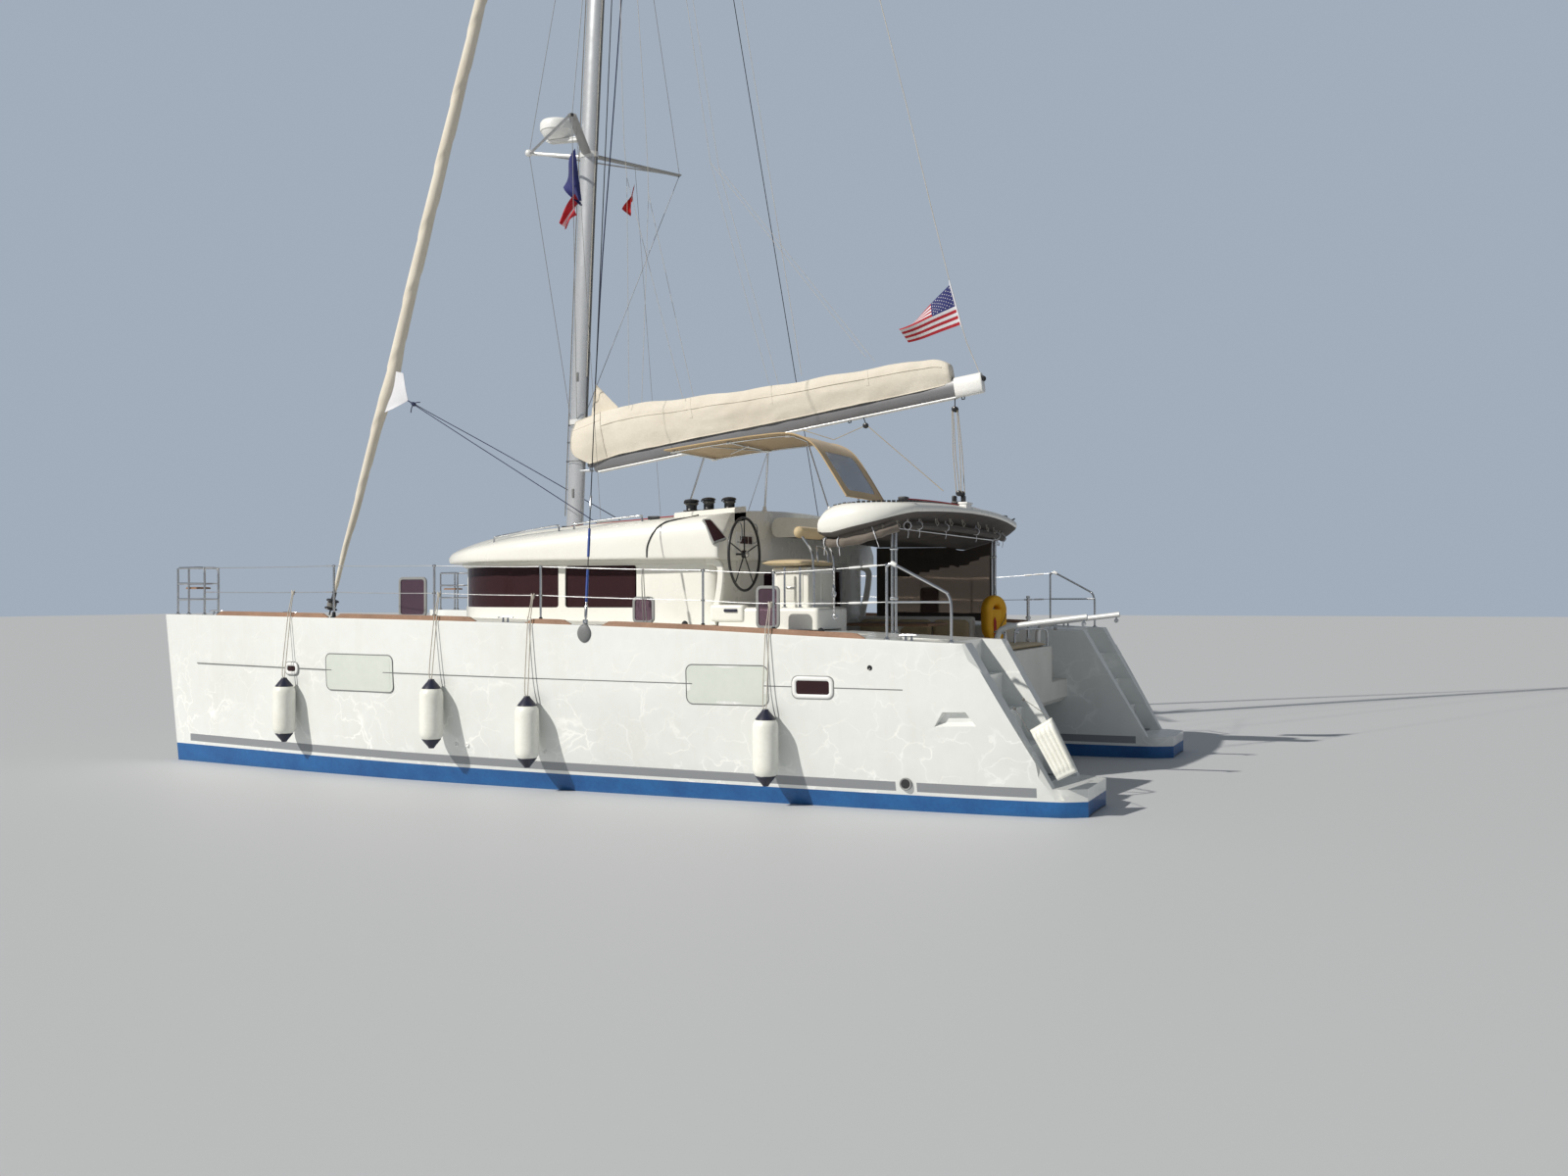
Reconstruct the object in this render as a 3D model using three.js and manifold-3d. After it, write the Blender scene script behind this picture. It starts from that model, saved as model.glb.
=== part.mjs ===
// Sailing catamaran, full size, afloat.
// Millimetres. +X towards the bows, +Y to port, +Z up, origin amidships on the waterline.
import * as THREE from 'three';
import { mergeVertices } from 'three/addons/utils/BufferGeometryUtils.js';
import Module from 'manifold-3d';

const wasm = await Module();
wasm.setup();

// Driving dimensions of the boat
const seat = 0.3; // gap between touching pieces
const draft = 1210;
const stemTop = { x: 5985, z: 1860 };
const stemWaterX = 5770;
const stemFootX = 5250;
const stemY = 2720;
const stemHalf = 35;
const transomTop = { x: -4850, z: 1640 };
const transomFoot = { x: -5640, z: 270 };
const bridge = { under: 720, floor: 1000, aft: -4650, fore: 3250, foreDeck: 1750, half: 2000 };
const wallThick = 60;
const window = { low: 1950, high: 2430 };
const roofRim = 2485;
const mastFoot = { x: 1550, z: 2960 };
const mastHalf = { along: 122, across: 76 };
const hounds = { x: 545, z: 17450 };
const tangZ = 17460;
const helm = { x: -1900, y: 2020, z: 2545, radius: 405 };
const gooseneck = { x: 1310, z: 3825 };
const boomEnd = { x: -4080, z: 4600 };
const beamAt = { x: 5620, z: 1660, radius: 82 };
const rudderStock = { x: -4850, top: 60, head: -330, foot: -1060, radius: 25 };
const propellerAt = { x: -3965, z: -760, radius: 205 };
const driveY = 2640;
const railHeight = 610;

// Hull sections from the platform to the bow: half-breadths are distances from the boat's centreline
const stations = [
  { x: -5940, deckOut: 3120, waterOut: 3080, waterIn: 2230, deckIn: 2200, sheer: 1600, keel: 20 },
  { x: -5720, deckOut: 3330, waterOut: 3210, waterIn: 2080, deckIn: 2010, sheer: 1600, keel: -50 },
  { x: -4800, deckOut: 3480, waterOut: 3290, waterIn: 1990, deckIn: 1900, sheer: 1630, keel: -250 },
  { x: -3560, deckOut: 3560, waterOut: 3325, waterIn: 1950, deckIn: 1830, sheer: 1680, keel: -420 },
  { x: -1900, deckOut: 3610, waterOut: 3335, waterIn: 1930, deckIn: 1790, sheer: 1750, keel: -540 },
  { x: -200, deckOut: 3622, waterOut: 3330, waterIn: 1930, deckIn: 1790, sheer: 1795, keel: -580 },
  { x: 1500, deckOut: 3530, waterOut: 3270, waterIn: 1970, deckIn: 1800, sheer: 1825, keel: -560 },
  { x: 3000, deckOut: 3310, waterOut: 3130, waterIn: 2100, deckIn: 1930, sheer: 1840, keel: -500 },
  { x: 4200, deckOut: 3100, waterOut: 2970, waterIn: 2290, deckIn: 2180, sheer: 1850, keel: -420 },
  { x: 5100, deckOut: 2930, waterOut: 2840, waterIn: 2470, deckIn: 2400, sheer: 1857, keel: -330 },
  { x: 5600, deckOut: 2830, waterOut: 2770, waterIn: 2610, deckIn: 2580, sheer: 1860, keel: -230 },
];

const colours = {
  gelcoat: [0xf2efe6, 0.3, 0], antifouling: [0x1d5a93, 0.6, 0], aluminium: [0xcfd2d4, 0.35, 1],
  steel: [0xd8dadc, 0.2, 1], glass: [0x2a1f1c, 0.1, 0], canvas: [0xbfa67e, 0.9, 0],
  bag: [0xd8ccb8, 0.9, 0], curtain: [0x4a423a, 0.8, 0], black: [0x15161a, 0.5, 0],
  teak: [0xa67352, 0.7, 0], fender: [0xf1f1ee, 0.5, 0], bronze: [0x8a7a50, 0.4, 1],
  net: [0x30343a, 0.9, 0], cushion: [0xcdbf9f, 0.9, 0], iron: [0x7f8486, 0.5, 1],
};

const boat = new THREE.Group();
const paints = {};
function paint(name) {
  const [color, roughness, metalness] = colours[name];
  paints[name] ??= new THREE.MeshStandardMaterial({ color, roughness, metalness });
  return paints[name];
}

// Solids
function outward(geometry) {
  const p = geometry.attributes.position;
  const index = geometry.index.array;
  let volume = 0;
  const [a, b, c] = [new THREE.Vector3(), new THREE.Vector3(), new THREE.Vector3()];
  for (let i = 0; i < index.length; i += 3) {
    a.fromBufferAttribute(p, index[i]);
    b.fromBufferAttribute(p, index[i + 1]);
    c.fromBufferAttribute(p, index[i + 2]);
    volume += a.dot(b.cross(c));
  }
  if (volume < 0) index.reverse();
  return geometry;
}

function bare(geometry) {
  const copy = geometry.clone();
  copy.deleteAttribute('normal');
  copy.deleteAttribute('uv');
  return outward(mergeVertices(copy, 0.002));
}

function solidOf(geometry) {
  const closed = bare(geometry);
  const vertProperties = new Float32Array(closed.attributes.position.array);
  const triVerts = new Uint32Array(closed.index.array);
  return new wasm.Manifold(new wasm.Mesh({ numProp: 3, vertProperties, triVerts }));
}

function geometryOf(solid) {
  const mesh = solid.getMesh();
  const geometry = new THREE.BufferGeometry();
  geometry.setAttribute('position', new THREE.BufferAttribute(mesh.vertProperties, 3));
  geometry.setIndex(new THREE.BufferAttribute(mesh.triVerts, 1));
  geometry.computeVertexNormals();
  return geometry;
}

const join = (...solids) => solids.flat().reduce((whole, next) => whole.add(next));
const cut = (solid, ...tools) => tools.flat().reduce((left, next) => left.subtract(next), solid);

// The neighbour moved by the seat gap each way named, so that what it cuts stays clear of it
function room(neighbour, directions) {
  const ways = { '+x': [1, 0, 0], '-x': [-1, 0, 0], '+y': [0, 1, 0], '-y': [0, -1, 0], '+z': [0, 0, 1], '-z': [0, 0, -1] };
  return directions.map((way) => neighbour.translate(ways[way].map((v) => v * seat)));
}

function blockGeometry([x0, x1], [y0, y1], [z0, z1]) {
  const geometry = new THREE.BoxGeometry(x1 - x0, y1 - y0, z1 - z0);
  return geometry.translate((x0 + x1) / 2, (y0 + y1) / 2, (z0 + z1) / 2);
}
const block = (xs, ys, zs) => solidOf(blockGeometry(xs, ys, zs));

function rod(from, to, radius, sides = 8) {
  const a = new THREE.Vector3(...from);
  const b = new THREE.Vector3(...to);
  const geometry = new THREE.CylinderGeometry(radius, radius, a.distanceTo(b), sides);
  const turn = new THREE.Quaternion().setFromUnitVectors(
    new THREE.Vector3(0, 1, 0), b.clone().sub(a).normalize());
  geometry.applyQuaternion(turn).translate(...a.add(b).multiplyScalar(0.5).toArray());
  return solidOf(geometry);
}

function shapeOf(outline) {
  return new THREE.Shape(outline.map(([u, v]) => new THREE.Vector2(u, v)));
}

// A flat outline in plan, from z0 up to z1
function plate(outline, z0, z1) {
  const geometry = new THREE.ExtrudeGeometry(shapeOf(outline), { depth: z1 - z0, bevelEnabled: false });
  return solidOf(geometry.translate(0, 0, z0));
}

// A side outline of x and z, from y0 across to y1
function profile(outline, y0, y1) {
  const geometry = new THREE.ExtrudeGeometry(shapeOf(outline), { depth: y1 - y0, bevelEnabled: false });
  return solidOf(geometry.rotateX(Math.PI / 2).translate(0, y1, 0));
}

// A closed skin through rings of equal numbers of points, with a fan on each end ring
function loft(rings) {
  const size = rings[0].length;
  const points = rings.flat();
  const index = [];
  for (let r = 0; r < rings.length - 1; r += 1) {
    for (let i = 0; i < size; i += 1) {
      const [a, b] = [r * size + i, r * size + ((i + 1) % size)];
      index.push(a, b, b + size, a, b + size, a + size);
    }
  }
  [0, rings.length - 1].forEach((r) => {
    const centre = [0, 1, 2].map((k) => rings[r].reduce((sum, p) => sum + p[k], 0) / size);
    points.push(centre);
    for (let i = 0; i < size; i += 1) {
      const [a, b] = [r * size + i, r * size + ((i + 1) % size)];
      index.push(...(r === 0 ? [b, a] : [a, b]), points.length - 1);
    }
  });
  const geometry = new THREE.BufferGeometry();
  geometry.setAttribute('position', new THREE.Float32BufferAttribute(points.flat(), 3));
  geometry.setIndex(index);
  return solidOf(geometry);
}

// A bent tube with mitred bends: each ring of points is carried along its leg to the mitre plane
function tube(points, radius, sides = 6) {
  const at = points.map((point) => new THREE.Vector3(...point));
  const legs = at.slice(1).map((point, i) => point.clone().sub(at[i]).normalize());
  const across = new THREE.Vector3(0.31, 0.17, 0.94).cross(legs[0]).normalize();
  const upright = legs[0].clone().cross(across);
  let ring = Array.from({ length: sides }, (unused, i) => {
    const turn = (2 * Math.PI * i) / sides;
    return at[0].clone().addScaledVector(across, radius * Math.cos(turn))
      .addScaledVector(upright, radius * Math.sin(turn));
  });
  const rings = [ring];
  legs.forEach((leg, i) => {
    const normal = i + 1 < legs.length ? leg.clone().add(legs[i + 1]).normalize() : leg;
    ring = ring.map((point) => point.clone().addScaledVector(leg,
      at[i + 1].clone().sub(point).dot(normal) / leg.dot(normal)));
    rings.push(ring);
  });
  return loft(rings.map((corners) => corners.map((corner) => corner.toArray())));
}

const lerp = THREE.MathUtils.lerp;
const rad = THREE.MathUtils.degToRad;

function add(name, solid, colour, group = boat) {
  const mesh = new THREE.Mesh(geometryOf(solid), paint(colour));
  mesh.name = name;
  group.add(mesh);
  return mesh;
}

function flipped(solid, side) {
  return side > 0 ? solid : solidOf(geometryOf(solid).scale(1, -1, 1));
}

const sides = [['port', 1], ['starboard', -1]];

// Value of one column of the station table at any length
function along(x, column) {
  const next = Math.max(1, stations.findIndex((s) => s.x >= x));
  const [a, b] = x > stations.at(-1).x ? stations.slice(-2) : [stations[next - 1], stations[next]];
  return lerp(a[column], b[column], (x - a.x) / (b.x - a.x));
}

// How far the topsides have flared from waterline to deck, by height as a part of the sheer
const flare = [[0, 0], [0.19, 0.42], [0.42, 0.72], [0.66, 0.93], [0.985, 1]];

function outerSide(x, z) {
  const part = z / along(x, 'sheer');
  const k = Math.max(1, flare.findIndex(([h]) => h >= part));
  const [[h0, f0], [h1, f1]] = [flare[k - 1], flare[k]];
  const share = lerp(f0, f1, (part - h0) / (h1 - h0));
  return lerp(along(x, 'waterOut'), along(x, 'deckOut'), share);
}

function hullRing(s) {
  const mid = (s.waterOut + s.waterIn) / 2;
  const half = (s.waterOut - s.waterIn) / 2;
  const outer = [...flare].reverse().map(([h, f]) => [lerp(s.waterOut, s.deckOut, f), h * s.sheer]);
  const inner = flare.slice(0, 4).map(([h, f]) => [lerp(s.waterIn, s.deckIn, f), h * s.sheer]);
  const under = [[0.9, 0.45], [0.62, 0.8], [0.22, 1], [-0.22, 1], [-0.62, 0.8], [-0.9, 0.45]];
  const bottom = under.map(([w, d]) => [mid + half * w, s.keel * d]);
  const section = [[s.deckIn, s.sheer], [s.deckOut - 22, s.sheer], ...outer, ...bottom, ...inner];
  return section.map(([y, z]) => [s.x, y, z]);
}

function stemRing() {
  const slope = (stemTop.x - stemWaterX) / stemTop.z;
  const like = hullRing({ x: 0, deckOut: stemY + stemHalf, waterOut: stemY + stemHalf,
    waterIn: stemY - stemHalf, deckIn: stemY - stemHalf, sheer: stemTop.z, keel: -200 });
  return like.map(([, y, z]) => {
    const x = z >= 0 ? stemWaterX + z * slope : lerp(stemWaterX, stemFootX, z / -200);
    return [x, y, z];
  });
}

// Symmetric foil outline in plan about its quarter chord
function foilRing(chord, thick, x, y, z) {
  const table = [[0, 0.28], [0.1, 0.75], [0.3, 1], [0.6, 0.75], [0.97, 0.08]];
  const upper = table.map(([u, v]) => [x + chord * (0.3 - u), y + (v * thick) / 2, z]);
  const lower = [...table].reverse().map(([u, v]) => [x + chord * (0.3 - u), y - (v * thick) / 2, z]);
  return [...upper, ...lower];
}

function keelFin() {
  return loft([foilRing(2500, 300, 450, driveY - 10, -450), foilRing(2350, 270, 350, driveY - 10, -900),
    foilRing(2100, 200, 280, driveY - 10, -draft)]);
}

// Steps moulded into the transom: treads from the platform up to the deck
const steps = [[270, -5300], [610, -5080], [950, -4870], [1290, -4650]];

function sternCut() {
  const above = [[-7000, 270], [transomFoot.x, transomFoot.z], [transomTop.x, transomTop.z],
    [transomTop.x + 60, 1900], [-7000, 1900]];
  const treads = steps.map(([z, x], i) => {
    const next = steps[i + 1];
    return block([-7000, x], [2150 - i * 10, 3130 + i * 25], [z, next ? next[0] + 20 : 1900]);
  });
  return [profile(above, 1000, 4000), ...treads];
}

// Engine bay under its lid, open to the aft deck
const engineBay = { x: [-4560, -3300], y: [2420, 3220], z: [60, 1520] };
const engineDoor = { x: [-4560, -4020], y: [2780, 3240] };
const lidThick = 30;

function hullSolid() {
  const shell = loft([...stations.map(hullRing), stemRing()]);
  const stockBore = rod([rudderStock.x, driveY, -700], [rudderStock.x, driveY, 90], rudderStock.radius + 0.6, 16);
  const deckZ = along(-4300, 'sheer');
  const bay = block(engineBay.x, engineBay.y, engineBay.z);
  const door = block(engineDoor.x, engineDoor.y, [1500, 2000]);
  const rebate = block([engineDoor.x[0] - 30, engineDoor.x[1] + 30],
    [engineDoor.y[0] - 30, engineDoor.y[1] + 30], [deckZ - lidThick - 8, 2000]);
  return cut(join(shell, keelFin()), sternCut(), stockBore, bay, door, rebate);
}

const hullPort = hullSolid();
const hulls = { port: hullPort, starboard: flipped(hullPort, -1) };
const deckHatches = [
  { at: 'fore', x: 2050, wide: 400, deep: 470, y: 2790 },
  { at: 'mid', x: -1040, wide: 270, deep: 290, y: 2790 },
  { at: 'aft', x: -2525, wide: 270, deep: 450, y: 2790 },
];
const hatchThick = 26;
const hingeLift = 8;
sides.forEach(([name, side]) => {
  const wells = deckHatches.map((h) => {
    const z = along(h.x, 'sheer');
    return flipped(block([h.x - h.wide / 2 + 40, h.x + h.wide / 2 - 40],
      [h.y + 45, h.y + h.deep - 35], [z - 70, z + 100]), side);
  });
  hulls[name] = cut(hulls[name], wells);
  add(`hull_${name}`, hulls[name], 'gelcoat');
});

// Engine, drive leg, propeller, rudder and engine lid of each hull
function engineSolid() {
  return block([-4280, -3420], [2500, 2980], [engineBay.z[0] + seat, 660]);
}

function driveSolid(hull) {
  const leg = loft([foilRing(330, 110, -3640, driveY, -300), foilRing(300, 100, -3660, driveY, -700)]);
  const pod = solidOf(new THREE.LatheGeometry([[0, -170], [40, -150], [62, -80], [62, 90], [46, 130], [0, 130]]
    .map(([r, h]) => new THREE.Vector2(r, h)), 12).rotateZ(Math.PI / 2)
    .translate(-3760, driveY, propellerAt.z));
  const shaft = rod([-3860, driveY, propellerAt.z], [-4050, driveY, propellerAt.z], 14, 12);
  return cut(join(leg, pod, shaft), room(hull, ['-z']));
}

function propellerSolid() {
  const hub = cut(rod([-45, 0, 0], [45, 0, 0], 45, 16), rod([-60, 0, 0], [60, 0, 0], 14.5, 12));
  const blades = [0, 1, 2].map((i) => {
    const blade = new THREE.BoxGeometry(12, 90, propellerAt.radius - 38).rotateZ(rad(32))
      .translate(0, 0, (propellerAt.radius + 38) / 2).rotateX(rad(120 * i));
    return solidOf(blade);
  });
  return join(hub, blades);
}

function rudderSolid() {
  const { radius, top, head, foot } = rudderStock;
  const blade = loft([foilRing(560, 90, 0, 0, head), foilRing(430, 55, -20, 0, foot)]);
  return join(blade, rod([0, 0, head - 200], [0, 0, top], radius, 16));
}

function lidSolid(deckZ) {
  const lid = block([engineDoor.x[0] - 24, engineDoor.x[1] + 24], [engineDoor.y[0] - 24, engineDoor.y[1] + 24],
    [deckZ - lidThick - 8 + seat, deckZ - 8]);
  return lid.translate([-engineDoor.x[1] - 24, 0, -deckZ + 8]);
}

sides.forEach(([name, side]) => {
  add(`engine_${name}`, flipped(engineSolid(), side), 'iron');
  add(`sail_drive_${name}`, flipped(driveSolid(hullPort), side), 'iron');
  const propeller = add(`propeller_${name}`, propellerSolid(), 'bronze');
  propeller.position.set(propellerAt.x, driveY * side, propellerAt.z);
  const rudder = add(`rudder_${name}`, rudderSolid(), 'antifouling');
  rudder.position.set(rudderStock.x, driveY * side, 0);
  const deckZ = along(-4300, 'sheer');
  const lid = add(`engine_lid_${name}`, flipped(lidSolid(deckZ), side), 'gelcoat');
  lid.position.set(engineDoor.x[1] + 24, 0, deckZ - 8);
});

// Bridge deck with the cockpit sole, foredeck locker and aft bench
function bridgeDeck() {
  const { under, floor, aft, fore, foreDeck, half } = bridge;
  const slab = profile([[aft, under + 60], [aft + 60, under], [2600, under], [3100, under + 160],
    [fore, 1250], [fore, foreDeck], [2480, foreDeck], [2480, floor], [-3950, floor], [-3950, 1450],
    [aft, 1450]], -half, half);
  const walkways = sides.map(([, s]) => flipped(block([-5000, -3900], [1050, half + 10], [floor, 1500]), s));
  const neighbours = sides.flatMap(([name, s]) => room(hulls[name], [s > 0 ? '-y' : '+y']));
  return cut(slab, walkways, neighbours);
}
const bridgeSolid = bridgeDeck();
add('bridge_deck', bridgeSolid, 'gelcoat');

// Deckhouse walls follow one plan outline, moved inwards by any distance
function houseOutline(inset) {
  const quarter = [[2620, 0], [2570, 620], [2380, 1240], [1960, 1790], [1400, 2160], [700, 2330], [-1700, 2330]];
  const shrunk = quarter.map(([x, y]) => {
    const run = Math.hypot(Math.max(x, 0), y) || 1;
    const ahead = x > 700 ? x - (inset * Math.max(x - 500, 0)) / run : x;
    return [x < 0 ? x + inset : ahead, y - Math.min(y, inset * Math.min(1, y / 1200))];
  });
  shrunk[0][0] = 2620 - inset;
  const starboard = shrunk.slice(1).reverse().map(([x, y]) => [x, -y]);
  return [...shrunk, ...starboard];
}

const doorway = { y: [-1330, -430], z: [1030, 2400] };
const doorLeaf = { x: [-1745, -1712], y: [-1390, -370], z: [1018, 2450] };
const doorTrack = { y: [-1420, 560], z: 1018 - seat };
const panes = [
  { side: 1, x: [330, 3000], y: [1250, 2600] }, { side: 1, x: [-700, 240], y: [1250, 2600] },
  { side: -1, x: [330, 3000], y: [1250, 2600] }, { side: -1, x: [-700, 240], y: [1250, 2600] },
  { side: 1, x: [1500, 3000], y: [60, 1160] }, { side: -1, x: [1500, 3000], y: [60, 1160] },
];
const glassInset = 26;

function deckhouse() {
  const low = bridge.floor + seat;
  const outer = plate(houseOutline(0), low, roofRim);
  const rooms = plate(houseOutline(wallThick), low - 50, roofRim + 50);
  const shell = cut(outer, rooms);
  const openings = panes.map(({ side, x, y }) => flipped(block(x, y, [window.low, window.high]), side));
  const slot = cut(plate(houseOutline(glassInset), window.low - 25, window.high + 20),
    block([-2500, -760], [-3000, 3000], [0, 3000]));
  const door = block([-1800, -1500], doorway.y, doorway.z);
  const track = block([-1750, -1690], doorTrack.y, [low, doorTrack.z]);
  const galleyWindow = block([-1800, -1500], [-200, 1050], [1550, 2350]);
  const neighbours = sides.flatMap(([name, s]) => room(hulls[name], ['+z', s > 0 ? '-y' : '+y']));
  const walls = cut(shell, openings, slot, door, galleyWindow);
  return cut(join(walls, track), neighbours, room(bridgeSolid, ['+z', '-x']));
}
const houseSolid = deckhouse();
add('deckhouse', houseSolid, 'gelcoat');

function saloonGlass() {
  return cut(plate(houseOutline(glassInset + seat), window.low - 24, window.high + 19),
    plate(houseOutline(glassInset + 12), 0, 3000), block([-2500, -759], [-3000, 3000], [0, 3000]));
}
add('saloon_windows', saloonGlass(), 'glass');

// Sliding door on the aft face, closed
add('saloon_door', block(doorLeaf.x, doorLeaf.y, doorLeaf.z), 'glass');

// Settee, table and galley stand on one sole board
function saloonFurniture() {
  const z = bridge.floor + seat;
  const sole = block([-1500, 2300], [-1600, 1600], [z, z + 20]);
  const settee = [block([1700, 2300], [-300, 1600], [z, 1430]), block([-300, 1700], [1100, 1600], [z, 1430]),
    block([2150, 2300], [-300, 1600], [1400, 1850])];
  const table = [block([300, 1500], [50, 850], [1690, 1725]), rod([900, 450, z], [900, 450, 1700], 60, 10)];
  const galley = [block([-1500, -300], [700, 1600], [z, 1900]), block([400, 2000], [-1600, -1100], [z, 1850])];
  return join(sole, settee, table, galley).intersect(plate(houseOutline(wallThick + 2), z, roofRim));
}
add('saloon_furniture', saloonFurniture(), 'teak');

// Coachroof: half width, edge height and crown height at each length
const roofTable = [
  { x: 2850, half: 420, edge: 2545, crown: 2575 }, { x: 2760, half: 860, edge: 2560, crown: 2650 },
  { x: 2500, half: 1440, edge: 2585, crown: 2740 }, { x: 2100, half: 1960, edge: 2615, crown: 2820 },
  { x: 1500, half: 2340, edge: 2670, crown: 2935 }, { x: 800, half: 2500, edge: 2740, crown: 2990 },
  { x: -500, half: 2525, edge: 2860, crown: 3050 }, { x: -1800, half: 2500, edge: 2960, crown: 3100 },
];

function roofRing({ x, half, edge, crown }, inset, low) {
  const w = half - inset;
  const top = inset ? 70 : 0;
  const side = Math.max(low + 10, edge - top);
  const port = [[w, low], [w, lerp(low, side, 0.55)], [w - 50, side - 10], [w * 0.86, lerp(side, crown - top, 0.28)],
    [w * 0.5, lerp(side, crown - top, 0.75)]];
  const starboard = [...port].reverse().map(([y, z]) => [-y, z]);
  return [...port, [0, Math.max(low + 20, crown - top)], ...starboard].map(([y, z]) => [x, y, z]);
}

function coachroof() {
  const outer = loft(roofTable.map((row) => roofRing(row, 0, roofRim + seat)));
  const hollow = roofTable.slice(2).map((row, i) => {
    const x = i === 0 ? 2260 : Math.max(row.x, -1700);
    return roofRing({ ...row, x }, 300, roofRim - 200);
  });
  const boss = rod([-1790, helm.y, helm.z], [-1850, helm.y, helm.z], 45, 16);
  const bore = rod([-1700, helm.y, helm.z], [-1870, helm.y, helm.z], 12.6, 16);
  return cut(join(cut(outer, loft(hollow)), boss), bore);
}
const roofSolid = coachroof();
add('coachroof', roofSolid, 'gelcoat');

// Helm station on the port side of the cockpit, aft of the coachroof
function helmStation() {
  const platform = block([-2960, -1760], [1220, 2440], [1560, 1960]);
  const pedestal = block([-2780, -2320], [1450, 2250], [1900, 2400]);
  const backRest = tube([[-2775, 1500, 2300], [-2775, 1500, 2500], [-2630, 1500, 2765], [-2630, 2200, 2765],
    [-2775, 2200, 2500], [-2775, 2200, 2300]], 15);
  const neighbours = [...room(hulls.port, ['+z', '-y']), ...room(houseSolid, ['-x'])];
  return cut(join(platform, pedestal, backRest), neighbours);
}
add('helm_station', helmStation(), 'gelcoat');

add('helm_seat', block([-2750, -2290], [1440, 2400], [2400 + seat, 2470]), 'cushion');

const wheelGroup = new THREE.Group();
wheelGroup.position.set(helm.x, helm.y, helm.z);
boat.add(wheelGroup);

function steeringWheel() {
  const rim = solidOf(new THREE.TorusGeometry(helm.radius, 15, 6, 30).rotateY(Math.PI / 2));
  const spokes = [0, 1, 2, 3, 4].map((i) => rod([0, 0, 0],
    [0, Math.sin(rad(72 * i)) * helm.radius, Math.cos(rad(72 * i)) * helm.radius], 7, 5));
  const hub = rod([-25, 0, 0], [40, 0, 0], 45, 16);
  const shaft = rod([0, 0, 0], [150, 0, 0], 12, 16);
  return join(rim, spokes, hub, shaft);
}
add('steering_wheel', steeringWheel(), 'black', wheelGroup);

// Three winches on one base at the port aft corner of the roof
function winches() {
  const base = block([-1770, -1050], [1760, 2060], [2962, 3042]);
  const drums = [[-1180, 1900], [-1420, 1940], [-1660, 1900]].map(([x, y]) => solidOf(new THREE.LatheGeometry(
    [[0, 0], [80, 0], [80, 40], [58, 60], [58, 120], [78, 140], [78, 165], [0, 165]]
      .map(([r, h]) => new THREE.Vector2(r, h)), 14).rotateX(Math.PI / 2).translate(x, y, 3035)));
  return cut(join(base, drums), room(roofSolid, ['+z']));
}
add('winches', winches(), 'black');

// Canvas top over the helm, a thin sheet with a sloping aft panel
const biminiLine = [[-1120, 3702], [-1630, 3760], [-2100, 3802], [-2570, 3828], [-2900, 3730], [-3280, 3128]];
const biminiY = [1240, 2440];
function sheetProfile(line, thick) {
  const under = [...line].reverse().map(([x, z]) => [x - thick * 0.3, z - thick]);
  return [...line, ...under];
}
add('bimini_canvas', profile(sheetProfile(biminiLine, 8), ...biminiY), 'canvas');

// Cockpit hardtop, cut out around the helm
const hardtopTable = [
  { x: -1840, half: 2420, low: 2730, top: 2960 }, { x: -2500, half: 2520, low: 2740, top: 2970 },
  { x: -3060, half: 2580, low: 2700, top: 2990 }, { x: -3300, half: 2580, low: 2730, top: 3045 },
  { x: -3600, half: 2530, low: 2810, top: 3055 }, { x: -3800, half: 2380, low: 2885, top: 3060 },
  { x: -3920, half: 2190, low: 2930, top: 3065 }, { x: -3970, half: 1930, low: 2950, top: 3075 },
  { x: -4030, half: 1280, low: 2970, top: 3095 }, { x: -4075, half: 450, low: 2985, top: 3105 },
];
const hardtopCrown = 3115;

function hardtopRing({ x, half, low, top }) {
  const crown = Math.min(top + 70, hardtopCrown);
  const port = [[half - 60, low], [half, lerp(low, top, 0.3)], [half, lerp(low, top, 0.7)], [half - 110, top],
    [half * 0.5, lerp(top, crown, 0.8)]];
  const starboard = [...port].reverse().map(([y, z]) => [-y, z]);
  return [...port, [0, crown], ...starboard].map(([y, z]) => [x, y, z]);
}

function hardtop() {
  const slab = loft(hardtopTable.map(hardtopRing));
  return cut(slab, block([-3000, -1000], [1130, 3000], [2000, 4000]));
}
const hardtopSolid = hardtop();
add('hardtop', hardtopSolid, 'gelcoat');

function biminiFrame() {
  const [inner, outer] = biminiY.map((y, i) => y + (i ? -60 : 60));
  const drop = 20.5 + seat;
  const under = (x) => {
    const k = biminiLine.findIndex(([at]) => at <= x);
    const [[x0, z0], [x1, z1]] = [biminiLine[k - 1], biminiLine[k]];
    return lerp(z0, z1, (x - x0) / (x1 - x0)) - drop;
  };
  const bars = [-1200, -1870].map((x) => rod([x, inner, under(x)], [x, outer, under(x)], 12, 6));
  const edges = [inner + 30, outer - 30];
  const rails = edges.map((y) => tube([-1150, -1630, -2100, -2570, -2810].map((x) => [x, y, under(x) - 2]), 10));
  const legs = [tube([[-950, 1620, 2965], [-1200, 1620, under(-1200)]], 12),
    tube([[-1780, 1200, 2950], [-1870, inner, under(-1870)]], 12),
    ...edges.map((y) => tube([[-3055, y, 2950], [-2800, y, under(-2800)]], 9))];
  return cut(join(bars, rails, legs), room(roofSolid, ['+z']), room(hardtopSolid, ['+z']));
}
add('bimini_frame', biminiFrame(), 'steel');

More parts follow.
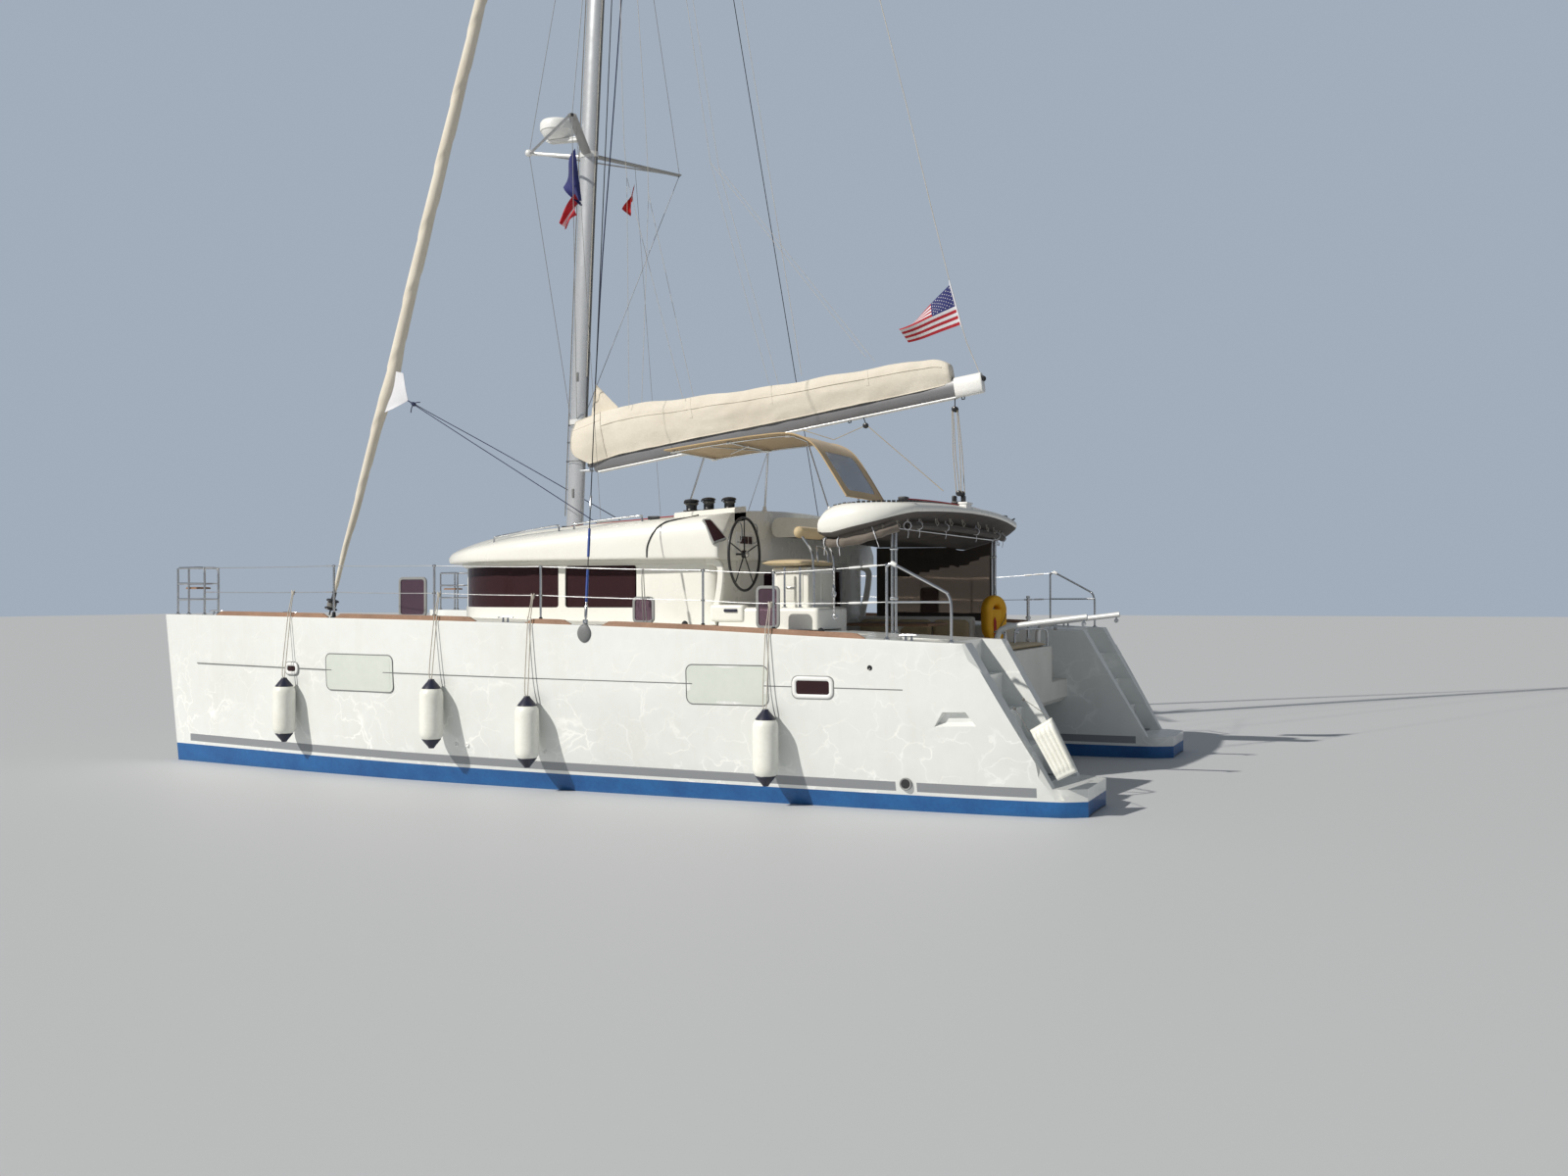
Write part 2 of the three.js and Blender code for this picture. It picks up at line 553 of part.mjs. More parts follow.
// One post a side under the hardtop, tied by a cross bar below its ceiling
const post = { x: -3656, y: 2010, top: 2950, radius: 28, cross: 2805 };
function hardtopFrame() {
  const legs = sides.map(([, s]) => rod([post.x, post.y * s, 1560], [post.x, post.y * s, post.top], post.radius, 10));
  const cross = rod([post.x, -post.y, post.cross], [post.x, post.y, post.cross], 16);
  const neighbours = sides.flatMap(([name]) => room(hulls[name], ['+z']));
  return cut(join(legs, cross), neighbours, room(hardtopSolid, ['-z']));
}
const frameSolid = hardtopFrame();
add('hardtop_frame', frameSolid, 'steel');

// Side curtains: the starboard one hangs, the port one is rolled up
function starboardCurtain() {
  const panel = profile([[-1900, 1770], [-3600, 1740], [-3600, 2880], [-3300, 2780], [-3060, 2750],
    [-2500, 2790], [-1900, 2780]], -2350, -2344);
  return cut(panel, room(hardtopSolid, ['-z', '+y', '-y']));
}
add('curtain_starboard', starboardCurtain(), 'curtain');

// Cockpit seating round a table
function cockpitSeat() {
  const z = bridge.floor + seat;
  const bench = [block([-3900, -3500], [-1700, 900], [z, 1430]), block([-3500, -1900], [-1700, -1200], [z, 1430]),
    block([-3500, -1900], [-1700, -1560], [1400, 1800])];
  const neighbours = [...room(hulls.starboard, ['+y']), ...room(houseSolid, ['-x'])];
  return cut(join(bench), neighbours);
}
add('cockpit_seat', cockpitSeat(), 'cushion');

function cockpitTable() {
  const z = bridge.floor + seat;
  return join(block([-3350, -2250], [-950, -150], [1700, 1735]), rod([-2800, -550, z], [-2800, -550, 1710], 55, 12));
}
add('cockpit_table', cockpitTable(), 'teak');

// Forward beam, catwalk, trampolines and anchor
const beamSolid = cut(rod([beamAt.x, -2700, beamAt.z], [beamAt.x, 2700, beamAt.z], beamAt.radius, 14),
  sides.flatMap(([name, s]) => room(hulls[name], [s > 0 ? '-y' : '+y'])));
add('forward_beam', beamSolid, 'aluminium');

function catwalk() {
  const walk = block([3200, 5600], [-250, 250], [1690, 1740]);
  const spine = block([3200, 5600], [-90, 90], [1560, 1700]);
  return cut(join(walk, spine), room(bridgeSolid, ['+x']), room(beamSolid, ['-x', '+z', '-z']));
}
const catwalkSolid = catwalk();
add('catwalk', catwalkSolid, 'gelcoat');

function trampoline(side) {
  const net = flipped(plate([[bridge.fore + seat, 250 + seat], [beamAt.x + 40, 250 + seat], [beamAt.x + 40, 2700],
    [bridge.fore + seat, 2200]], 1715, 1723), side);
  return cut(net, room(hulls[side > 0 ? 'port' : 'starboard'], [side > 0 ? '-y' : '+y']), room(beamSolid, ['-x', '+z', '-z']));
}
sides.forEach(([name, side]) => add(`trampoline_${name}`, trampoline(side), 'net'));

function anchor() {
  const shank = block([4300, 5150], [-12, 12], [1470, 1560 - seat]);
  const fluke = profile([[4250, 1560 - seat], [4750, 1340], [4650, 1300], [4150, 1440]], -150, 150);
  return join(shank, cut(fluke, block([4000, 5000], [-200, 200], [1560 - seat, 1700])));
}
add('anchor', anchor(), 'steel');

// Bow rails, each with a small seat
function bowRail(side) {
  const deck = 1840;
  const top = 2450;
  const corners = [[5200, 2860], [5780, 2730], [5300, 2530]];
  const rail = tube(corners.map(([x, y]) => [x, y, top]), 13);
  const legs = [...corners, [5540, 2784]].map(([x, y]) => rod([x, y, deck], [x, y, top + 6], 14));
  const perch = block([5380, 5640], [2560, 2800], [2180, 2205]);
  const whole = flipped(join(rail, legs, perch, rod([5300, 2530, 2190], [5500, 2600, 2190], 11, 6)), side);
  return cut(whole, room(hulls[side > 0 ? 'port' : 'starboard'], ['+z']));
}
sides.forEach(([name, side]) => add(`bow_rail_${name}`, bowRail(side), 'steel'));

// Stanchions, two wires and the stern rail are one piece on each side
const stanchions = [2780, 1200, -230, -2150, -2920];
const railInset = 60;
function lifelines(side) {
  const spots = stanchions.map((x) => ({ x, y: along(x, 'deckOut') - railInset, z: along(x, 'sheer') }));
  const foot = [5200 - 14.8 - seat, 2860];
  const uprights = spots.map(({ x, y, z }) => rod([x, y, z - 5], [x, y, z + railHeight], 13, 6));
  const wire = (part) => tube([[foot[0], foot[1], 1857 + railHeight * part - 20],
    ...spots.map(({ x, y, z }) => [x, y, z + railHeight * part - 8]), [-4080, 3450, 1660 + 720 * part]], 5, 4);
  const stern = tube([[-4080, 3450, 1640], [-4080, 3450, 2390], [-4710, 3400, 2080], [-4710, 3400, 1610]], 13);
  const middle = rod([-4080, 3450, 2020], [-4710, 3400, 2020], 10, 6);
  const whole = flipped(join(uprights, wire(1), wire(0.5), stern, middle), side);
  return cut(whole, room(hulls[side > 0 ? 'port' : 'starboard'], ['+z']));
}
sides.forEach(([name, side]) => add(`lifelines_${name}`, lifelines(side), 'steel'));

// Mast: an oval tube whose upper part bends aft
const mastLine = [[mastFoot.z, mastFoot.x, 1], [9000, 1262, 1], [15000, 895, 1], [17500, 715, 0.95], [19300, 575, 0.8]];
function mastX(z) {
  const k = Math.max(1, mastLine.findIndex(([at]) => at >= z));
  const [[z0, x0], [z1, x1]] = [mastLine[k - 1], mastLine[k]];
  return lerp(x0, x1, (z - z0) / (z1 - z0));
}
function mastSolid(extra) {
  const ring = ([z, x, size]) => Array.from({ length: 16 }, (unused, i) => {
    const turn = rad(22.5 * i);
    return [x + (mastHalf.along + extra) * size * Math.cos(turn), (mastHalf.across + extra) * size * Math.sin(turn), z];
  });
  return loft(mastLine.map(ring));
}
const rake = Math.atan2(mastLine[0][1] - mastLine[1][1], mastLine[1][0] - mastLine[0][0]);
const pinRod = (half, radius) => rod([half * Math.sin(rake), 0, -half * Math.cos(rake)],
  [-half * Math.sin(rake), 0, half * Math.cos(rake)], radius, 12);
function mast() {
  const shaft = mastSolid(0);
  const step = block([1340, 1740], [-150, 150], [2890, 2990]);
  const pin = pinRod(90, 11).translate([gooseneck.x, 0, gooseneck.z]);
  const crane = block([250, 600], [-25, 25], [19230, 19300]);
  const tang = block([mastX(tangZ), mastX(tangZ) + 190], [-20, 20], [tangZ, tangZ + 20]);
  const lugs = [-1, 1].map((s) => block([gooseneck.x - 30, gooseneck.x + 140], [-60, 60],
    s > 0 ? [gooseneck.z + 66, gooseneck.z + 90] : [gooseneck.z - 90, gooseneck.z - 66]));
  return cut(join(shaft, step, lugs, pin, crane, tang), room(roofSolid, ['+z']));
}
add('mast', mast(), 'aluminium');

// Spreaders, forward strut and the wires that brace the mast, clamped round it
const spreaderTip = { x: 700, y: 1420, z: 7990 };
const strutTip = { x: 2260, z: 8160 };
const bracing = { low: 4400, mid: 7960, high: 13700 };
function spreaders() {
  const inner = mastSolid(1);
  const collars = Object.values(bracing).map((z) => {
    const ring = Array.from({ length: 16 }, (unused, i) => [
      mastX(z) + 150 * Math.cos(rad(22.5 * i)), 105 * Math.sin(rad(22.5 * i))]);
    return plate(ring, z - 40, z + 40);
  });
  const struts = sides.map(([, s]) => rod([mastX(7960), 60 * s, 7970], [spreaderTip.x, spreaderTip.y * s, spreaderTip.z], 24));
  const jumper = rod([mastX(7960), 0, 7940], [strutTip.x, 0, strutTip.z - 60], 16);
  const prop = rod([strutTip.x, 0, strutTip.z - 70], [strutTip.x, 0, strutTip.z], 14);
  const wires = sides.flatMap(([, s]) => [bracing.low, bracing.high].map((z) => rod(
    [spreaderTip.x, spreaderTip.y * s, spreaderTip.z], [mastX(z), 90 * s, z], 5, 6)));
  const foreWires = [bracing.low, bracing.high].map((z) => rod([strutTip.x, 0, strutTip.z - 60],
    [mastX(z) + 130, 0, z], 5, 6));
  const ties = sides.map(([, s]) => rod([strutTip.x, 0, strutTip.z - 60], [spreaderTip.x, spreaderTip.y * s, spreaderTip.z], 5, 6));
  return cut(join(collars, struts, jumper, prop, wires, foreWires, ties), inner);
}
const spreaderSolid = spreaders();
add('spreaders', spreaderSolid, 'aluminium');

function radar() {
  const dome = solidOf(new THREE.LatheGeometry([[0, 0], [215, 0], [240, 60], [238, 190], [205, 250], [0, 275]]
    .map(([r, h]) => new THREE.Vector2(r, h)), 20).rotateX(Math.PI / 2).translate(1800, 0, 8215));
  const bracket = block([1340, 1960], [-70, 70], [8160, 8216]);
  return cut(join(dome, bracket), room(mastSolid(0), ['+x']), room(spreaderSolid, ['+z']));
}
add('radar', radar(), 'gelcoat');

// Boom and stowed mainsail turn about the gooseneck pin, which lies along the mast
const boomLength = Math.hypot(gooseneck.x - boomEnd.x, boomEnd.z - gooseneck.z);
const boomRise = Math.atan2(boomEnd.z - gooseneck.z, gooseneck.x - boomEnd.x);
const boomGroup = new THREE.Group();
boomGroup.position.set(gooseneck.x, 0, gooseneck.z);
boomGroup.rotation.y = boomRise;
boat.add(boomGroup);

function boom() {
  const section = (x, k) => [[0, 125], [50, 105], [72, 40], [72, -60], [40, -120], [-40, -120], [-72, -60], [-72, 40], [-50, 105]]
    .map(([y, z]) => [x, y * k, z * k]);
  const spar = loft([section(-90, 0.96), section(-boomLength + 20, 0.96)]);
  const endCap = loft([section(-boomLength + 30, 1.06), section(-boomLength, 1.0)]);
  const tongue = block([-150, 28], [-22, 22], [-40, 40]);
  const bore = solidOf(geometryOf(pinRod(300, 11.6)).rotateY(-boomRise));
  return cut(join(spar, endCap, tongue), bore);
}
add('boom', boom(), 'aluminium', boomGroup);

const bagLine = [
  { x: -115, low: 120.4, high: 310, wide: 130 }, { x: -330, low: 120.4, high: 620, wide: 150 },
  { x: -1500, low: 120.4, high: 590, wide: 165 }, { x: -2850, low: 120.4, high: 480, wide: 165 },
  { x: -4180, low: 120.4, high: 425, wide: 150 }, { x: -4930, low: 120.4, high: 320, wide: 120 },
  { x: -5080, low: 120.4, high: 200, wide: 80 },
];
function sailBag() {
  const ring = ({ x, low, high, wide }) => [[-wide * 0.55, low], [-wide, low + 60], [-wide * 0.85, lerp(low, high, 0.6)],
    [-wide * 0.3, high], [wide * 0.3, high], [wide * 0.85, lerp(low, high, 0.6)], [wide, low + 60], [wide * 0.55, low]]
    .map(([y, z]) => [x, y, z]);
  return loft(bagLine.map(ring));
}
add('sail_bag', sailBag(), 'bag', boomGroup);

// Furled headsail on its stay, with the drum at the foot
const stayFoot = new THREE.Vector3(5722, 0, beamAt.z + beamAt.radius + seat);
const stayHead = new THREE.Vector3(mastX(tangZ) + mastHalf.along + 45, 0, tangZ - 3.4);
const stayGroup = new THREE.Group();
stayGroup.position.copy(stayFoot);
stayGroup.quaternion.setFromUnitVectors(new THREE.Vector3(0, 0, 1), stayHead.clone().sub(stayFoot).normalize());
boat.add(stayGroup);
const stayLength = stayFoot.distanceTo(stayHead);
const lathe = (rows, count) => solidOf(new THREE.LatheGeometry(
  rows.map(([r, h]) => new THREE.Vector2(r, h)), count).rotateX(Math.PI / 2));

function furler() {
  return lathe([[0, 3.6], [10, 3.6], [12, 150], [85, 155], [92, 170], [60, 185], [60, 270], [92, 285], [85, 300],
    [30, 310], [30, 420 - seat], [0, 420 - seat]], 14);
}
add('furler_drum', furler(), 'black', stayGroup);

function headsail() {
  return lathe([[0, 420], [45, 430], [88, 700], [98, 2500], [95, 6000], [80, 10000], [55, 13500], [22, 15200],
    [10, 15300], [10, stayLength], [0, stayLength]], 10);
}
add('furled_headsail', headsail(), 'bag', stayGroup);

// Cap shrouds from the hull side to the mast
const chainplate = { x: -780, y: 3560 };
function shroud(side) {
  const foot = new THREE.Vector3(chainplate.x, chainplate.y * side, along(chainplate.x, 'sheer') + 10);
  const head = new THREE.Vector3(hounds.x, 60 * side, hounds.z);
  const at = (t) => foot.clone().lerp(head, t).toArray();
  const wire = rod(at(0), at(1), 6, 6);
  const bottleScrew = rod(at(0.012), at(0.04), 16);
  const lug = block([chainplate.x - 30, chainplate.x + 30], [side * chainplate.y - 8, side * chainplate.y + 8], [1600, foot.z + 60]);
  const tang = block([hounds.x - 40, hounds.x + 60], [Math.min(0, 90 * side), Math.max(0, 90 * side)], [hounds.z - 60, hounds.z + 20]);
  return cut(join(wire, bottleScrew, lug, tang), room(hulls[side > 0 ? 'port' : 'starboard'], ['+z']),
    room(mastSolid(0), ['-x', '+y', '-y']), block([-2000, 2000], [side > 0 ? -500 : seat / -2, side > 0 ? seat / 2 : 500], [17000, 18000]));
}
sides.forEach(([name, side]) => add(`shroud_${name}`, shroud(side), 'steel'));

// Davits over the stern
sides.forEach(([name, side]) => {
  const arm = tube([[-4500, 950, 1450 + seat], [-4500, 950, 1610], [-4545, 950, 1695], [-4640, 950, 1735], [-5500, 950, 1845]], 32, 8);
  const foot = block([-4590, -4410], [860, 1040], [1450 + seat, 1462]);
  add(`davit_${name}`, flipped(cut(join(arm, foot), block([-5000, -4000], [0, 2000], [1000, 1450 + seat])), side), 'aluminium');
});

// Deck hatch lids stand open on a hinge along their inner edge, its barrel just above the deck
sides.forEach(([name, side]) => deckHatches.forEach((hatch) => {
  const half = hatch.wide / 2;
  const pane = block([-half, half], [-hatchThick, 0], [0, hatch.deep]);
  const barrel = rod([-half * 0.7, 0, 0], [half * 0.7, 0, 0], hingeLift - seat, 8);
  const lid = add(`hatch_${hatch.at}_${name}`, flipped(join(pane, barrel), side), 'glass');
  lid.position.set(hatch.x, side * hatch.y, along(hatch.x + half * 0.7, 'sheer') + hingeLift);
}));

// Fenders hang from the lifelines on the port side, each snug against the topsides
const fenders = [{ x: 3480, top: 1130, snug: 0 }, { x: 1120, top: 1180, snug: 0 }, { x: -140, top: 1030, snug: 0 },
  { x: -2890, top: 970, snug: 1 }];
fenders.forEach(({ x, top, snug }, i) => {
  const taper = (outerSide(x + 50, top - 160) - outerSide(x - 50, top - 160)) / 100;
  const y = outerSide(x, top - 160) + 130.8 * Math.hypot(1, taper) - snug;
  const body = lathe([[0, -760], [28, -760], [34, -730], [110, -640], [130, -600], [130, -160], [110, -120], [34, -30],
    [28, 0], [0, 0]], 14).translate([x, y, top]);
  const deck = [x, along(x, 'deckOut') + 14, along(x, 'sheer') + 8];
  const rope = tube([[x, y, top - 20], deck, [x, along(x, 'deckOut') - 45, along(x, 'sheer') + 275]], 6, 6);
  add(`fender_${i + 1}`, join(body, rope), 'fender');
});

export default boat;
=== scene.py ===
import math

import bmesh
import bpy
from mathutils import Matrix, Vector, noise


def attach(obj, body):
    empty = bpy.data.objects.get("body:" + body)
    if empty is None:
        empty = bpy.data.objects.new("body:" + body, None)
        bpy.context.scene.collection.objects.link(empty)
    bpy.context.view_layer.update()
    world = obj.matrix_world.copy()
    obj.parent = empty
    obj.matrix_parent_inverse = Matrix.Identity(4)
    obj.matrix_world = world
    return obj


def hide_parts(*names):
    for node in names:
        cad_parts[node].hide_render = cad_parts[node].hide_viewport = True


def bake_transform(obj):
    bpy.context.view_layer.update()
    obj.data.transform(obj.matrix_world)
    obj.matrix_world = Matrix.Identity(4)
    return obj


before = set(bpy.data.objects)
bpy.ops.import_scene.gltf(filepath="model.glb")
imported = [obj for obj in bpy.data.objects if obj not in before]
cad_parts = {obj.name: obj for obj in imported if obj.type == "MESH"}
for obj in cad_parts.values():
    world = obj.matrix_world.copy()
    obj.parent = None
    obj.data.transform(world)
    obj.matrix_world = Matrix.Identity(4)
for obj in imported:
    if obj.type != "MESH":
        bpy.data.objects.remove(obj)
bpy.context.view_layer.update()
scene = bpy.context.scene
print("frame loaded")
scene.view_settings.view_transform = "Standard"

# camera of the photograph: eye about two metres over the water, off the port quarter
camera = {"at": (-8.706, 16.594, 2.103), "turn": 0.409474, "pitch": 0.003961, "roll": -0.002459,
          "lens": 1471.19 / 1600 * 36}


def placeCamera():
    turn, pitch, roll = camera["turn"], camera["pitch"], camera["roll"]
    right = Vector((-math.cos(turn), -math.sin(turn), 0))
    ahead = Vector((math.sin(turn), -math.cos(turn), 0))
    up = Vector((0, 0, 1))
    ahead, up = ahead * math.cos(pitch) + up * math.sin(pitch), up * math.cos(pitch) - ahead * math.sin(pitch)
    right, up = right * math.cos(roll) + up * math.sin(roll), up * math.cos(roll) - right * math.sin(roll)
    data = bpy.data.cameras.new("photoCamera")
    data.lens, data.sensor_width, data.clip_end = camera["lens"], 36, 400
    eye = bpy.data.objects.new("photoCamera", data)
    scene.collection.objects.link(eye)
    eye.matrix_world = Matrix((right, up, -ahead)).transposed().to_4x4()
    eye.location = camera["at"]
    scene.camera = eye


placeCamera()

# plain studio: pale floor at the waterline, soft sky, sun from the port bow
studio = {"floorHalf": 120, "floorTone": (0.58, 0.59, 0.60, 1), "sky": (0.78, 0.86, 0.97, 1), "skyPower": 0.26,
          "backdrop": (0.36, 0.42, 0.50, 1), "sunPower": 3.5, "sunSpread": 0.8, "sunFrom": (0.44, 0.667, 0.60)}


def dressStudio():
    world = bpy.data.worlds.new("studioSky")
    scene.world = world
    world.use_nodes = True
    back = world.node_tree.nodes["Background"]
    back.inputs["Color"].default_value = studio["sky"]
    back.inputs["Strength"].default_value = studio["skyPower"]
    nodes, links = world.node_tree.nodes, world.node_tree.links
    kinds = ("ShaderNodeBackground", "ShaderNodeLightPath", "ShaderNodeMixShader")
    plain, seen, choice = [nodes.new(kind) for kind in kinds]
    plain.inputs["Color"].default_value = studio["backdrop"]
    links.new(seen.outputs["Is Camera Ray"], choice.inputs[0])
    links.new(back.outputs[0], choice.inputs[1])
    links.new(plain.outputs[0], choice.inputs[2])
    links.new(choice.outputs[0], nodes["World Output"].inputs["Surface"])
    sun = bpy.data.lights.new("studioSun", "SUN")
    sun.energy, sun.angle, sun.color = studio["sunPower"], math.radians(studio["sunSpread"]), (1, 0.965, 0.90)
    lamp = bpy.data.objects.new("studioSun", sun)
    scene.collection.objects.link(lamp)
    lamp.rotation_mode = "QUATERNION"
    lamp.rotation_quaternion = Vector(studio["sunFrom"]).to_track_quat("Z", "Y")
    half = studio["floorHalf"]
    mesh = bpy.data.meshes.new("studioFloor")
    mesh.from_pydata([(-half, -half, 0), (half, -half, 0), (half, half, 0), (-half, half, 0)], [], [(0, 1, 2, 3)])
    floor = bpy.data.objects.new("studioFloor", mesh)
    scene.collection.objects.link(floor)
    tone = bpy.data.materials.new("studioPaper")
    tone.use_nodes = True
    shader = tone.node_tree.nodes["Principled BSDF"]
    shader.inputs["Base Color"].default_value = studio["floorTone"]
    shader.inputs["Roughness"].default_value = 0.6
    mesh.materials.append(tone)


dressStudio()


# shader groups, each built once
def groupTree(name, inputs, outputs):
    tree = bpy.data.node_groups.new(name, "ShaderNodeTree")
    for label, kind, value in inputs:
        socket = tree.interface.new_socket(name=label, in_out="INPUT", socket_type=kind)
        if value is not None:
            socket.default_value = value
    for label, kind in outputs:
        tree.interface.new_socket(name=label, in_out="OUTPUT", socket_type=kind)
    return tree, tree.nodes.new("NodeGroupInput"), tree.nodes.new("NodeGroupOutput")


# short hand for adding and joining nodes of one tree
class Wires:
    def __init__(self, tree):
        self.tree = tree

    def node(self, kind, inputs=None, **settings):
        made = self.tree.nodes.new(kind)
        for key, value in settings.items():
            setattr(made, key, value)
        for key, value in (inputs or {}).items():
            if isinstance(value, bpy.types.NodeSocket):
                self.tree.links.new(value, made.inputs[key])
            else:
                made.inputs[key].default_value = value
        return made

    def maths(self, operation, a, b=0.0, c=None):
        inputs = {0: a, 1: b} if c is None else {0: a, 1: b, 2: c}
        return self.node("ShaderNodeMath", inputs, operation=operation).outputs[0]

    def remap(self, value, low, high, toLow=0.0, toHigh=1.0):
        return self.node("ShaderNodeMapRange", {"Value": value, "From Min": low, "From Max": high,
                                                "To Min": toLow, "To Max": toHigh}).outputs[0]

    def mix(self, share, a, b):
        made = self.node("ShaderNodeMix", data_type="RGBA")
        for key, value in (("Factor", share), ("A", a), ("B", b)):
            socket = [s for s in made.inputs if s.name == key and (key == "Factor" or s.type == "RGBA")][0]
            if isinstance(value, bpy.types.NodeSocket):
                self.tree.links.new(value, socket)
            else:
                socket.default_value = value
        return [s for s in made.outputs if s.type == "RGBA"][0]

    def join(self, a, b):
        self.tree.links.new(a, b)


def buildTone():
    # cloudy change of tone, with finer speckle over it
    tree, start, end = groupTree("cloudyTone", [
        ("Vector", "NodeSocketVector", None), ("Tone", "NodeSocketColor", (0.8, 0.8, 0.8, 1)),
        ("Other", "NodeSocketColor", (0.7, 0.7, 0.7, 1)), ("Cloud", "NodeSocketFloat", 1.5),
        ("Speckle", "NodeSocketFloat", 40.0), ("Amount", "NodeSocketFloat", 0.5)], [
        ("Color", "NodeSocketColor"), ("Mask", "NodeSocketFloat")])
    w = Wires(tree)
    cloud = w.node("ShaderNodeTexNoise",
                   {"Vector": start.outputs["Vector"], "Scale": start.outputs["Cloud"], "Detail": 4.0})
    fine = w.node("ShaderNodeTexNoise",
                  {"Vector": start.outputs["Vector"], "Scale": start.outputs["Speckle"], "Detail": 3.0})
    both = w.maths("MULTIPLY_ADD", fine.outputs[0], 0.35, w.maths("MULTIPLY", cloud.outputs[0], 0.65))
    mask = w.remap(both, 0.36, 0.66)
    share = w.maths("MULTIPLY", mask, start.outputs["Amount"])
    w.join(w.mix(share, start.outputs["Tone"], start.outputs["Other"]), end.inputs["Color"])
    w.join(mask, end.inputs["Mask"])
    return tree


def buildGrain():
    # fine surface relief: noise stretched along one axis
    tree, start, end = groupTree("surfaceGrain", [
        ("Vector", "NodeSocketVector", None), ("Scale", "NodeSocketFloat", 60.0),
        ("Stretch", "NodeSocketVector", (1, 1, 1))], [("Height", "NodeSocketFloat")])
    w = Wires(tree)
    pulled = w.node("ShaderNodeVectorMath", {0: start.outputs["Vector"], 1: start.outputs["Stretch"]},
                    operation="MULTIPLY")
    grain = w.node("ShaderNodeTexNoise", {"Vector": pulled.outputs[0], "Scale": start.outputs["Scale"], "Detail": 5.0,
                                          "Roughness": 0.6})
    w.join(grain.outputs[0], end.inputs["Height"])
    return tree


def buildWeave():
    # plain weave: warp and weft cross over each other
    tree, start, end = groupTree("plainWeave", [
        ("Vector", "NodeSocketVector", None), ("Threads", "NodeSocketFloat", 900.0)], [
        ("Height", "NodeSocketFloat"), ("Mask", "NodeSocketFloat")])
    w = Wires(tree)
    parts = w.node("ShaderNodeSeparateXYZ", {0: start.outputs["Vector"]})
    along = w.maths("ADD", parts.outputs["X"], w.maths("MULTIPLY", parts.outputs["Y"], 0.31))
    up = w.maths("ADD", parts.outputs["Z"], w.maths("MULTIPLY", parts.outputs["Y"], 0.73))
    warp = w.maths("SINE", w.maths("MULTIPLY", along, start.outputs["Threads"]))
    weft = w.maths("SINE", w.maths("MULTIPLY", up, start.outputs["Threads"]))
    crossed = w.maths("MULTIPLY", warp, weft)
    w.join(w.remap(crossed, -1.0, 1.0), end.inputs["Height"])
    soft = w.node("ShaderNodeTexNoise", {"Vector": start.outputs["Vector"], "Scale": 14.0, "Detail": 6.0})
    w.join(w.remap(soft.outputs[0], 0.35, 0.7), end.inputs["Mask"])
    return tree


def buildStreaks():
    # weathering that runs down the surface
    tree, start, end = groupTree("runStreaks", [
        ("Vector", "NodeSocketVector", None), ("Scale", "NodeSocketFloat", 3.0),
        ("Length", "NodeSocketFloat", 0.12)], [("Mask", "NodeSocketFloat")])
    w = Wires(tree)
    parts = w.node("ShaderNodeSeparateXYZ", {0: start.outputs["Vector"]})
    run = w.node("ShaderNodeCombineXYZ", {"X": parts.outputs["X"], "Y": parts.outputs["Y"],
                                          "Z": w.maths("MULTIPLY", parts.outputs["Z"], start.outputs["Length"])})
    veins = w.node("ShaderNodeTexNoise", {"Vector": run.outputs[0], "Scale": start.outputs["Scale"], "Detail": 6.0,
                                          "Roughness": 0.62, "Distortion": 0.4})
    w.join(w.remap(veins.outputs[0], 0.5, 0.72), end.inputs["Mask"])
    return tree


def buildRipples():
    # thin wandering net of light, as moving water throws on a pale wall
    tree, start, end = groupTree("rippleNet", [
        ("Vector", "NodeSocketVector", None), ("Scale", "NodeSocketFloat", 2.5), ("Line", "NodeSocketFloat", 0.08)], [
        ("Mask", "NodeSocketFloat")])
    w = Wires(tree)
    drift = w.node("ShaderNodeTexNoise", {"Vector": start.outputs["Vector"], "Scale": 2.2, "Detail": 4.0})
    shift = w.node("ShaderNodeVectorMath", {0: drift.outputs["Color"], 1: (0.85, 0.0, 0.85)}, operation="MULTIPLY")
    flat = w.node("ShaderNodeVectorMath", {0: start.outputs["Vector"], 1: (1.0, 0.0, 1.15)}, operation="MULTIPLY")
    bent = w.node("ShaderNodeVectorMath", {0: flat.outputs[0], 1: shift.outputs[0]}, operation="ADD")
    cells = w.node("ShaderNodeTexVoronoi", {"Vector": bent.outputs[0], "Scale": start.outputs["Scale"]},
                   feature="DISTANCE_TO_EDGE")
    thin = w.remap(cells.outputs["Distance"], start.outputs["Line"], 0.0)
    patchy = w.node("ShaderNodeTexNoise", {"Vector": start.outputs["Vector"], "Scale": 2.3, "Detail": 2.0})
    w.join(w.maths("MULTIPLY", w.maths("POWER", thin, 1.8), w.remap(patchy.outputs[0], 0.42, 0.66)), end.inputs["Mask"])
    return tree


def buildTwist():
    # laid strands of a rope, from the rope's own lengthwise and round coordinates
    tree, start, end = groupTree("ropeTwist", [
        ("UV", "NodeSocketVector", None), ("Lay", "NodeSocketFloat", 60.0), ("Strands", "NodeSocketFloat", 3.0)], [
        ("Height", "NodeSocketFloat")])
    w = Wires(tree)
    parts = w.node("ShaderNodeSeparateXYZ", {0: start.outputs["UV"]})
    turn = w.maths("ADD", w.maths("MULTIPLY", parts.outputs["X"], start.outputs["Strands"]),
                   w.maths("MULTIPLY", parts.outputs["Y"], start.outputs["Lay"]))
    wave = w.maths("SINE", w.maths("MULTIPLY", turn, 2 * math.pi))
    w.join(w.maths("ABSOLUTE", wave), end.inputs["Height"])
    return tree


groups = {"tone": buildTone(), "grain": buildGrain(), "weave": buildWeave(), "streaks": buildStreaks(),
          "ripples": buildRipples(), "twist": buildTwist()}


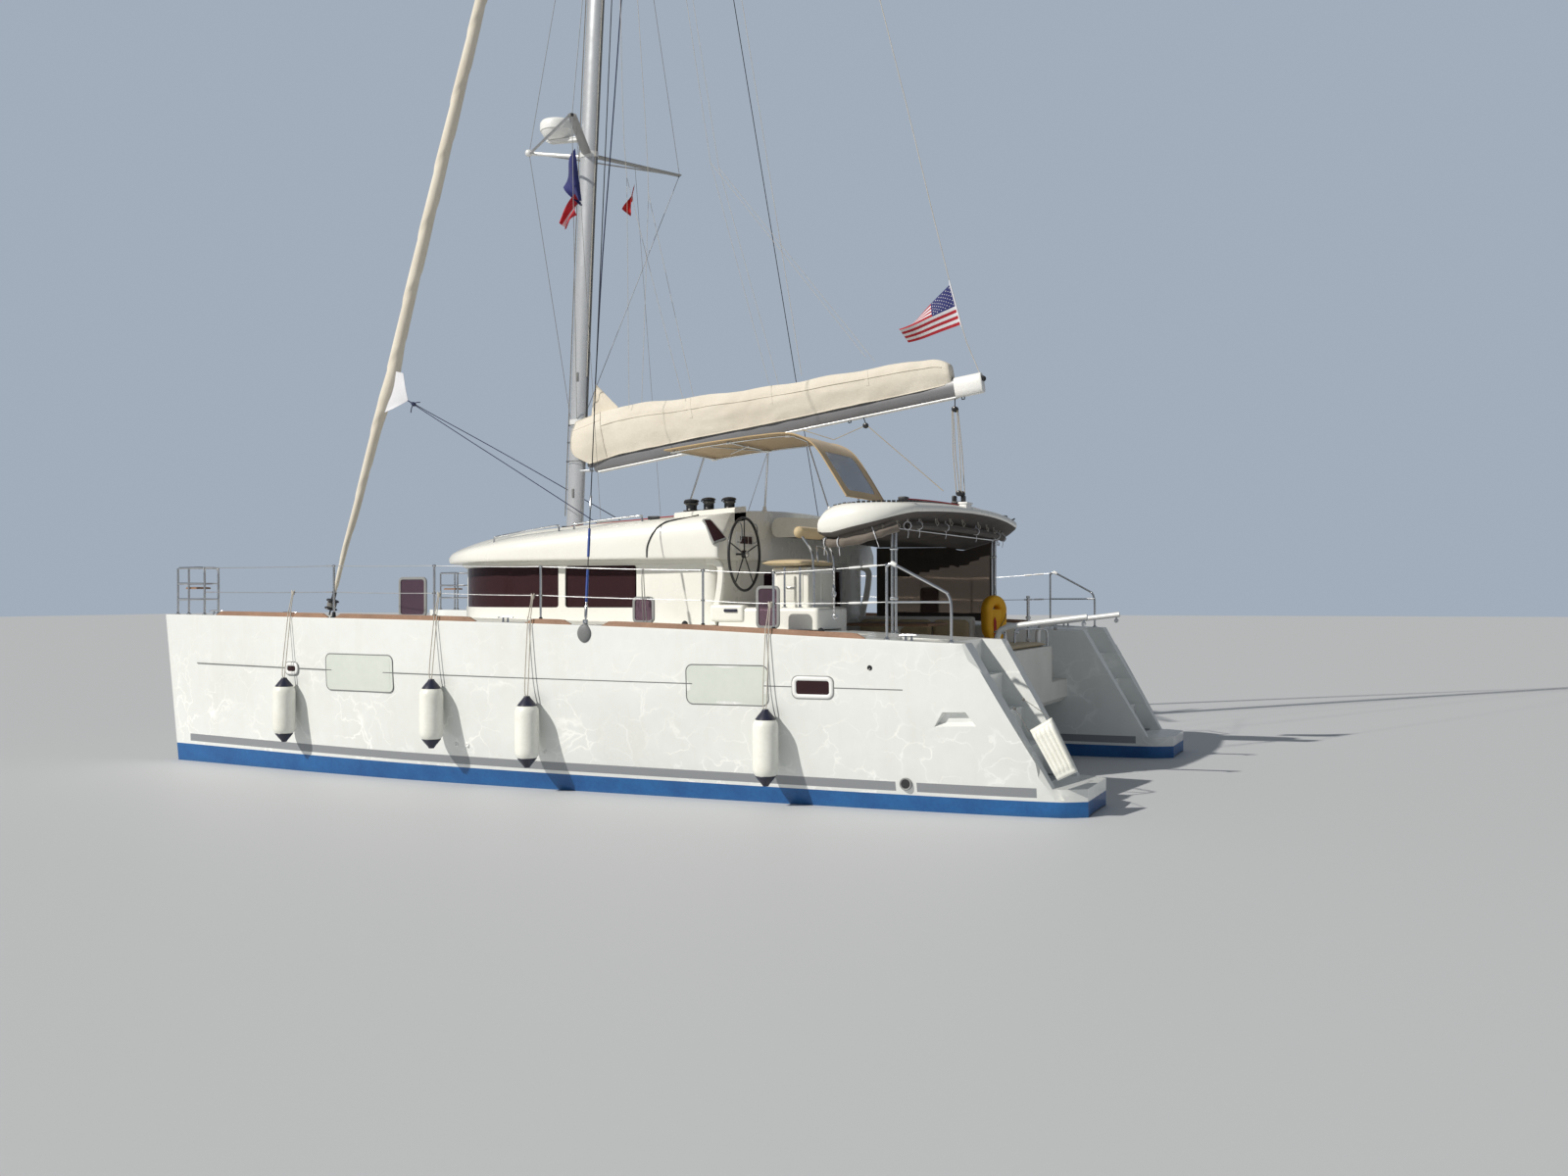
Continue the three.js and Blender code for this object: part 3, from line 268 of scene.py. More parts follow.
def newFinish(name):
    made = bpy.data.materials.new(name)
    made.use_nodes = True
    w = Wires(made.node_tree)
    shader = made.node_tree.nodes["Principled BSDF"]
    place = w.node("ShaderNodeTexCoord")
    return made, w, shader, place


def useGroup(w, name, inputs):
    made = w.node("ShaderNodeGroup")
    made.node_tree = groups[name]
    for key, value in inputs.items():
        if isinstance(value, bpy.types.NodeSocket):
            w.join(value, made.inputs[key])
        else:
            made.inputs[key].default_value = value
    return made


def rgb(red, green, blue):
    # screen colour, 0 to 255, as a linear colour
    return tuple(((c / 255 + 0.055) / 1.055) ** 2.4 if c > 10 else c / 3294.6 for c in (red, green, blue)) + (1,)


# what a user would change on the plain finishes: tone, second tone, roughness, relief and so on
finishes = {
    "gelcoat": {"tone": rgb(241, 240, 233), "other": rgb(228, 226, 216), "cloud": 0.9, "speckle": 9, "amount": 0.5,
                "rough": (0.20, 0.34), "grain": 5, "relief": 0.04, "coat": 0.35},
    "deckPaint": {"tone": rgb(232, 231, 223), "other": rgb(214, 212, 202), "cloud": 2.5, "speckle": 60, "amount": 0.6,
                  "rough": (0.5, 0.7), "grain": 420, "relief": 0.35, "coat": 0.0},
    # gelcoat darkened as painted shade, for the band under the roof edge
    "underLip": {"tone": rgb(214, 213, 206), "other": rgb(200, 198, 190), "cloud": 1.2, "speckle": 12, "amount": 0.5,
                 "rough": (0.35, 0.5), "grain": 40, "relief": 0.05, "coat": 0.1},
    "aluminium": {"tone": rgb(222, 224, 226), "other": rgb(196, 199, 203), "cloud": 2, "speckle": 60, "amount": 0.6,
                  "rough": (0.28, 0.42), "grain": 220, "stretch": (1, 1, 0.02), "relief": 0.08, "metal": 0.55,
                  "coat": 0.15},
    "spar": {"tone": rgb(236, 236, 234), "other": rgb(214, 215, 216), "cloud": 1.4, "speckle": 30, "amount": 0.5,
             "rough": (0.28, 0.4), "grain": 150, "stretch": (1, 1, 0.03), "relief": 0.06, "metal": 0.2, "coat": 0.2},
    "mastAlloy": {"tone": rgb(214, 216, 219), "other": rgb(176, 180, 186), "cloud": 1.2, "speckle": 9, "amount": 0.6,
                  "rough": (0.22, 0.34), "grain": 90, "stretch": (1, 1, 0.01), "relief": 0.03, "metal": 0.5,
                  "coat": 0.15},
    # grey alloy of the boom, darkened further as painted shade from the sail bag above it
    "boomGreyAndShade": {"tone": rgb(126, 126, 129), "other": rgb(106, 106, 110), "cloud": 1.2, "speckle": 30, "amount": 0.6,
                  "rough": (0.36, 0.5), "grain": 150, "stretch": (0.03, 1, 1), "relief": 0.06, "metal": 0.25,
                  "coat": 0.05},
    "steel": {"tone": rgb(214, 216, 218), "other": rgb(176, 178, 182), "cloud": 5, "speckle": 90, "amount": 0.5,
              "rough": (0.12, 0.26), "grain": 300, "relief": 0.03, "metal": 1.0, "coat": 0.0},
    "wire": {"tone": rgb(190, 191, 192), "other": rgb(150, 151, 153), "cloud": 9, "speckle": 200, "amount": 0.6,
             "rough": (0.3, 0.45), "grain": 500, "relief": 0.1, "metal": 0.8, "coat": 0.0},
    "black": {"tone": rgb(26, 27, 30), "other": rgb(44, 45, 48), "cloud": 6, "speckle": 70, "amount": 0.5,
              "rough": (0.3, 0.5), "grain": 260, "relief": 0.06, "coat": 0.15},
    "rubber": {"tone": rgb(34, 36, 44), "other": rgb(56, 58, 66), "cloud": 8, "speckle": 60, "amount": 0.5,
               "rough": (0.5, 0.7), "grain": 180, "relief": 0.1, "coat": 0.0},
    "teak": {"tone": rgb(160, 124, 100), "other": rgb(126, 98, 78), "cloud": 3, "speckle": 45, "amount": 0.8,
             "rough": (0.5, 0.7), "grain": 60, "stretch": (0.06, 1, 1), "relief": 0.25, "coat": 0.0},
    "fender": {"tone": rgb(240, 240, 232), "other": rgb(214, 212, 198), "cloud": 4, "speckle": 30, "amount": 0.45,
               "rough": (0.3, 0.45), "grain": 120, "relief": 0.05, "coat": 0.2},
    "fenderCap": {"tone": rgb(32, 34, 58), "other": rgb(22, 23, 36), "cloud": 8, "speckle": 60, "amount": 0.6,
                  "rough": (0.35, 0.5), "grain": 120, "relief": 0.05, "coat": 0.1},
    "bronze": {"tone": rgb(150, 122, 78), "other": rgb(96, 92, 66), "cloud": 12, "speckle": 90, "amount": 0.8,
               "rough": (0.35, 0.6), "grain": 90, "relief": 0.15, "metal": 0.9, "coat": 0.0},
    "iron": {"tone": rgb(124, 130, 134), "other": rgb(98, 102, 106), "cloud": 6, "speckle": 60, "amount": 0.6,
             "rough": (0.45, 0.65), "grain": 160, "relief": 0.15, "metal": 0.0, "coat": 0.0},
    "mouldedGrey": {"tone": rgb(150, 151, 150), "other": rgb(128, 129, 128), "cloud": 4, "speckle": 60, "amount": 0.5,
                    "rough": (0.4, 0.55), "grain": 200, "relief": 0.06, "coat": 0.0},
    "seam": {"tone": rgb(118, 120, 120), "other": rgb(90, 92, 92), "cloud": 6, "speckle": 60, "amount": 0.5,
             "rough": (0.5, 0.65), "grain": 200, "relief": 0.05, "coat": 0.0},
    # dark brown-grey for the underside of the hardtop: painted shade over its white gelcoat
    "hardtopUnderShade": {"tone": rgb(96, 90, 86), "other": rgb(74, 70, 68), "cloud": 3, "speckle": 60, "amount": 0.5,
                  "rough": (0.75, 0.9), "grain": 300, "relief": 0.12, "coat": 0.0},
    "hullPane": {"tone": rgb(214, 219, 211), "other": rgb(204, 210, 201), "cloud": 1.6, "speckle": 14, "amount": 0.7,
                 "rough": (0.12, 0.2), "grain": 60, "relief": 0.01, "coat": 0.5},
    "yellow": {"tone": rgb(255, 192, 30), "other": rgb(240, 164, 16), "cloud": 7, "speckle": 60, "amount": 0.6,
               "rough": (0.5, 0.65), "grain": 160, "relief": 0.1, "coat": 0.0},
    "red": {"tone": rgb(196, 34, 34), "other": rgb(150, 22, 26), "cloud": 7, "speckle": 60, "amount": 0.6,
            "rough": (0.5, 0.65), "grain": 160, "relief": 0.08, "coat": 0.0},
    "blueSleeve": {"tone": rgb(40, 74, 150), "other": rgb(28, 54, 116), "cloud": 7, "speckle": 60, "amount": 0.6,
                   "rough": (0.35, 0.5), "grain": 160, "relief": 0.05, "coat": 0.1},
    "whitePlastic": {"tone": rgb(240, 240, 238), "other": rgb(222, 222, 218), "cloud": 6, "speckle": 60, "amount": 0.4,
                     "rough": (0.3, 0.42), "grain": 160, "relief": 0.03, "coat": 0.1},
}


def makeFinish(name, tone, other, cloud, speckle, amount, rough, grain, relief, coat, stretch=(1, 1, 1), metal=0.0):
    made, w, shader, place = newFinish(name)
    spot = place.outputs["Object"]
    colour = useGroup(w, "tone", {"Vector": spot, "Tone": tone, "Other": other, "Cloud": float(cloud),
                                  "Speckle": float(speckle), "Amount": amount})
    height = useGroup(w, "grain", {"Vector": spot, "Scale": float(grain), "Stretch": stretch})
    w.join(colour.outputs["Color"], shader.inputs["Base Color"])
    w.join(w.remap(colour.outputs["Mask"], 0.0, 1.0, *rough), shader.inputs["Roughness"])
    bump = w.node("ShaderNodeBump", {"Height": height.outputs["Height"], "Strength": relief, "Distance": 0.01})
    w.join(bump.outputs[0], shader.inputs["Normal"])
    shader.inputs["Metallic"].default_value = metal
    shader.inputs["Coat Weight"].default_value = coat
    shader.inputs["Coat Roughness"].default_value = 0.08
    return made


paint = {name: makeFinish(name, **look) for name, look in finishes.items()}

# hull paint: white topsides with a painted net of rippled light from the water over them, grey boot stripe, blue below,
# by height over the water and distance along
hullPaint = {"white": rgb(231, 233, 230), "whiteDull": rgb(220, 221, 217), "bright": rgb(253, 253, 250),
             "stripe": rgb(138, 141, 145), "gapAt": (-4.25, 0.27), "gapWide": 0.105,
             "blue": rgb(26, 98, 160), "blueDull": rgb(18, 74, 132), "slime": rgb(52, 88, 96),
             "blueTop": 0.185, "blueRise": 0.006, "stripeLow": 0.222, "stripeRise": 0.0065, "stripeTall": 0.092,
             "stripeFore": 5.50, "stripeAft": -5.50}


def makeHullPaint():
    look = hullPaint
    made, w, shader, place = newFinish("hullPaint")
    spot = place.outputs["Object"]
    parts = w.node("ShaderNodeSeparateXYZ", {0: spot})
    x, z = parts.outputs["X"], parts.outputs["Z"]
    white = useGroup(w, "tone", {"Vector": spot, "Tone": look["white"], "Other": look["whiteDull"], "Cloud": 0.8,
                                 "Speckle": 7.0, "Amount": 0.55})
    runs = useGroup(w, "streaks", {"Vector": spot, "Scale": 5.0, "Length": 0.1})
    weatheredAndLit = w.mix(w.maths("MULTIPLY", runs.outputs["Mask"], 0.14), white.outputs["Color"], rgb(208, 205, 194))
    # painted light: a net of bright ripples, stronger low on the hull, as the water throws light up on the white; the
    # streaks before it are real weathering
    net = useGroup(w, "ripples", {"Vector": spot, "Scale": 3.1, "Line": 0.062})
    low = w.remap(z, 1.75, 0.35, 0.2, 1.0)
    weatheredAndLit = w.mix(w.maths("MULTIPLY", net.outputs["Mask"], low), weatheredAndLit, look["bright"])
    blue = useGroup(w, "tone", {"Vector": spot, "Tone": look["blue"], "Other": look["blueDull"], "Cloud": 3.0,
                                "Speckle": 26.0, "Amount": 0.8})
    below = w.remap(w.maths("ADD", z, w.maths("MULTIPLY", blue.outputs["Mask"], 0.05)), 0.06, -0.03)
    bottom = w.mix(w.maths("MULTIPLY", below, 0.45), blue.outputs["Color"], look["slime"])
    level = w.maths("SUBTRACT", z, w.maths("MULTIPLY", x, look["stripeRise"]))
    inside = w.maths("MULTIPLY", w.maths("GREATER_THAN", level, look["stripeLow"]),
                     w.maths("LESS_THAN", level, look["stripeLow"] + look["stripeTall"]))
    ends = w.maths("MULTIPLY", w.maths("LESS_THAN", x, look["stripeFore"]),
                   w.maths("GREATER_THAN", x, look["stripeAft"]))
    clear = w.maths("GREATER_THAN", w.maths("ABSOLUTE", w.maths("SUBTRACT", x, look["gapAt"][0])), look["gapWide"])
    striped = w.mix(w.maths("MULTIPLY", w.maths("MULTIPLY", inside, ends), clear), weatheredAndLit, look["stripe"])
    wet = w.maths("SUBTRACT", z, w.maths("MULTIPLY", x, look["blueRise"]))
    isBlue = w.maths("LESS_THAN", wet, look["blueTop"])
    w.join(w.mix(isBlue, striped, bottom), shader.inputs["Base Color"])
    rough = w.maths("ADD", w.maths("MULTIPLY", isBlue, 0.36), w.remap(white.outputs["Mask"], 0.0, 1.0, 0.17, 0.28))
    w.join(rough, shader.inputs["Roughness"])
    ripple = useGroup(w, "grain", {"Vector": spot, "Scale": 3.0, "Stretch": (1, 1, 0.6)})
    bump = w.node("ShaderNodeBump", {"Height": ripple.outputs["Height"], "Strength": 0.05, "Distance": 0.02})
    w.join(bump.outputs[0], shader.inputs["Normal"])
    shader.inputs["Coat Weight"].default_value = 0.2
    return made


paint["hull"] = makeHullPaint()

cloths = {
    "sailcloth": {"tone": rgb(230, 223, 208), "other": rgb(210, 199, 181), "threads": 1400, "rough": 0.85,
                  "sheen": 0.15},
    "bagCloth": {"tone": rgb(229, 222, 208), "other": rgb(213, 204, 188), "threads": 1100, "rough": 0.85, "sheen": 0.2},
    "canvas": {"tone": rgb(198, 172, 132), "other": rgb(172, 146, 106), "threads": 1000, "rough": 0.9, "sheen": 0.2},
    "curtain": {"tone": rgb(78, 70, 62), "other": rgb(56, 50, 45), "threads": 1500, "rough": 0.85, "sheen": 0.15},
    "rolledCurtain": {"tone": rgb(126, 116, 106), "other": rgb(98, 90, 82), "threads": 1500, "rough": 0.85,
                      "sheen": 0.15},
    "cushion": {"tone": rgb(205, 186, 150), "other": rgb(184, 164, 128), "threads": 800, "rough": 0.75, "sheen": 0.15},
    "settee": {"tone": rgb(122, 84, 70), "other": rgb(98, 64, 54), "threads": 800, "rough": 0.85, "sheen": 0.1},
    "flagRed": {"tone": rgb(190, 30, 46), "other": rgb(150, 20, 36), "threads": 1800, "rough": 0.8, "sheen": 0.1},
    "flagBlue": {"tone": rgb(38, 44, 116), "other": rgb(26, 30, 84), "threads": 1800, "rough": 0.8, "sheen": 0.1},
    "flagWhite": {"tone": rgb(232, 232, 236), "other": rgb(208, 208, 214), "threads": 1800, "rough": 0.8, "sheen": 0.1},
}


def makeCloth(name, tone, other, threads, rough, sheen):
    made, w, shader, place = newFinish(name)
    spot = place.outputs["Object"]
    weave = useGroup(w, "weave", {"Vector": spot, "Threads": float(threads)})
    colour = useGroup(w, "tone", {"Vector": spot, "Tone": tone, "Other": other, "Cloud": 2.2, "Speckle": 50.0,
                                  "Amount": 0.7})
    shaded = w.mix(w.maths("MULTIPLY", weave.outputs["Height"], 0.22), colour.outputs["Color"], other)
    w.join(shaded, shader.inputs["Base Color"])
    w.join(w.remap(weave.outputs["Mask"], 0.0, 1.0, rough - 0.08, rough), shader.inputs["Roughness"])
    folds = useGroup(w, "grain", {"Vector": spot, "Scale": 9.0})
    height = w.maths("MULTIPLY_ADD", weave.outputs["Height"], 0.08, folds.outputs["Height"])
    bump = w.node("ShaderNodeBump", {"Height": height, "Strength": 0.3, "Distance": 0.02})
    w.join(bump.outputs[0], shader.inputs["Normal"])
    shader.inputs["Sheen Weight"].default_value = sheen
    return made


paint.update({name: makeCloth(name, **look) for name, look in cloths.items()})

ropes = {
    "ropeWhite": {"tone": rgb(214, 208, 196), "dark": rgb(150, 142, 128), "lay": 45},
    "ropeNavy": {"tone": rgb(38, 48, 84), "dark": rgb(18, 22, 42), "lay": 45},
    "ropeGrey": {"tone": rgb(150, 148, 144), "dark": rgb(96, 94, 90), "lay": 55},
    "ropeBlack": {"tone": rgb(40, 41, 48), "dark": rgb(20, 20, 26), "lay": 55},
    "ropeTan": {"tone": rgb(196, 180, 150), "dark": rgb(130, 112, 84), "lay": 50},
    "ropeRed": {"tone": rgb(176, 44, 46), "dark": rgb(110, 22, 26), "lay": 50},
}


def makeRope(name, tone, dark, lay):
    made, w, shader, place = newFinish(name)
    strands = useGroup(w, "twist", {"UV": place.outputs["UV"], "Lay": float(lay)})
    dusty = useGroup(w, "tone", {"Vector": place.outputs["Object"], "Tone": tone, "Other": dark, "Cloud": 6.0,
                                 "Speckle": 80.0, "Amount": 0.35})
    # the grooves between the strands are darkened towards the dark tone: painted shade between the strands
    w.join(w.mix(w.remap(strands.outputs["Height"], 0.0, 0.5), dark, dusty.outputs["Color"]),
           shader.inputs["Base Color"])
    w.join(w.remap(dusty.outputs["Mask"], 0.0, 1.0, 0.7, 0.85), shader.inputs["Roughness"])
    bump = w.node("ShaderNodeBump", {"Height": strands.outputs["Height"], "Strength": 0.6, "Distance": 0.003})
    w.join(bump.outputs[0], shader.inputs["Normal"])
    return made


paint.update({name: makeRope(name, **look) for name, look in ropes.items()})

glasses = {
    "smokedGlass": {"tone": rgb(84, 58, 62), "rough": (0.02, 0.05), "through": 0.55},
    "hatchGlass": {"tone": rgb(120, 98, 112), "rough": (0.03, 0.07), "through": 0.6},
    "clearVinyl": {"tone": rgb(196, 202, 212), "rough": (0.10, 0.2), "through": 0.8},
    "curtainVinyl": {"tone": rgb(150, 132, 116), "rough": (0.12, 0.22), "through": 0.8},
    "portlight": {"tone": rgb(60, 40, 44), "rough": (0.03, 0.06), "through": 0.2},
}


def makeGlass(name, tone, rough, through):
    made, w, shader, place = newFinish(name)
    spot = place.outputs["Object"]
    colour = useGroup(w, "tone", {"Vector": spot, "Tone": tone, "Other": tuple(c * 0.8 for c in tone[:3]) + (1,),
                                  "Cloud": 1.4, "Speckle": 12.0, "Amount": 0.4})
    w.join(colour.outputs["Color"], shader.inputs["Base Color"])
    w.join(w.remap(colour.outputs["Mask"], 0.0, 1.0, *rough), shader.inputs["Roughness"])
    sag = useGroup(w, "grain", {"Vector": spot, "Scale": 2.4})
    bump = w.node("ShaderNodeBump", {"Height": sag.outputs["Height"], "Strength": 0.04, "Distance": 0.03})
    w.join(bump.outputs[0], shader.inputs["Normal"])
    shader.inputs["Transmission Weight"].default_value = through
    shader.inputs["IOR"].default_value = 1.2
    return made


paint.update({name: makeGlass(name, **look) for name, look in glasses.items()})
print("finishes made:", len(paint))


# even steps round a circle, the first one again at the end where the ring has to close
def angles(count, close=0):
    return [2 * math.pi * k / count for k in range(count + close)]


# geometry of one piece, gathered in a bmesh with a map of round and lengthwise coordinates
class Part:
    def __init__(self):
        self.bm = bmesh.new()
        self.map = self.bm.loops.layers.uv.new("UVMap")
        self.look = 0

    def add(self, corners, spots=None):
        face = self.bm.faces.new(corners)
        face.material_index, face.smooth = self.look, True
        if spots:
            for loop, spot in zip(face.loops, spots):
                loop[self.map].uv = spot
        return face

    # quads between successive rings, closed round or open, with or without flat ends
    def skin(self, rings, closed=True, caps=(True, True), lengths=None):
        grid = [[self.bm.verts.new(p) for p in ring] for ring in rings]
        count = len(grid[0])
        lengths = lengths or list(range(len(grid)))
        for i in range(len(grid) - 1):
            for j in range(count if closed else count - 1):
                k = (j + 1) % count
                spots = [(j / count, lengths[i]), ((j + 1) / count, lengths[i]),
                         ((j + 1) / count, lengths[i + 1]), (j / count, lengths[i + 1])]
                self.add((grid[i][j], grid[i][k], grid[i + 1][k], grid[i + 1][j]), spots)
        for wanted, ring in zip(caps, (grid[0], grid[-1])):
            if wanted:
                self.add(ring)
        return grid

    def tube(self, path, radius, sides=8, caps=(True, True)):
        points = [Vector(p) for p in path]
        radii = radius if isinstance(radius, (list, tuple)) else [radius] * len(points)
        legs = [(b - a).normalized() for a, b in zip(points, points[1:])]
        across = legs[0].orthogonal().normalized()
        rings, lengths, run = [], [], 0.0
        for i, point in enumerate(points):
            before, after = legs[max(i - 1, 0)], legs[min(i, len(legs) - 1)]
            along = (before + after).normalized() if (before + after).length > 1e-6 else after
            across = (across - along * across.dot(along)).normalized()
            other = along.cross(across)
            stretch = 1 / max(0.6, along.dot(after))
            rings.append([point + (across * math.cos(a) + other * math.sin(a)) * radii[i] * stretch
                          for a in (2 * math.pi * j / sides for j in range(sides))])
            run += (point - points[i - 1]).length if i else 0
            lengths.append(run)
        self.skin(rings, caps=caps, lengths=lengths)

    # turned shape: rows of radius and height along an axis
    def lathe(self, rows, at, axis=(0, 0, 1), sides=24):
        turn = Vector((0, 0, 1)).rotation_difference(Vector(axis).normalized())
        place = lambda r, a, h: Vector(at) + turn @ Vector((r * math.cos(a), r * math.sin(a), h))
        solid = [row for row in rows if row[0] > 1e-5]
        rings = [[place(r, 2 * math.pi * j / sides, h) for j in range(sides)] for r, h in solid]
        grid = self.skin(rings, caps=(rows[0][0] > 1e-5, rows[-1][0] > 1e-5))
        for row, ring in ((rows[0], grid[0]), (rows[-1], grid[-1])):
            if row[0] <= 1e-5:
                pole = self.bm.verts.new(place(0, 0, row[1]))
                for j in range(sides):
                    self.add((ring[j], ring[(j + 1) % sides], pole))

    def block(self, low, high, edge=0.01, turn=None, at=(0, 0, 0), steps=2):
        low, high = Vector(low), Vector(high)
        size = high - low
        made = bmesh.ops.create_cube(self.bm, size=1.0)["verts"]
        for v in made:
            v.co = Vector((v.co.x * size.x, v.co.y * size.y, v.co.z * size.z)) + (low + high) / 2
        edges = list({e for v in made for e in v.link_edges})
        before = set(self.bm.faces)
        if edge > 0:
            bmesh.ops.bevel(self.bm, geom=edges, offset=min(edge, min(size) * 0.45), segments=steps, affect="EDGES",
                            profile=0.6)
        fresh = [f for f in self.bm.faces if f not in before] + [f for v in made if v.is_valid for f in v.link_faces]
        faces = set(fresh)
        corners = {v for f in faces for v in f.verts}
        for f in faces:
            f.material_index, f.smooth = self.look, True
        if turn is not None:
            for v in corners:
                v.co = turn @ v.co
        for v in corners:
            v.co += Vector(at)

    # closed slab between two grids of points of the same size
    def slab(self, top, under, closed=False):
        a = [[self.bm.verts.new(p) for p in row] for row in top]
        b = [[self.bm.verts.new(p) for p in row] for row in under]
        rows, cols = len(a), len(a[0])
        for i in range(rows - 1):
            for j in range(cols if closed else cols - 1):
                k = (j + 1) % cols
                spots = [(j / cols, i / rows), ((j + 1) / cols, i / rows), ((j + 1) / cols, (i + 1) / rows),
                         (j / cols, (i + 1) / rows)]
                self.add((a[i][j], a[i][k], a[i + 1][k], a[i + 1][j]), spots)
                self.add((b[i][j], b[i + 1][j], b[i + 1][k], b[i][k]))
        for j in range(cols if closed else cols - 1):
            k = (j + 1) % cols
            self.add((a[0][j], b[0][j], b[0][k], a[0][k]))
            self.add((a[-1][j], a[-1][k], b[-1][k], b[-1][j]))
        if not closed:
            for i in range(rows - 1):
                self.add((a[i][0], a[i + 1][0], b[i + 1][0], b[i][0]))
                self.add((a[i][-1], b[i][-1], b[i + 1][-1], a[i + 1][-1]))

    # flat outline pushed along a direction
    def prism(self, outline, push):
        low = [self.bm.verts.new(p) for p in outline]
        high = [self.bm.verts.new(Vector(p) + Vector(push)) for p in outline]
        self.add(low)
        self.add(high)
        for i in range(len(low)):
            k = (i + 1) % len(low)
            self.add((low[i], low[k], high[k], high[i]))


def toObject(name, part, looks, sharp=38):
    bmesh.ops.recalc_face_normals(part.bm, faces=part.bm.faces)
    mesh = bpy.data.meshes.new(name)
    part.bm.to_mesh(mesh)
    part.bm.free()
    for look in [looks] if isinstance(looks, str) else looks:
        mesh.materials.append(paint[look])
    mesh.set_sharp_from_angle(angle=math.radians(sharp))
    made = bpy.data.objects.new(name, mesh)
    scene.collection.objects.link(made)
    return made


def settle(made, body="boat", stands=()):
    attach(made, body)
    if stands:
        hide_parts(*([stands] if isinstance(stands, str) else stands))
    return made


def finish(name, part, looks, body="boat", stands=(), sharp=38):
    return settle(toObject(name, part, looks, sharp), body, stands)


# run the modifiers of a piece and keep the plain mesh
def plainMesh(made, sharp):
    plain = bpy.data.meshes.new_from_object(made.evaluated_get(bpy.context.evaluated_depsgraph_get()))
    made.modifiers.clear()
    made.data = plain
    plain.set_sharp_from_angle(angle=math.radians(sharp))
    return plain


def soften(made, width, segments, angle):
    edge = made.modifiers.new("soften", "BEVEL")
    edge.width, edge.segments, edge.limit_method, edge.angle_limit = width, segments, "ANGLE", math.radians(angle)
    plainMesh(made, 50)


# bare mesh object from a part, for a cutter or for an item that is set along a path
def bareTool(name, part):
    bmesh.ops.recalc_face_normals(part.bm, faces=part.bm.faces)
    mesh = bpy.data.meshes.new(name)
    part.bm.to_mesh(mesh)
    part.bm.free()
    tool = bpy.data.objects.new(name, mesh)
    scene.collection.objects.link(tool)
    return tool


# cut closed shapes out of a piece, then leave a plain mesh
def carve(made, cutters, sharp=38):
    tools = []
    for cutter in cutters:
        tool = bareTool("cutter", cutter)
        tool.data.materials.append(made.data.materials[0])
        tools.append(tool)
        cut = made.modifiers.new("cut", "BOOLEAN")
        cut.operation, cut.object, cut.solver = "DIFFERENCE", tool, "EXACT"
    plainMesh(made, sharp)
    for tool in tools:
        bpy.data.objects.remove(tool)
    return made


# second finish on the faces that the test picks by centre and normal
def lined(made, test, look):
    made.data.materials.append(paint[look])
    for face in made.data.polygons:
        if test(face.center, face.normal):
            face.material_index = len(made.data.materials) - 1


# smooth curve through a table of values that never overshoots between them
def through(xs, ys):
    n = len(xs)
    slopes = [(ys[i + 1] - ys[i]) / (xs[i + 1] - xs[i]) for i in range(n - 1)]
    tangents = [slopes[0]] + [0.0] * (n - 2) + [slopes[-1]]
    for i in range(1, n - 1):
        a, b = slopes[i - 1], slopes[i]
        tangents[i] = 0.0 if a * b <= 0 else 2 * a * b / (a + b)

    def at(x):
        i = 0
        while i < n - 2 and x > xs[i + 1]:
            i += 1
        h = xs[i + 1] - xs[i]
        t = (min(max(x, xs[0]), xs[-1]) - xs[i]) / h
        return ((1 + 2 * t) * (1 - t) ** 2 * ys[i] + t * (1 - t) ** 2 * h * tangents[i]
                + t * t * (3 - 2 * t) * ys[i + 1] + t * t * (t - 1) * h * tangents[i + 1])
    return at


# smooth path through points
def softPath(points, steps=8, closed=False):
    pts = [Vector(p) for p in points]
    n = len(pts)
    out = []
    for i in range(n if closed else n - 1):
        a = pts[(i - 1) % n] if closed or i else pts[0] * 2 - pts[1]
        b, c = pts[i], pts[(i + 1) % n]
        d = pts[(i + 2) % n] if closed or i + 2 < n else pts[-1] * 2 - pts[-2]
        for k in range(steps):
            t = k / steps
            out.append(0.5 * ((2 * b) + (c - a) * t + (2 * a - 5 * b + 4 * c - d) * t * t
                              + (3 * b - a - 3 * c + d) * t ** 3))
    if not closed:
        out.append(pts[-1].copy())
    return out


# direction of a path at one of its points
def heading(path, i):
    return (path[min(i + 1, len(path) - 1)] - path[max(i - 1, 0)]).normalized()


# rope hanging between two points, lower in the middle by the sag
def hanging(a, b, sag=0.02, steps=8):
    a, b = Vector(a), Vector(b)
    return [a.lerp(b, k / steps) - Vector((0, 0, 4 * sag * (k / steps) * (1 - k / steps))) for k in range(steps + 1)]


def mirrored(points, side):
    return [Vector((p[0], p[1] * side, p[2])) for p in points]


bothSides = (("port", 1), ("starboard", -1))

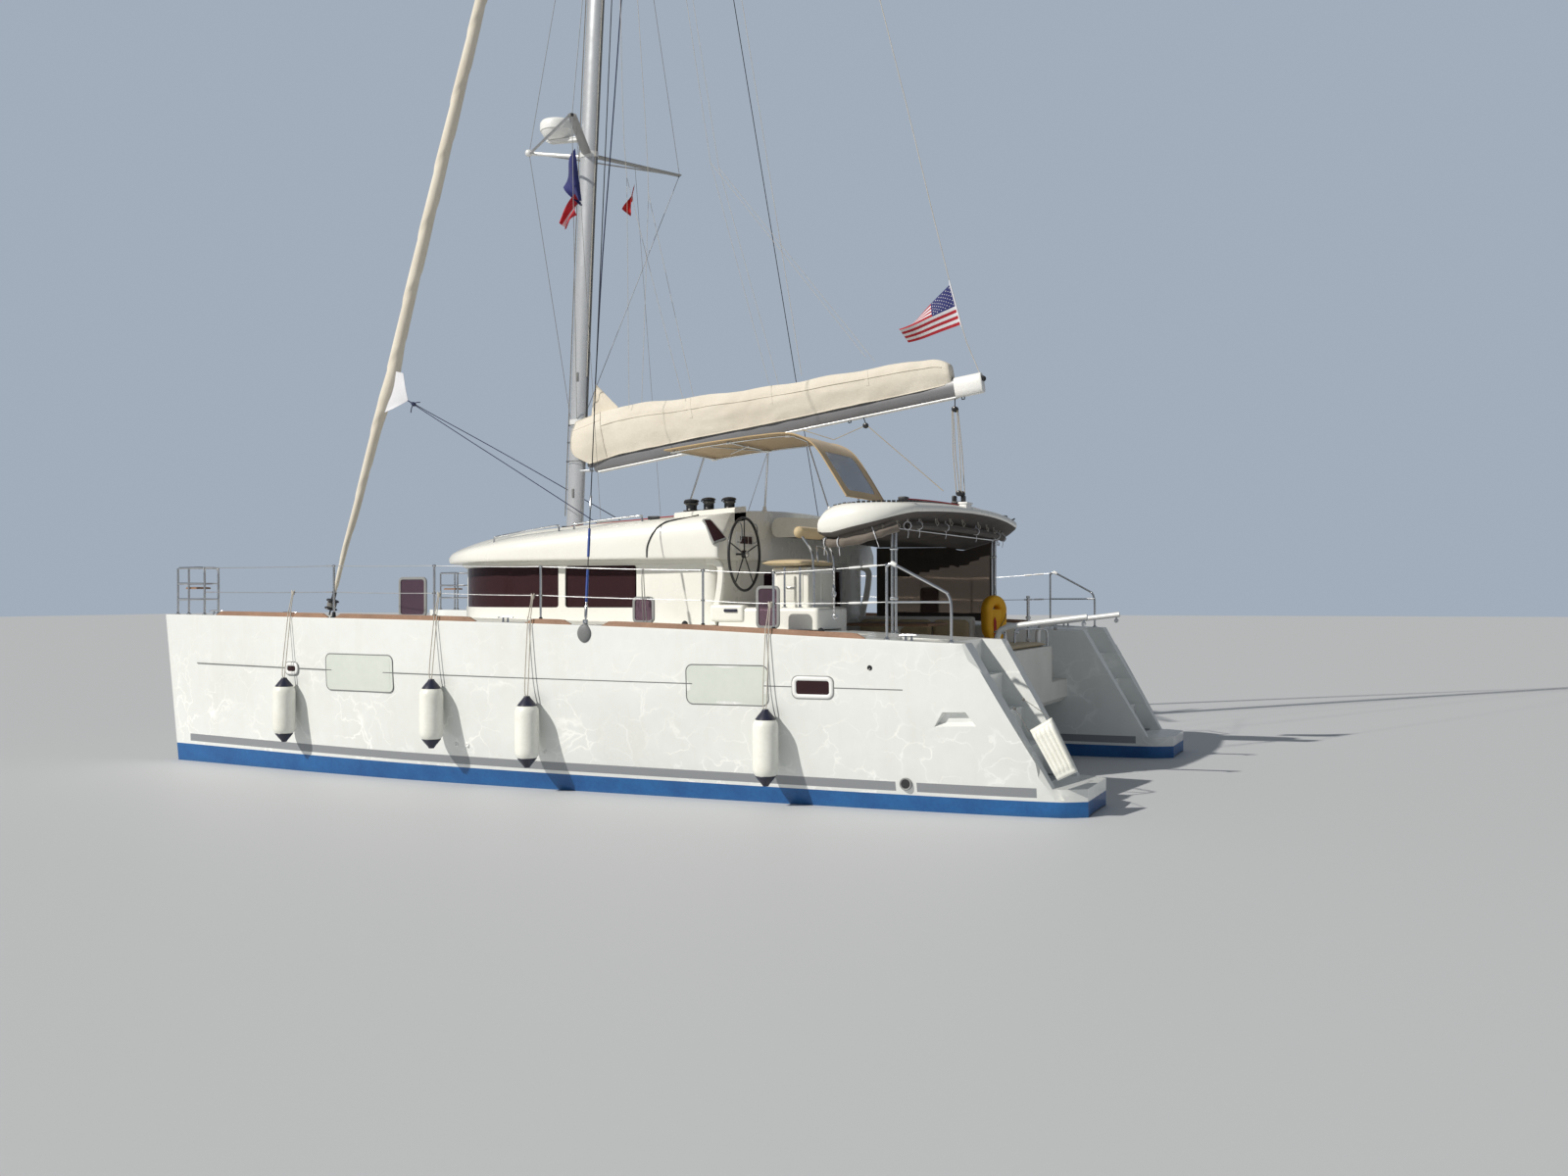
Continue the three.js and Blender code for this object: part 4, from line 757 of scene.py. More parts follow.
hull = {"stern": -5.94, "stemDeckX": 5.985, "stemWaterX": 5.77, "stemFootX": 5.25, "stemTall": 1.86, "stemY": 2.72,
        "stemHalf": 0.035, "gunwale": 0.028, "rings": 110,
        "x": [-5.94, -5.72, -4.8, -3.56, -1.9, -0.2, 1.5, 3.0, 4.2, 5.1, 5.6],
        "deckOut": [3.12, 3.33, 3.48, 3.56, 3.61, 3.622, 3.53, 3.31, 3.1, 2.93, 2.83],
        "waterOut": [3.08, 3.21, 3.29, 3.325, 3.335, 3.33, 3.27, 3.13, 2.97, 2.84, 2.77],
        "waterIn": [2.23, 2.08, 1.99, 1.95, 1.93, 1.93, 1.97, 2.1, 2.29, 2.47, 2.61],
        "deckIn": [2.2, 2.01, 1.9, 1.83, 1.79, 1.79, 1.8, 1.93, 2.18, 2.4, 2.58],
        "sheer": [1.6, 1.6, 1.63, 1.68, 1.75, 1.795, 1.825, 1.84, 1.85, 1.857, 1.86],
        "keel": [0.02, -0.05, -0.25, -0.42, -0.54, -0.58, -0.56, -0.5, -0.42, -0.33, -0.23],
        "flareHigh": [0, 0.19, 0.42, 0.66, 0.985], "flareOut": [0, 0.42, 0.72, 0.93, 1]}
line = {}
for column, stemX, stemValue in (("deckOut", "stemDeckX", 2.755), ("deckIn", "stemDeckX", 2.685),
                                 ("sheer", "stemDeckX", 1.86),
                                 ("waterOut", "stemWaterX", 2.755), ("waterIn", "stemWaterX", 2.685),
                                 ("keel", "stemFootX", -0.2)):
    xs = [x for x in hull["x"] if x < hull[stemX] - 0.05]
    line[column] = through(xs + [hull[stemX]], hull[column][:len(xs)] + [stemValue])
line["flare"] = through(hull["flareHigh"], hull["flareOut"])


def outerSide(x, z):
    share = line["flare"](max(0.0, z / line["sheer"](x)))
    return line["waterOut"](x) + (line["deckOut"](x) - line["waterOut"](x)) * share


def onHull(x, z, out=0.0, side=1):
    return Vector((x, (outerSide(x, z) + out) * side, z))


def hullRing(u, nose):
    reach = lambda end: hull["stern"] + (end - nose - hull["stern"]) * u
    xDeck, xWater = reach(hull["stemDeckX"]), reach(hull["stemWaterX"])
    slope = (hull["stemDeckX"] - hull["stemWaterX"]) / hull["stemTall"]
    sheer, edge = line["sheer"](xDeck), hull["gunwale"]
    out, inn = line["deckOut"](xDeck), line["deckIn"](xDeck)
    wOut, wIn = line["waterOut"](xWater), line["waterIn"](xWater)
    pinch = min(1.0, (out - inn) / 0.12)
    edge *= pinch
    at = lambda z: reach(hull["stemWaterX"] + max(z, 0) * slope)
    points = []
    for y, z in ((out - edge, sheer), (out - edge * 0.4, sheer - edge * 0.12), (out - edge * 0.1, sheer - edge * 0.45)):
        points.append((at(z), y, z))
    for k in range(15):
        h = (sheer - edge) / sheer * (1 - k / 15)
        f = line["flare"](h)
        points.append((at(h * sheer), wOut + (out - wOut) * f, h * sheer))
    middle, half, keel = (wOut + wIn) / 2, (wOut - wIn) / 2, line["keel"](reach(hull["stemFootX"]))
    for k in range(21):
        a = math.pi * k / 20
        z = keel * math.sin(a)
        end = hull["stemWaterX"] + (hull["stemFootX"] - hull["stemWaterX"]) * min(1.0, z / -0.2)
        points.append((reach(end) if z < 0 else at(0), middle + half * math.cos(a), z))
    for k in range(1, 11):
        h = (sheer - edge) / sheer * k / 10
        f = line["flare"](h)
        points.append((at(h * sheer), wIn + (inn - wIn) * f, h * sheer))
    points += [(at(sheer), inn + edge * 0.25, sheer - edge * 0.2), (at(sheer), inn + edge, sheer)]
    for k in (1, 2, 3):
        points.append((at(sheer), inn + edge + (out - inn - 2 * edge) * k / 4, sheer))
    return points


def hullRings(side):
    rings = [mirrored(hullRing(i / hull["rings"], 0.03), side) for i in range(hull["rings"] + 1)]
    last = rings[-1]
    for push, narrow in ((0.016, 0.72), (0.026, 0.4), (0.03, 0.08)):
        rings.append([Vector((p.x + push, hull["stemY"] * side + (p.y - hull["stemY"] * side) * narrow, p.z))
                      for p in last])
    return rings


sternSteps = [(0.27, -5.30), (0.61, -5.08), (0.95, -4.87), (1.29, -4.65)]
transom = {"top": (-4.85, 1.64), "foot": (-5.64, 0.27)}
deckHatches = [{"at": "fore", "x": 2.05, "wide": 0.40, "deep": 0.47},
               {"at": "mid", "x": -1.04, "wide": 0.27, "deep": 0.29},
               {"at": "aft", "x": -2.525, "wide": 0.27, "deep": 0.45}]
hatchHinge = 2.79
lidBay = {"x": (-4.56, -4.02), "y": (2.78, 3.24), "rim": 0.03}


def blockPart(low, high, edge=0.0):
    part = Part()
    part.block(low, high, edge)
    return part


def sidesOf(low, high, side):
    ys = sorted((low[1] * side, high[1] * side))
    return (low[0], ys[0], low[2]), (high[0], ys[1], high[2])


def buildHull(name, side):
    part = Part()
    part.skin(hullRings(side))
    made = toObject(f"hullShell_{name}", part, "hull", 30)
    cutters = []
    slope = Part()
    (topX, topZ), (footX, footZ) = transom["top"], transom["foot"]
    outline = [(-7, footZ), (footX, footZ), (topX, topZ), (topX + 0.06, 1.9), (-7, 1.9)]
    slope.prism([(x, 1.0 * side, z) for x, z in outline], (0, 3.0 * side, 0))
    cutters.append(slope)
    for i, (z, x) in enumerate(sternSteps):
        top = sternSteps[i + 1][0] + 0.02 if i + 1 < len(sternSteps) else 1.9
        low, high = sidesOf((-7, 2.15 - i * 0.01, z), (x, 3.13 + i * 0.025, top), side)
        cutters.append(blockPart(low, high))
    band = Part()  # bevel along the outer edge of the transom
    edge = []
    for x, z in ((topX + 0.05, topZ + 0.09), (topX, topZ), (footX, footZ), (footX - 0.06, footZ - 0.1)):
        y = outerSide(max(x, -5.9), min(z, 1.55))
        edge.append([(x + 0.055, y + 0.02, z), (x - 0.05, y + 0.02, z), (x - 0.05, y - 0.055, z)])
    band.skin([mirrored(ring, side) for ring in edge])
    cutters.append(band)
    for hatch in deckHatches:
        z, half = line["sheer"](hatch["x"]), hatch["wide"] / 2
        low, high = sidesOf((hatch["x"] - half + 0.04, hatchHinge + 0.045, z - 0.07),
                            (hatch["x"] + half - 0.04, hatchHinge + hatch["deep"] - 0.035, z + 0.1), side)
        cutters.append(blockPart(low, high))
    deck = line["sheer"](-4.3)
    rim = lidBay["rim"]
    low, high = sidesOf((lidBay["x"][0] - rim, lidBay["y"][0] - rim, deck - 0.04),
                        (lidBay["x"][1] + rim, lidBay["y"][1] + rim, 2), side)
    cutters.append(blockPart(low, high))
    low, high = sidesOf((lidBay["x"][0], lidBay["y"][0], 1.1), (lidBay["x"][1], lidBay["y"][1], 1.9), side)
    cutters.append(blockPart(low, high))
    recess = Part()  # grip recess low on the quarter
    corners = [(-4.640, 0.976), (-4.862, 0.982), (-4.958, 0.850), (-4.560, 0.836)]
    deep = [(-4.655, 0.962), (-4.845, 0.968), (-4.925, 0.888), (-4.590, 0.872)]
    recess.skin([[onHull(x, z, 0.02, side) for x, z in corners], [onHull(x, z, -0.002, side) for x, z in corners],
                 [onHull(x, z, -0.055, side) for x, z in deep]])
    cutters.append(recess)
    carve(made, cutters, 30)
    return settle(made, "boat", f"hull_{name}")


def foilRing(chord, thick, x, y, z, steps=14):
    ring = []
    for k in range(2 * steps):
        a = 2 * math.pi * k / (2 * steps)
        u = 0.5 - 0.5 * math.cos(a)
        t = 5.2 * (0.2969 * math.sqrt(u) - 0.126 * u - 0.3516 * u * u + 0.2843 * u ** 3 - 0.1015 * u ** 4)
        ring.append((x + chord * (0.3 - u), y + math.copysign(t * thick / 2, math.sin(a) or 1), z))
    return ring


def buildKeel(name, side):
    part = Part()
    rings = []
    for z, chord, thick, x in ((-0.45, 2.5, 0.30, 0.45), (-0.7, 2.42, 0.285, 0.4), (-0.9, 2.35, 0.27, 0.35),
                               (-1.08, 2.24, 0.24, 0.31),
                               (-1.17, 2.14, 0.20, 0.29), (-1.205, 2.0, 0.12, 0.25), (-1.21, 1.8, 0.05, 0.2)):
        rings.append(foilRing(chord, thick, x, 2.63 * side, z))
    part.skin(rings)
    return finish(f"keelFin_{name}", part, "hull")


for hullName, hullSide in bothSides:
    buildHull(hullName, hullSide)
    buildKeel(hullName, hullSide)
print("hulls done")


# outline of a box with rounded corners, in two coordinates
def roundedOutline(x0, x1, z0, z1, radius, steps=6):
    points = []
    for cx, cz, start in ((x1 - radius, z1 - radius, 0), (x0 + radius, z1 - radius, 90),
                          (x0 + radius, z0 + radius, 180), (x1 - radius, z0 + radius, 270)):
        for k in range(steps + 1):
            a = math.radians(start + 90 * k / steps)
            points.append((cx + radius * math.cos(a), cz + radius * math.sin(a)))
    return points


# thin plate that follows the hull side
def hullPlate(part, outline, out, side):
    cx = sum(p[0] for p in outline) / len(outline)
    cz = sum(p[1] for p in outline) / len(outline)
    grown = [[onHull(cx + (x - cx) * share, cz + (z - cz) * share, out, side) for x, z in outline]
             for share in (0.25, 0.5, 0.75, 1.0)]
    part.skin(grown + [[onHull(x, z, -0.006, side) for x, z in outline]])


# raised frame round an opening, round in section
def hullFrame(part, outline, wide, tall, side):
    cx = sum(p[0] for p in outline) / len(outline)
    cz = sum(p[1] for p in outline) / len(outline)
    rings = []
    for i, (x, z) in enumerate(outline):
        a, b = outline[i - 1], outline[(i + 1) % len(outline)]
        tx, tz = b[0] - a[0], b[1] - a[1]
        length = math.hypot(tx, tz) or 1
        nx, nz = tz / length, -tx / length
        if nx * (x - cx) + nz * (z - cz) < 0:
            nx, nz = -nx, -nz
        ring = []
        for across, out in ((0.5, -0.004), (0.5, tall * 0.5), (0.3, tall * 0.9), (0, tall), (-0.3, tall * 0.9),
                            (-0.5, tall * 0.5), (-0.5, -0.004)):
            ring.append(onHull(x + nx * wide * across, z + nz * wide * across, out, side))
        rings.append(ring)
    part.skin(rings + [rings[0]], closed=True, caps=(False, False))


# long hull windows, oval portlights, crease line, small fittings: measured along the topsides
sideFittings = {
    "windows": [(1.78, 2.87, 1.00, 1.42), (-2.88, -1.98, 0.99, 1.39)],
    "portlights": [(3.36, 3.58, 1.16, 1.30), (-3.56, -3.14, 1.08, 1.29)],
    "crease": {"from": 5.3, "to": -4.26, "high": 1.25, "low": 1.18, "half": 0.005},
    "drains": [(0.95, 0.45), (0.80, 0.45), (-0.05, 0.42), (-0.22, 0.42)],
    "exhaust": (-4.25, 0.27), "vent": (-3.935, 1.388)}


def buildSideFittings(name, side):
    panes, frames, lights, rims = Part(), Part(), Part(), Part()
    for x0, x1, z0, z1 in sideFittings["windows"]:
        hullPlate(panes, roundedOutline(x0 + 0.045, x1 - 0.045, z0 + 0.045, z1 - 0.045, 0.03), 0.003, side)
        hullPlate(frames, roundedOutline(x0, x1, z0, z1, 0.07), 0.0016, side)
        frames.look = 1
        hullFrame(frames, roundedOutline(x0, x1, z0, z1, 0.07), 0.012, 0.004, side)
        frames.look = 0
    for x0, x1, z0, z1 in sideFittings["portlights"]:
        hullPlate(lights, roundedOutline(x0 + 0.035, x1 - 0.035, z0 + 0.035, z1 - 0.035, 0.03), 0.004, side)
        hullFrame(rims, roundedOutline(x0 + 0.018, x1 - 0.018, z0 + 0.018, z1 - 0.018, 0.045), 0.04, 0.016, side)
        rims.look = 1
        hullFrame(rims, roundedOutline(x0 - 0.006, x1 + 0.006, z0 - 0.006, z1 + 0.006, 0.06), 0.012, 0.004, side)
        rims.look = 0
    finish(f"hullPanes_{name}", panes, "hullPane")
    finish(f"hullPaneFrames_{name}", frames, ("hullPane", "seam"))
    finish(f"portlightPanes_{name}", lights, "portlight")
    finish(f"portlightRims_{name}", rims, ("whitePlastic", "mouldedGrey"))
    crease = sideFittings["crease"]
    strip = Part()
    rows = []
    for k in range(61):
        t = k / 60
        x = crease["from"] + (crease["to"] - crease["from"]) * t
        z = crease["high"] + (crease["low"] - crease["high"]) * t
        rows.append([onHull(x, z + crease["half"], -0.003, side), onHull(x, z + crease["half"], 0.0015, side),
                     onHull(x, z - crease["half"], 0.0015, side), onHull(x, z - crease["half"], -0.003, side)])
    strip.skin(rows)
    finish(f"creaseLine_{name}", strip, "seam")
    small = Part()
    for x, z in sideFittings["drains"]:
        at, face = onHull(x, z, 0, side), Vector((0, side, 0))
        small.lathe([(0.024, -0.01), (0.026, 0.002), (0.022, 0.007), (0.013, 0.008), (0.011, 0.001), (0, 0.0)], at,
                    face, 18)
    x, z = sideFittings["exhaust"]
    at, face = onHull(x, z, 0.006, side), onHull(x, z + 0.06, 1.0, side) - onHull(x, z + 0.06, 0.0, side)
    small.look = 2
    small.lathe([(0.062, -0.03), (0.064, 0.004), (0.057, 0.014), (0.047, 0.012), (0.043, -0.006)], at, face, 26)
    # the black disc fills the outlet's opening: painted shade of the inside of the pipe
    small.look = 1
    small.lathe([(0.0, 0.006), (0.044, 0.006), (0.044, -0.016), (0.0, -0.018)], at, face, 26)
    x, z = sideFittings["vent"]
    small.lathe([(0.022, -0.01), (0.025, 0.004), (0.017, 0.012), (0.008, 0.009), (0, 0.004)], onHull(x, z, 0, side),
                (0, side, 0), 18)
    finish(f"throughHulls_{name}", small, ("whitePlastic", "black", "mouldedGrey"))


railGaps = [(4.92, 2.853), (2.72, 0.60), (-0.06, -0.62), (-1.0, -3.88)]


def buildToeRail(name, side):
    part = Part()
    for x0, x1 in railGaps:
        rings = []
        count = max(4, int((x0 - x1) / 0.08))
        for k in range(count + 1):
            x = x0 + (x1 - x0) * k / count
            y, z = line["deckOut"](x) - 0.034, line["sheer"](x)
            rise = min(1.0, min(k, count - k) * abs(x1 - x0) / count / 0.10 + 0.12) * 0.05
            rings.append([(x, (y - 0.018) * side, z - 0.003), (x, (y - 0.018) * side, z + rise * 0.86),
                          (x, (y - 0.012) * side, z + rise),
                          (x, (y + 0.006) * side, z + rise), (x, (y + 0.014) * side, z + rise * 0.84),
                          (x, (y + 0.018) * side, z - 0.003)])
        part.skin(rings)
    finish(f"toeRail_{name}", part, "teak", sharp=25)


for hullName, hullSide in bothSides:
    buildSideFittings(hullName, hullSide)
    buildToeRail(hullName, hullSide)
print("topsides fitted")

house = {"quarter": [(2.62, 0), (2.57, 0.62), (2.38, 1.24), (1.96, 1.79), (1.40, 2.16), (0.70, 2.33)], "aft": -1.70,
         "half": 2.33,
         "wall": 0.06, "floor": 1.001, "foreDeck": 1.745, "rim": 2.487, "glassLow": 1.95, "glassHigh": 2.43}


def houseLine(inset=0.0):
    nose = [(x, -y) for x, y in reversed(house["quarter"][1:])] + house["quarter"]
    curve = [p.to_2d() for p in softPath([(x, y, 0) for x, y in nose], 6)]
    straight = [Vector((house["quarter"][-1][0] + (house["aft"] + 0.12 - house["quarter"][-1][0]) * k / 10,
                        house["half"])) for k in range(1, 11)]
    corner = [Vector((house["aft"] + 0.12 - 0.12 * math.sin(a), house["half"] - 0.12 + 0.12 * math.cos(a)))
              for a in (0.4, 0.8, 1.2, 1.57)]
    port = straight + corner
    back = [Vector((house["aft"], house["half"] - 0.12 - (house["half"] * 2 - 0.24) * k / 16)) for k in range(1, 16)]
    starboard = [Vector((p.x, -p.y)) for p in reversed(port)]
    points = curve + port + back + starboard
    shifted = []
    for i, p in enumerate(points):
        tangent = (points[(i + 1) % len(points)] - points[i - 1]).normalized()
        shifted.append(p - Vector((tangent.y, -tangent.x)) * inset)
    return shifted


def houseFoot(p):
    if p.x > 2.49:
        return house["foreDeck"]
    return line["sheer"](p.x) - 0.012 if abs(p.y) > 1.80 else house["floor"]


def buildDeckhouse():
    outer, inner = houseLine(), houseLine(house["wall"])
    part = Part()
    rings = []
    for a, b in zip(outer, inner):
        foot = houseFoot(a)
        rings.append([(a.x, a.y, foot), (a.x, a.y, house["rim"]), (b.x, b.y, house["rim"]), (b.x, b.y, foot)])
    grid = part.skin(rings, caps=(False, False))
    for j in range(4):
        k = (j + 1) % 4
        part.add((grid[-1][j], grid[-1][k], grid[0][k], grid[0][j]))
    made = toObject("deckhouseWalls", part, "gelcoat", 30)
    cutters = []
    low, high = house["glassLow"], house["glassHigh"]
    for side in (1, -1):
        for x0, x1 in ((0.33, 3.0), (-0.70, 0.24)):
            pane = Part()
            pane.prism([(x, 1.25 * side, z) for x, z in roundedOutline(x0, x1, low, high, 0.035)], (0, 1.4 * side, 0))
            cutters.append(pane)
        pane = Part()
        ys = sorted((0.06 * side, 1.16 * side))
        pane.prism([(1.5, y, z) for y, z in roundedOutline(ys[0], ys[1], low, high, 0.035)], (1.5, 0, 0))
        cutters.append(pane)
    cutters.append(blockPart((-1.8, -1.33, 1.0), (-1.5, -0.43, 2.40)))
    window = Part()
    window.prism([(-1.8, y, z) for y, z in roundedOutline(-0.2, 1.05, 1.55, 2.35, 0.05)], (0.3, 0, 0))
    cutters.append(window)
    carve(made, cutters, 30)
    settle(made, "boat", "deckhouse")
    glass = Part()
    rows = []
    for a, b in zip(houseLine(0.024), houseLine(0.034)):
        if a.x > -0.76:
            rows.append([(a.x, a.y, low - 0.02), (a.x, a.y, high + 0.02), (b.x, b.y, high + 0.02),
                         (b.x, b.y, low - 0.02)])
    split = next(i for i in range(1, len(rows)) if (Vector(rows[i][0]) - Vector(rows[i - 1][0])).length > 1.0)
    glass.skin(rows[split:] + rows[:split])
    finish("saloonGlass", glass, "smokedGlass", stands="saloon_windows", sharp=30)
    trims = Part()  # dark seal round the aft side panes
    outline = roundedOutline(-0.70, 0.24, low, high, 0.035)
    for side in (1, -1):
        trims.tube([(x, (house["half"] - 0.02) * side, z) for x, z in outline + outline[:1]], 0.006, 6)
    finish("paneSeals", trims, "black")
    door = Part()
    door.block((-1.745, -1.39, 1.019), (-1.712, -0.37, 2.449), 0.006)
    finish("saloonDoorPane", door, "smokedGlass", "saloon_door", "saloon_door")
    rails = Part()
    for y0, y1, z0, z1 in ((-1.395, -1.335, 1.02, 2.448), (-0.425, -0.365, 1.02, 2.448), (-1.395, -0.365, 1.02, 1.08),
                           (-1.395, -0.365, 2.39, 2.448)):
        rails.block((-1.748, y0, z0), (-1.708, y1, z1), 0.006)
    rails.tube([(-1.76, -0.46, 1.75), (-1.775, -0.46, 1.78), (-1.775, -0.46, 1.92), (-1.76, -0.46, 1.95)], 0.009, 8)
    finish("saloonDoorFrame", rails, "aluminium", "saloon_door")


roof = {"x": [-1.8, -0.5, 0.8, 1.5, 2.1, 2.5, 2.76, 2.85], "half": [2.5, 2.525, 2.5, 2.34, 1.96, 1.44, 0.86, 0.42],
        "edge": [2.96, 2.86, 2.74, 2.67, 2.615, 2.585, 2.56, 2.545],
        "crown": [3.1, 3.05, 2.99, 2.935, 2.82, 2.74, 2.65, 2.575]}
roofLine = {key: through(roof["x"], roof[key]) for key in ("half", "edge", "crown")}


def roofRing(x, inset=0.0, low=None, top=0.0):
    w, edge, crown = roofLine["half"](x) - inset, roofLine["edge"](x) - top, roofLine["crown"](x) - top
    low = house["rim"] if low is None else low
    lift = edge - low
    side = [(w - 0.012, low + 0.006), (w, low + 0.03), (w + 0.002, low + lift * 0.35), (w - 0.006, low + lift * 0.62),
            (w - 0.035, low + lift * 0.86),
            (w * 0.955, low + lift + (crown - edge) * 0.06), (w * 0.86, edge + (crown - edge) * 0.34),
            (w * 0.7, edge + (crown - edge) * 0.6),
            (w * 0.5, edge + (crown - edge) * 0.79), (w * 0.25, edge + (crown - edge) * 0.945), (0, crown)]
    port = [Vector((x, max(y, 0), z)) for y, z in side]
    curve = [Vector((x, w * 0.4, low)), Vector((x, w - 0.14, low)),
             Vector((x, w - 0.03, low + 0.001))] + softPath(port, 3)
    return curve + [Vector((p.x, -p.y, p.z)) for p in reversed(curve[:-1])]


def roofTop(x, y):
    # height of the roof at a point, for what stands on it
    ring = [p for p in roofRing(x)[3:] if p.y >= 0]
    ring = sorted((p.y, p.z) for p in ring)
    for (y0, z0), (y1, z1) in zip(ring, ring[1:]):
        if y0 <= abs(y) <= y1 and y1 > y0:
            return z0 + (z1 - z0) * (abs(y) - y0) / (y1 - y0)
    return ring[-1][1]


def buildRoof():
    part = Part()
    xs = [-1.8, -1.797, -1.785] + [-1.76 + (2.80 + 1.76) * (k / 44) for k in range(45)] + [2.83, 2.85]
    rings = []
    for i, x in enumerate(xs):
        shrink = {0: 0.028, 1: 0.012, 2: 0.004}.get(i, 0.0)
        ring = roofRing(x)
        middle = Vector((x, 0, house["rim"] + 0.1))
        rings.append([Vector((x, p.y * (1 - shrink * 0.4), middle.z + (p.z - middle.z) * (1 - shrink))) for p in ring])
    last = rings[-1]
    for push, narrow in ((0.012, 0.72), (0.018, 0.3)):
        rings.append([Vector((p.x + push, p.y * narrow, 2.53 + (p.z - 2.53) * narrow)) for p in last])
    part.skin(rings)
    made = toObject("coachroofShell", part, "gelcoat", 42)
    inner = Part()
    inner.skin([roofRing(x, 0.3, 2.30, 0.07) for x in (2.26, 2.0, 1.6, 1.1, 0.6, 0.0, -0.6, -1.2, -1.7)])
    corners = []
    for side in (1, -1):  # slanted aft corners
        corner = Part()
        corner.skin([[(-1.70, 2.64 * side, 2.58), (-1.845, 2.46 * side, 2.58), (-2.2, 2.46 * side, 2.58),
                      (-2.2, 2.64 * side, 2.58)],
                     [(-1.335, 2.64 * side, 3.14), (-1.815, 2.02 * side, 3.14), (-2.2, 2.02 * side, 3.14),
                      (-2.2, 2.64 * side, 3.14)]])
        corners.append(corner)
    carve(made, [inner] + corners, 42)
    soften(made, 0.018, 2, 40)
    settle(made, "boat", "coachroof")
    # the band's tone is darker than the gelcoat: painted shade under the roof edge
    lip = Part()  # shaded band between the roof edge and the panes
    rows = []
    for a in houseLine(0.0):
        n = Vector((a.x - 0.2 if a.x > 0.2 else 0, a.y)).normalized()
        if a.x < house["aft"] + 0.001 and abs(a.y) < house["half"] - 0.1:
            continue
        at = lambda out, z: (a.x + n.x * out, a.y + n.y * out, z)
        rows.append([at(-0.012, 2.434), at(0.012, 2.436), at(0.03, 2.452), at(0.05, 2.478), at(0.055, 2.489),
                     at(-0.012, 2.489)])
    split = next(i for i in range(1, len(rows)) if (Vector(rows[i][0]) - Vector(rows[i - 1][0])).length > 1.0)
    lip.skin(rows[split:] + rows[:split])
    finish("roofLip", lip, "underLip")
    for name, side in bothSides:
        leg = Part()  # moulded return down the aft edge of the side panel
        path = softPath([(-1.60, 2.36, 2.462), (-1.70, 2.368, 2.458), (-1.765, 2.366, 2.41), (-1.775, 2.36, 2.30),
                         (-1.745, 2.355, 2.08), (-1.70, 2.35, 1.90),
                         (-1.68, 2.35, 1.765)], 6)
        rings = []
        for i, p in enumerate(path):
            along = heading(path, i)
            across = Vector((along.z, 0, -along.x))
            wide = 0.040
            rings.append([Vector(((p + across * wide * a).x, p.y * side + side * o, (p + across * wide * a).z))
                          for a, o in ((-1, -0.03), (-1, 0.006), (-0.7, 0.02), (0.7, 0.02), (1, 0.006), (1, -0.03))])
        leg.skin(rings)
        finish(f"panelReturn_{name}", leg, "gelcoat")


buildDeckhouse()
buildRoof()


# hardtop over the cockpit, notched round the helm
hardtop = {"x": [-4.08, -3.97, -3.85, -3.6, -3.3, -3.14, -3.05, -3.0, -1.84],
           "low": [2.985, 2.95, 2.905, 2.81, 2.73, 2.69, 2.70, 2.73, 2.74],
           "crown": [3.112, 3.114, 3.116, 3.118, 3.115, 3.09, 3.04, 2.965, 3.02], "camber": 0.062, "half": 2.58,
           "aft": -4.08, "bulge": 0.12, "corner": 0.6,
           "notch": (-3.0, 1.13),
           "edge": [(0.10, 0.0), (0.05, 0.03), (0.012, 0.16), (0.0, 0.38), (0.003, 0.6), (0.03, 0.86), (0.10, 0.985)]}
hardLine = {key: through(hardtop["x"], hardtop[key]) for key in ("low", "crown")}


def hardTop(x, y):
    # height of the top skin, for what stands on it
    return hardLine["crown"](x) - hardtop["camber"] * (y / 2.5) ** 2


def hardLow(x, y):
    return hardLine["low"](x) + 0.03 * (1 - min(1.0, abs(y) / 2.4) ** 2)


def hardOutline():
    # plan of the top: square in front, large aft corners, aft edge bowed
    look = hardtop
    flat = look["half"] - look["corner"]
    port = [Vector((-1.84, 2.42))] + [Vector((-1.84 - 1.16 * k / 8, 2.42 + 0.14 * min(1.0, k / 6)))
                                      for k in range(1, 9)]
    port += [Vector((-3.05 - 0.31 * k / 3, look["half"] - 0.012 * (1 - k / 3))) for k in range(4)]
    port += [Vector((look["aft"] + look["bulge"] + look["corner"] - look["corner"] * math.sin(a),
                     flat + look["corner"] * math.cos(a)))
             for a in (math.pi / 2 * k / 10 for k in range(1, 11))]
    port += [Vector((look["aft"] + look["bulge"] * (y / flat) ** 2, y))
             for y in (flat * (1 - k / 9) for k in range(1, 9))]
    front = [Vector((-1.84, 4.84 * k / 16 - 2.42)) for k in range(1, 16)]
    return port + [Vector((look["aft"], 0))] + [Vector((p.x, -p.y)) for p in reversed(port)] + front


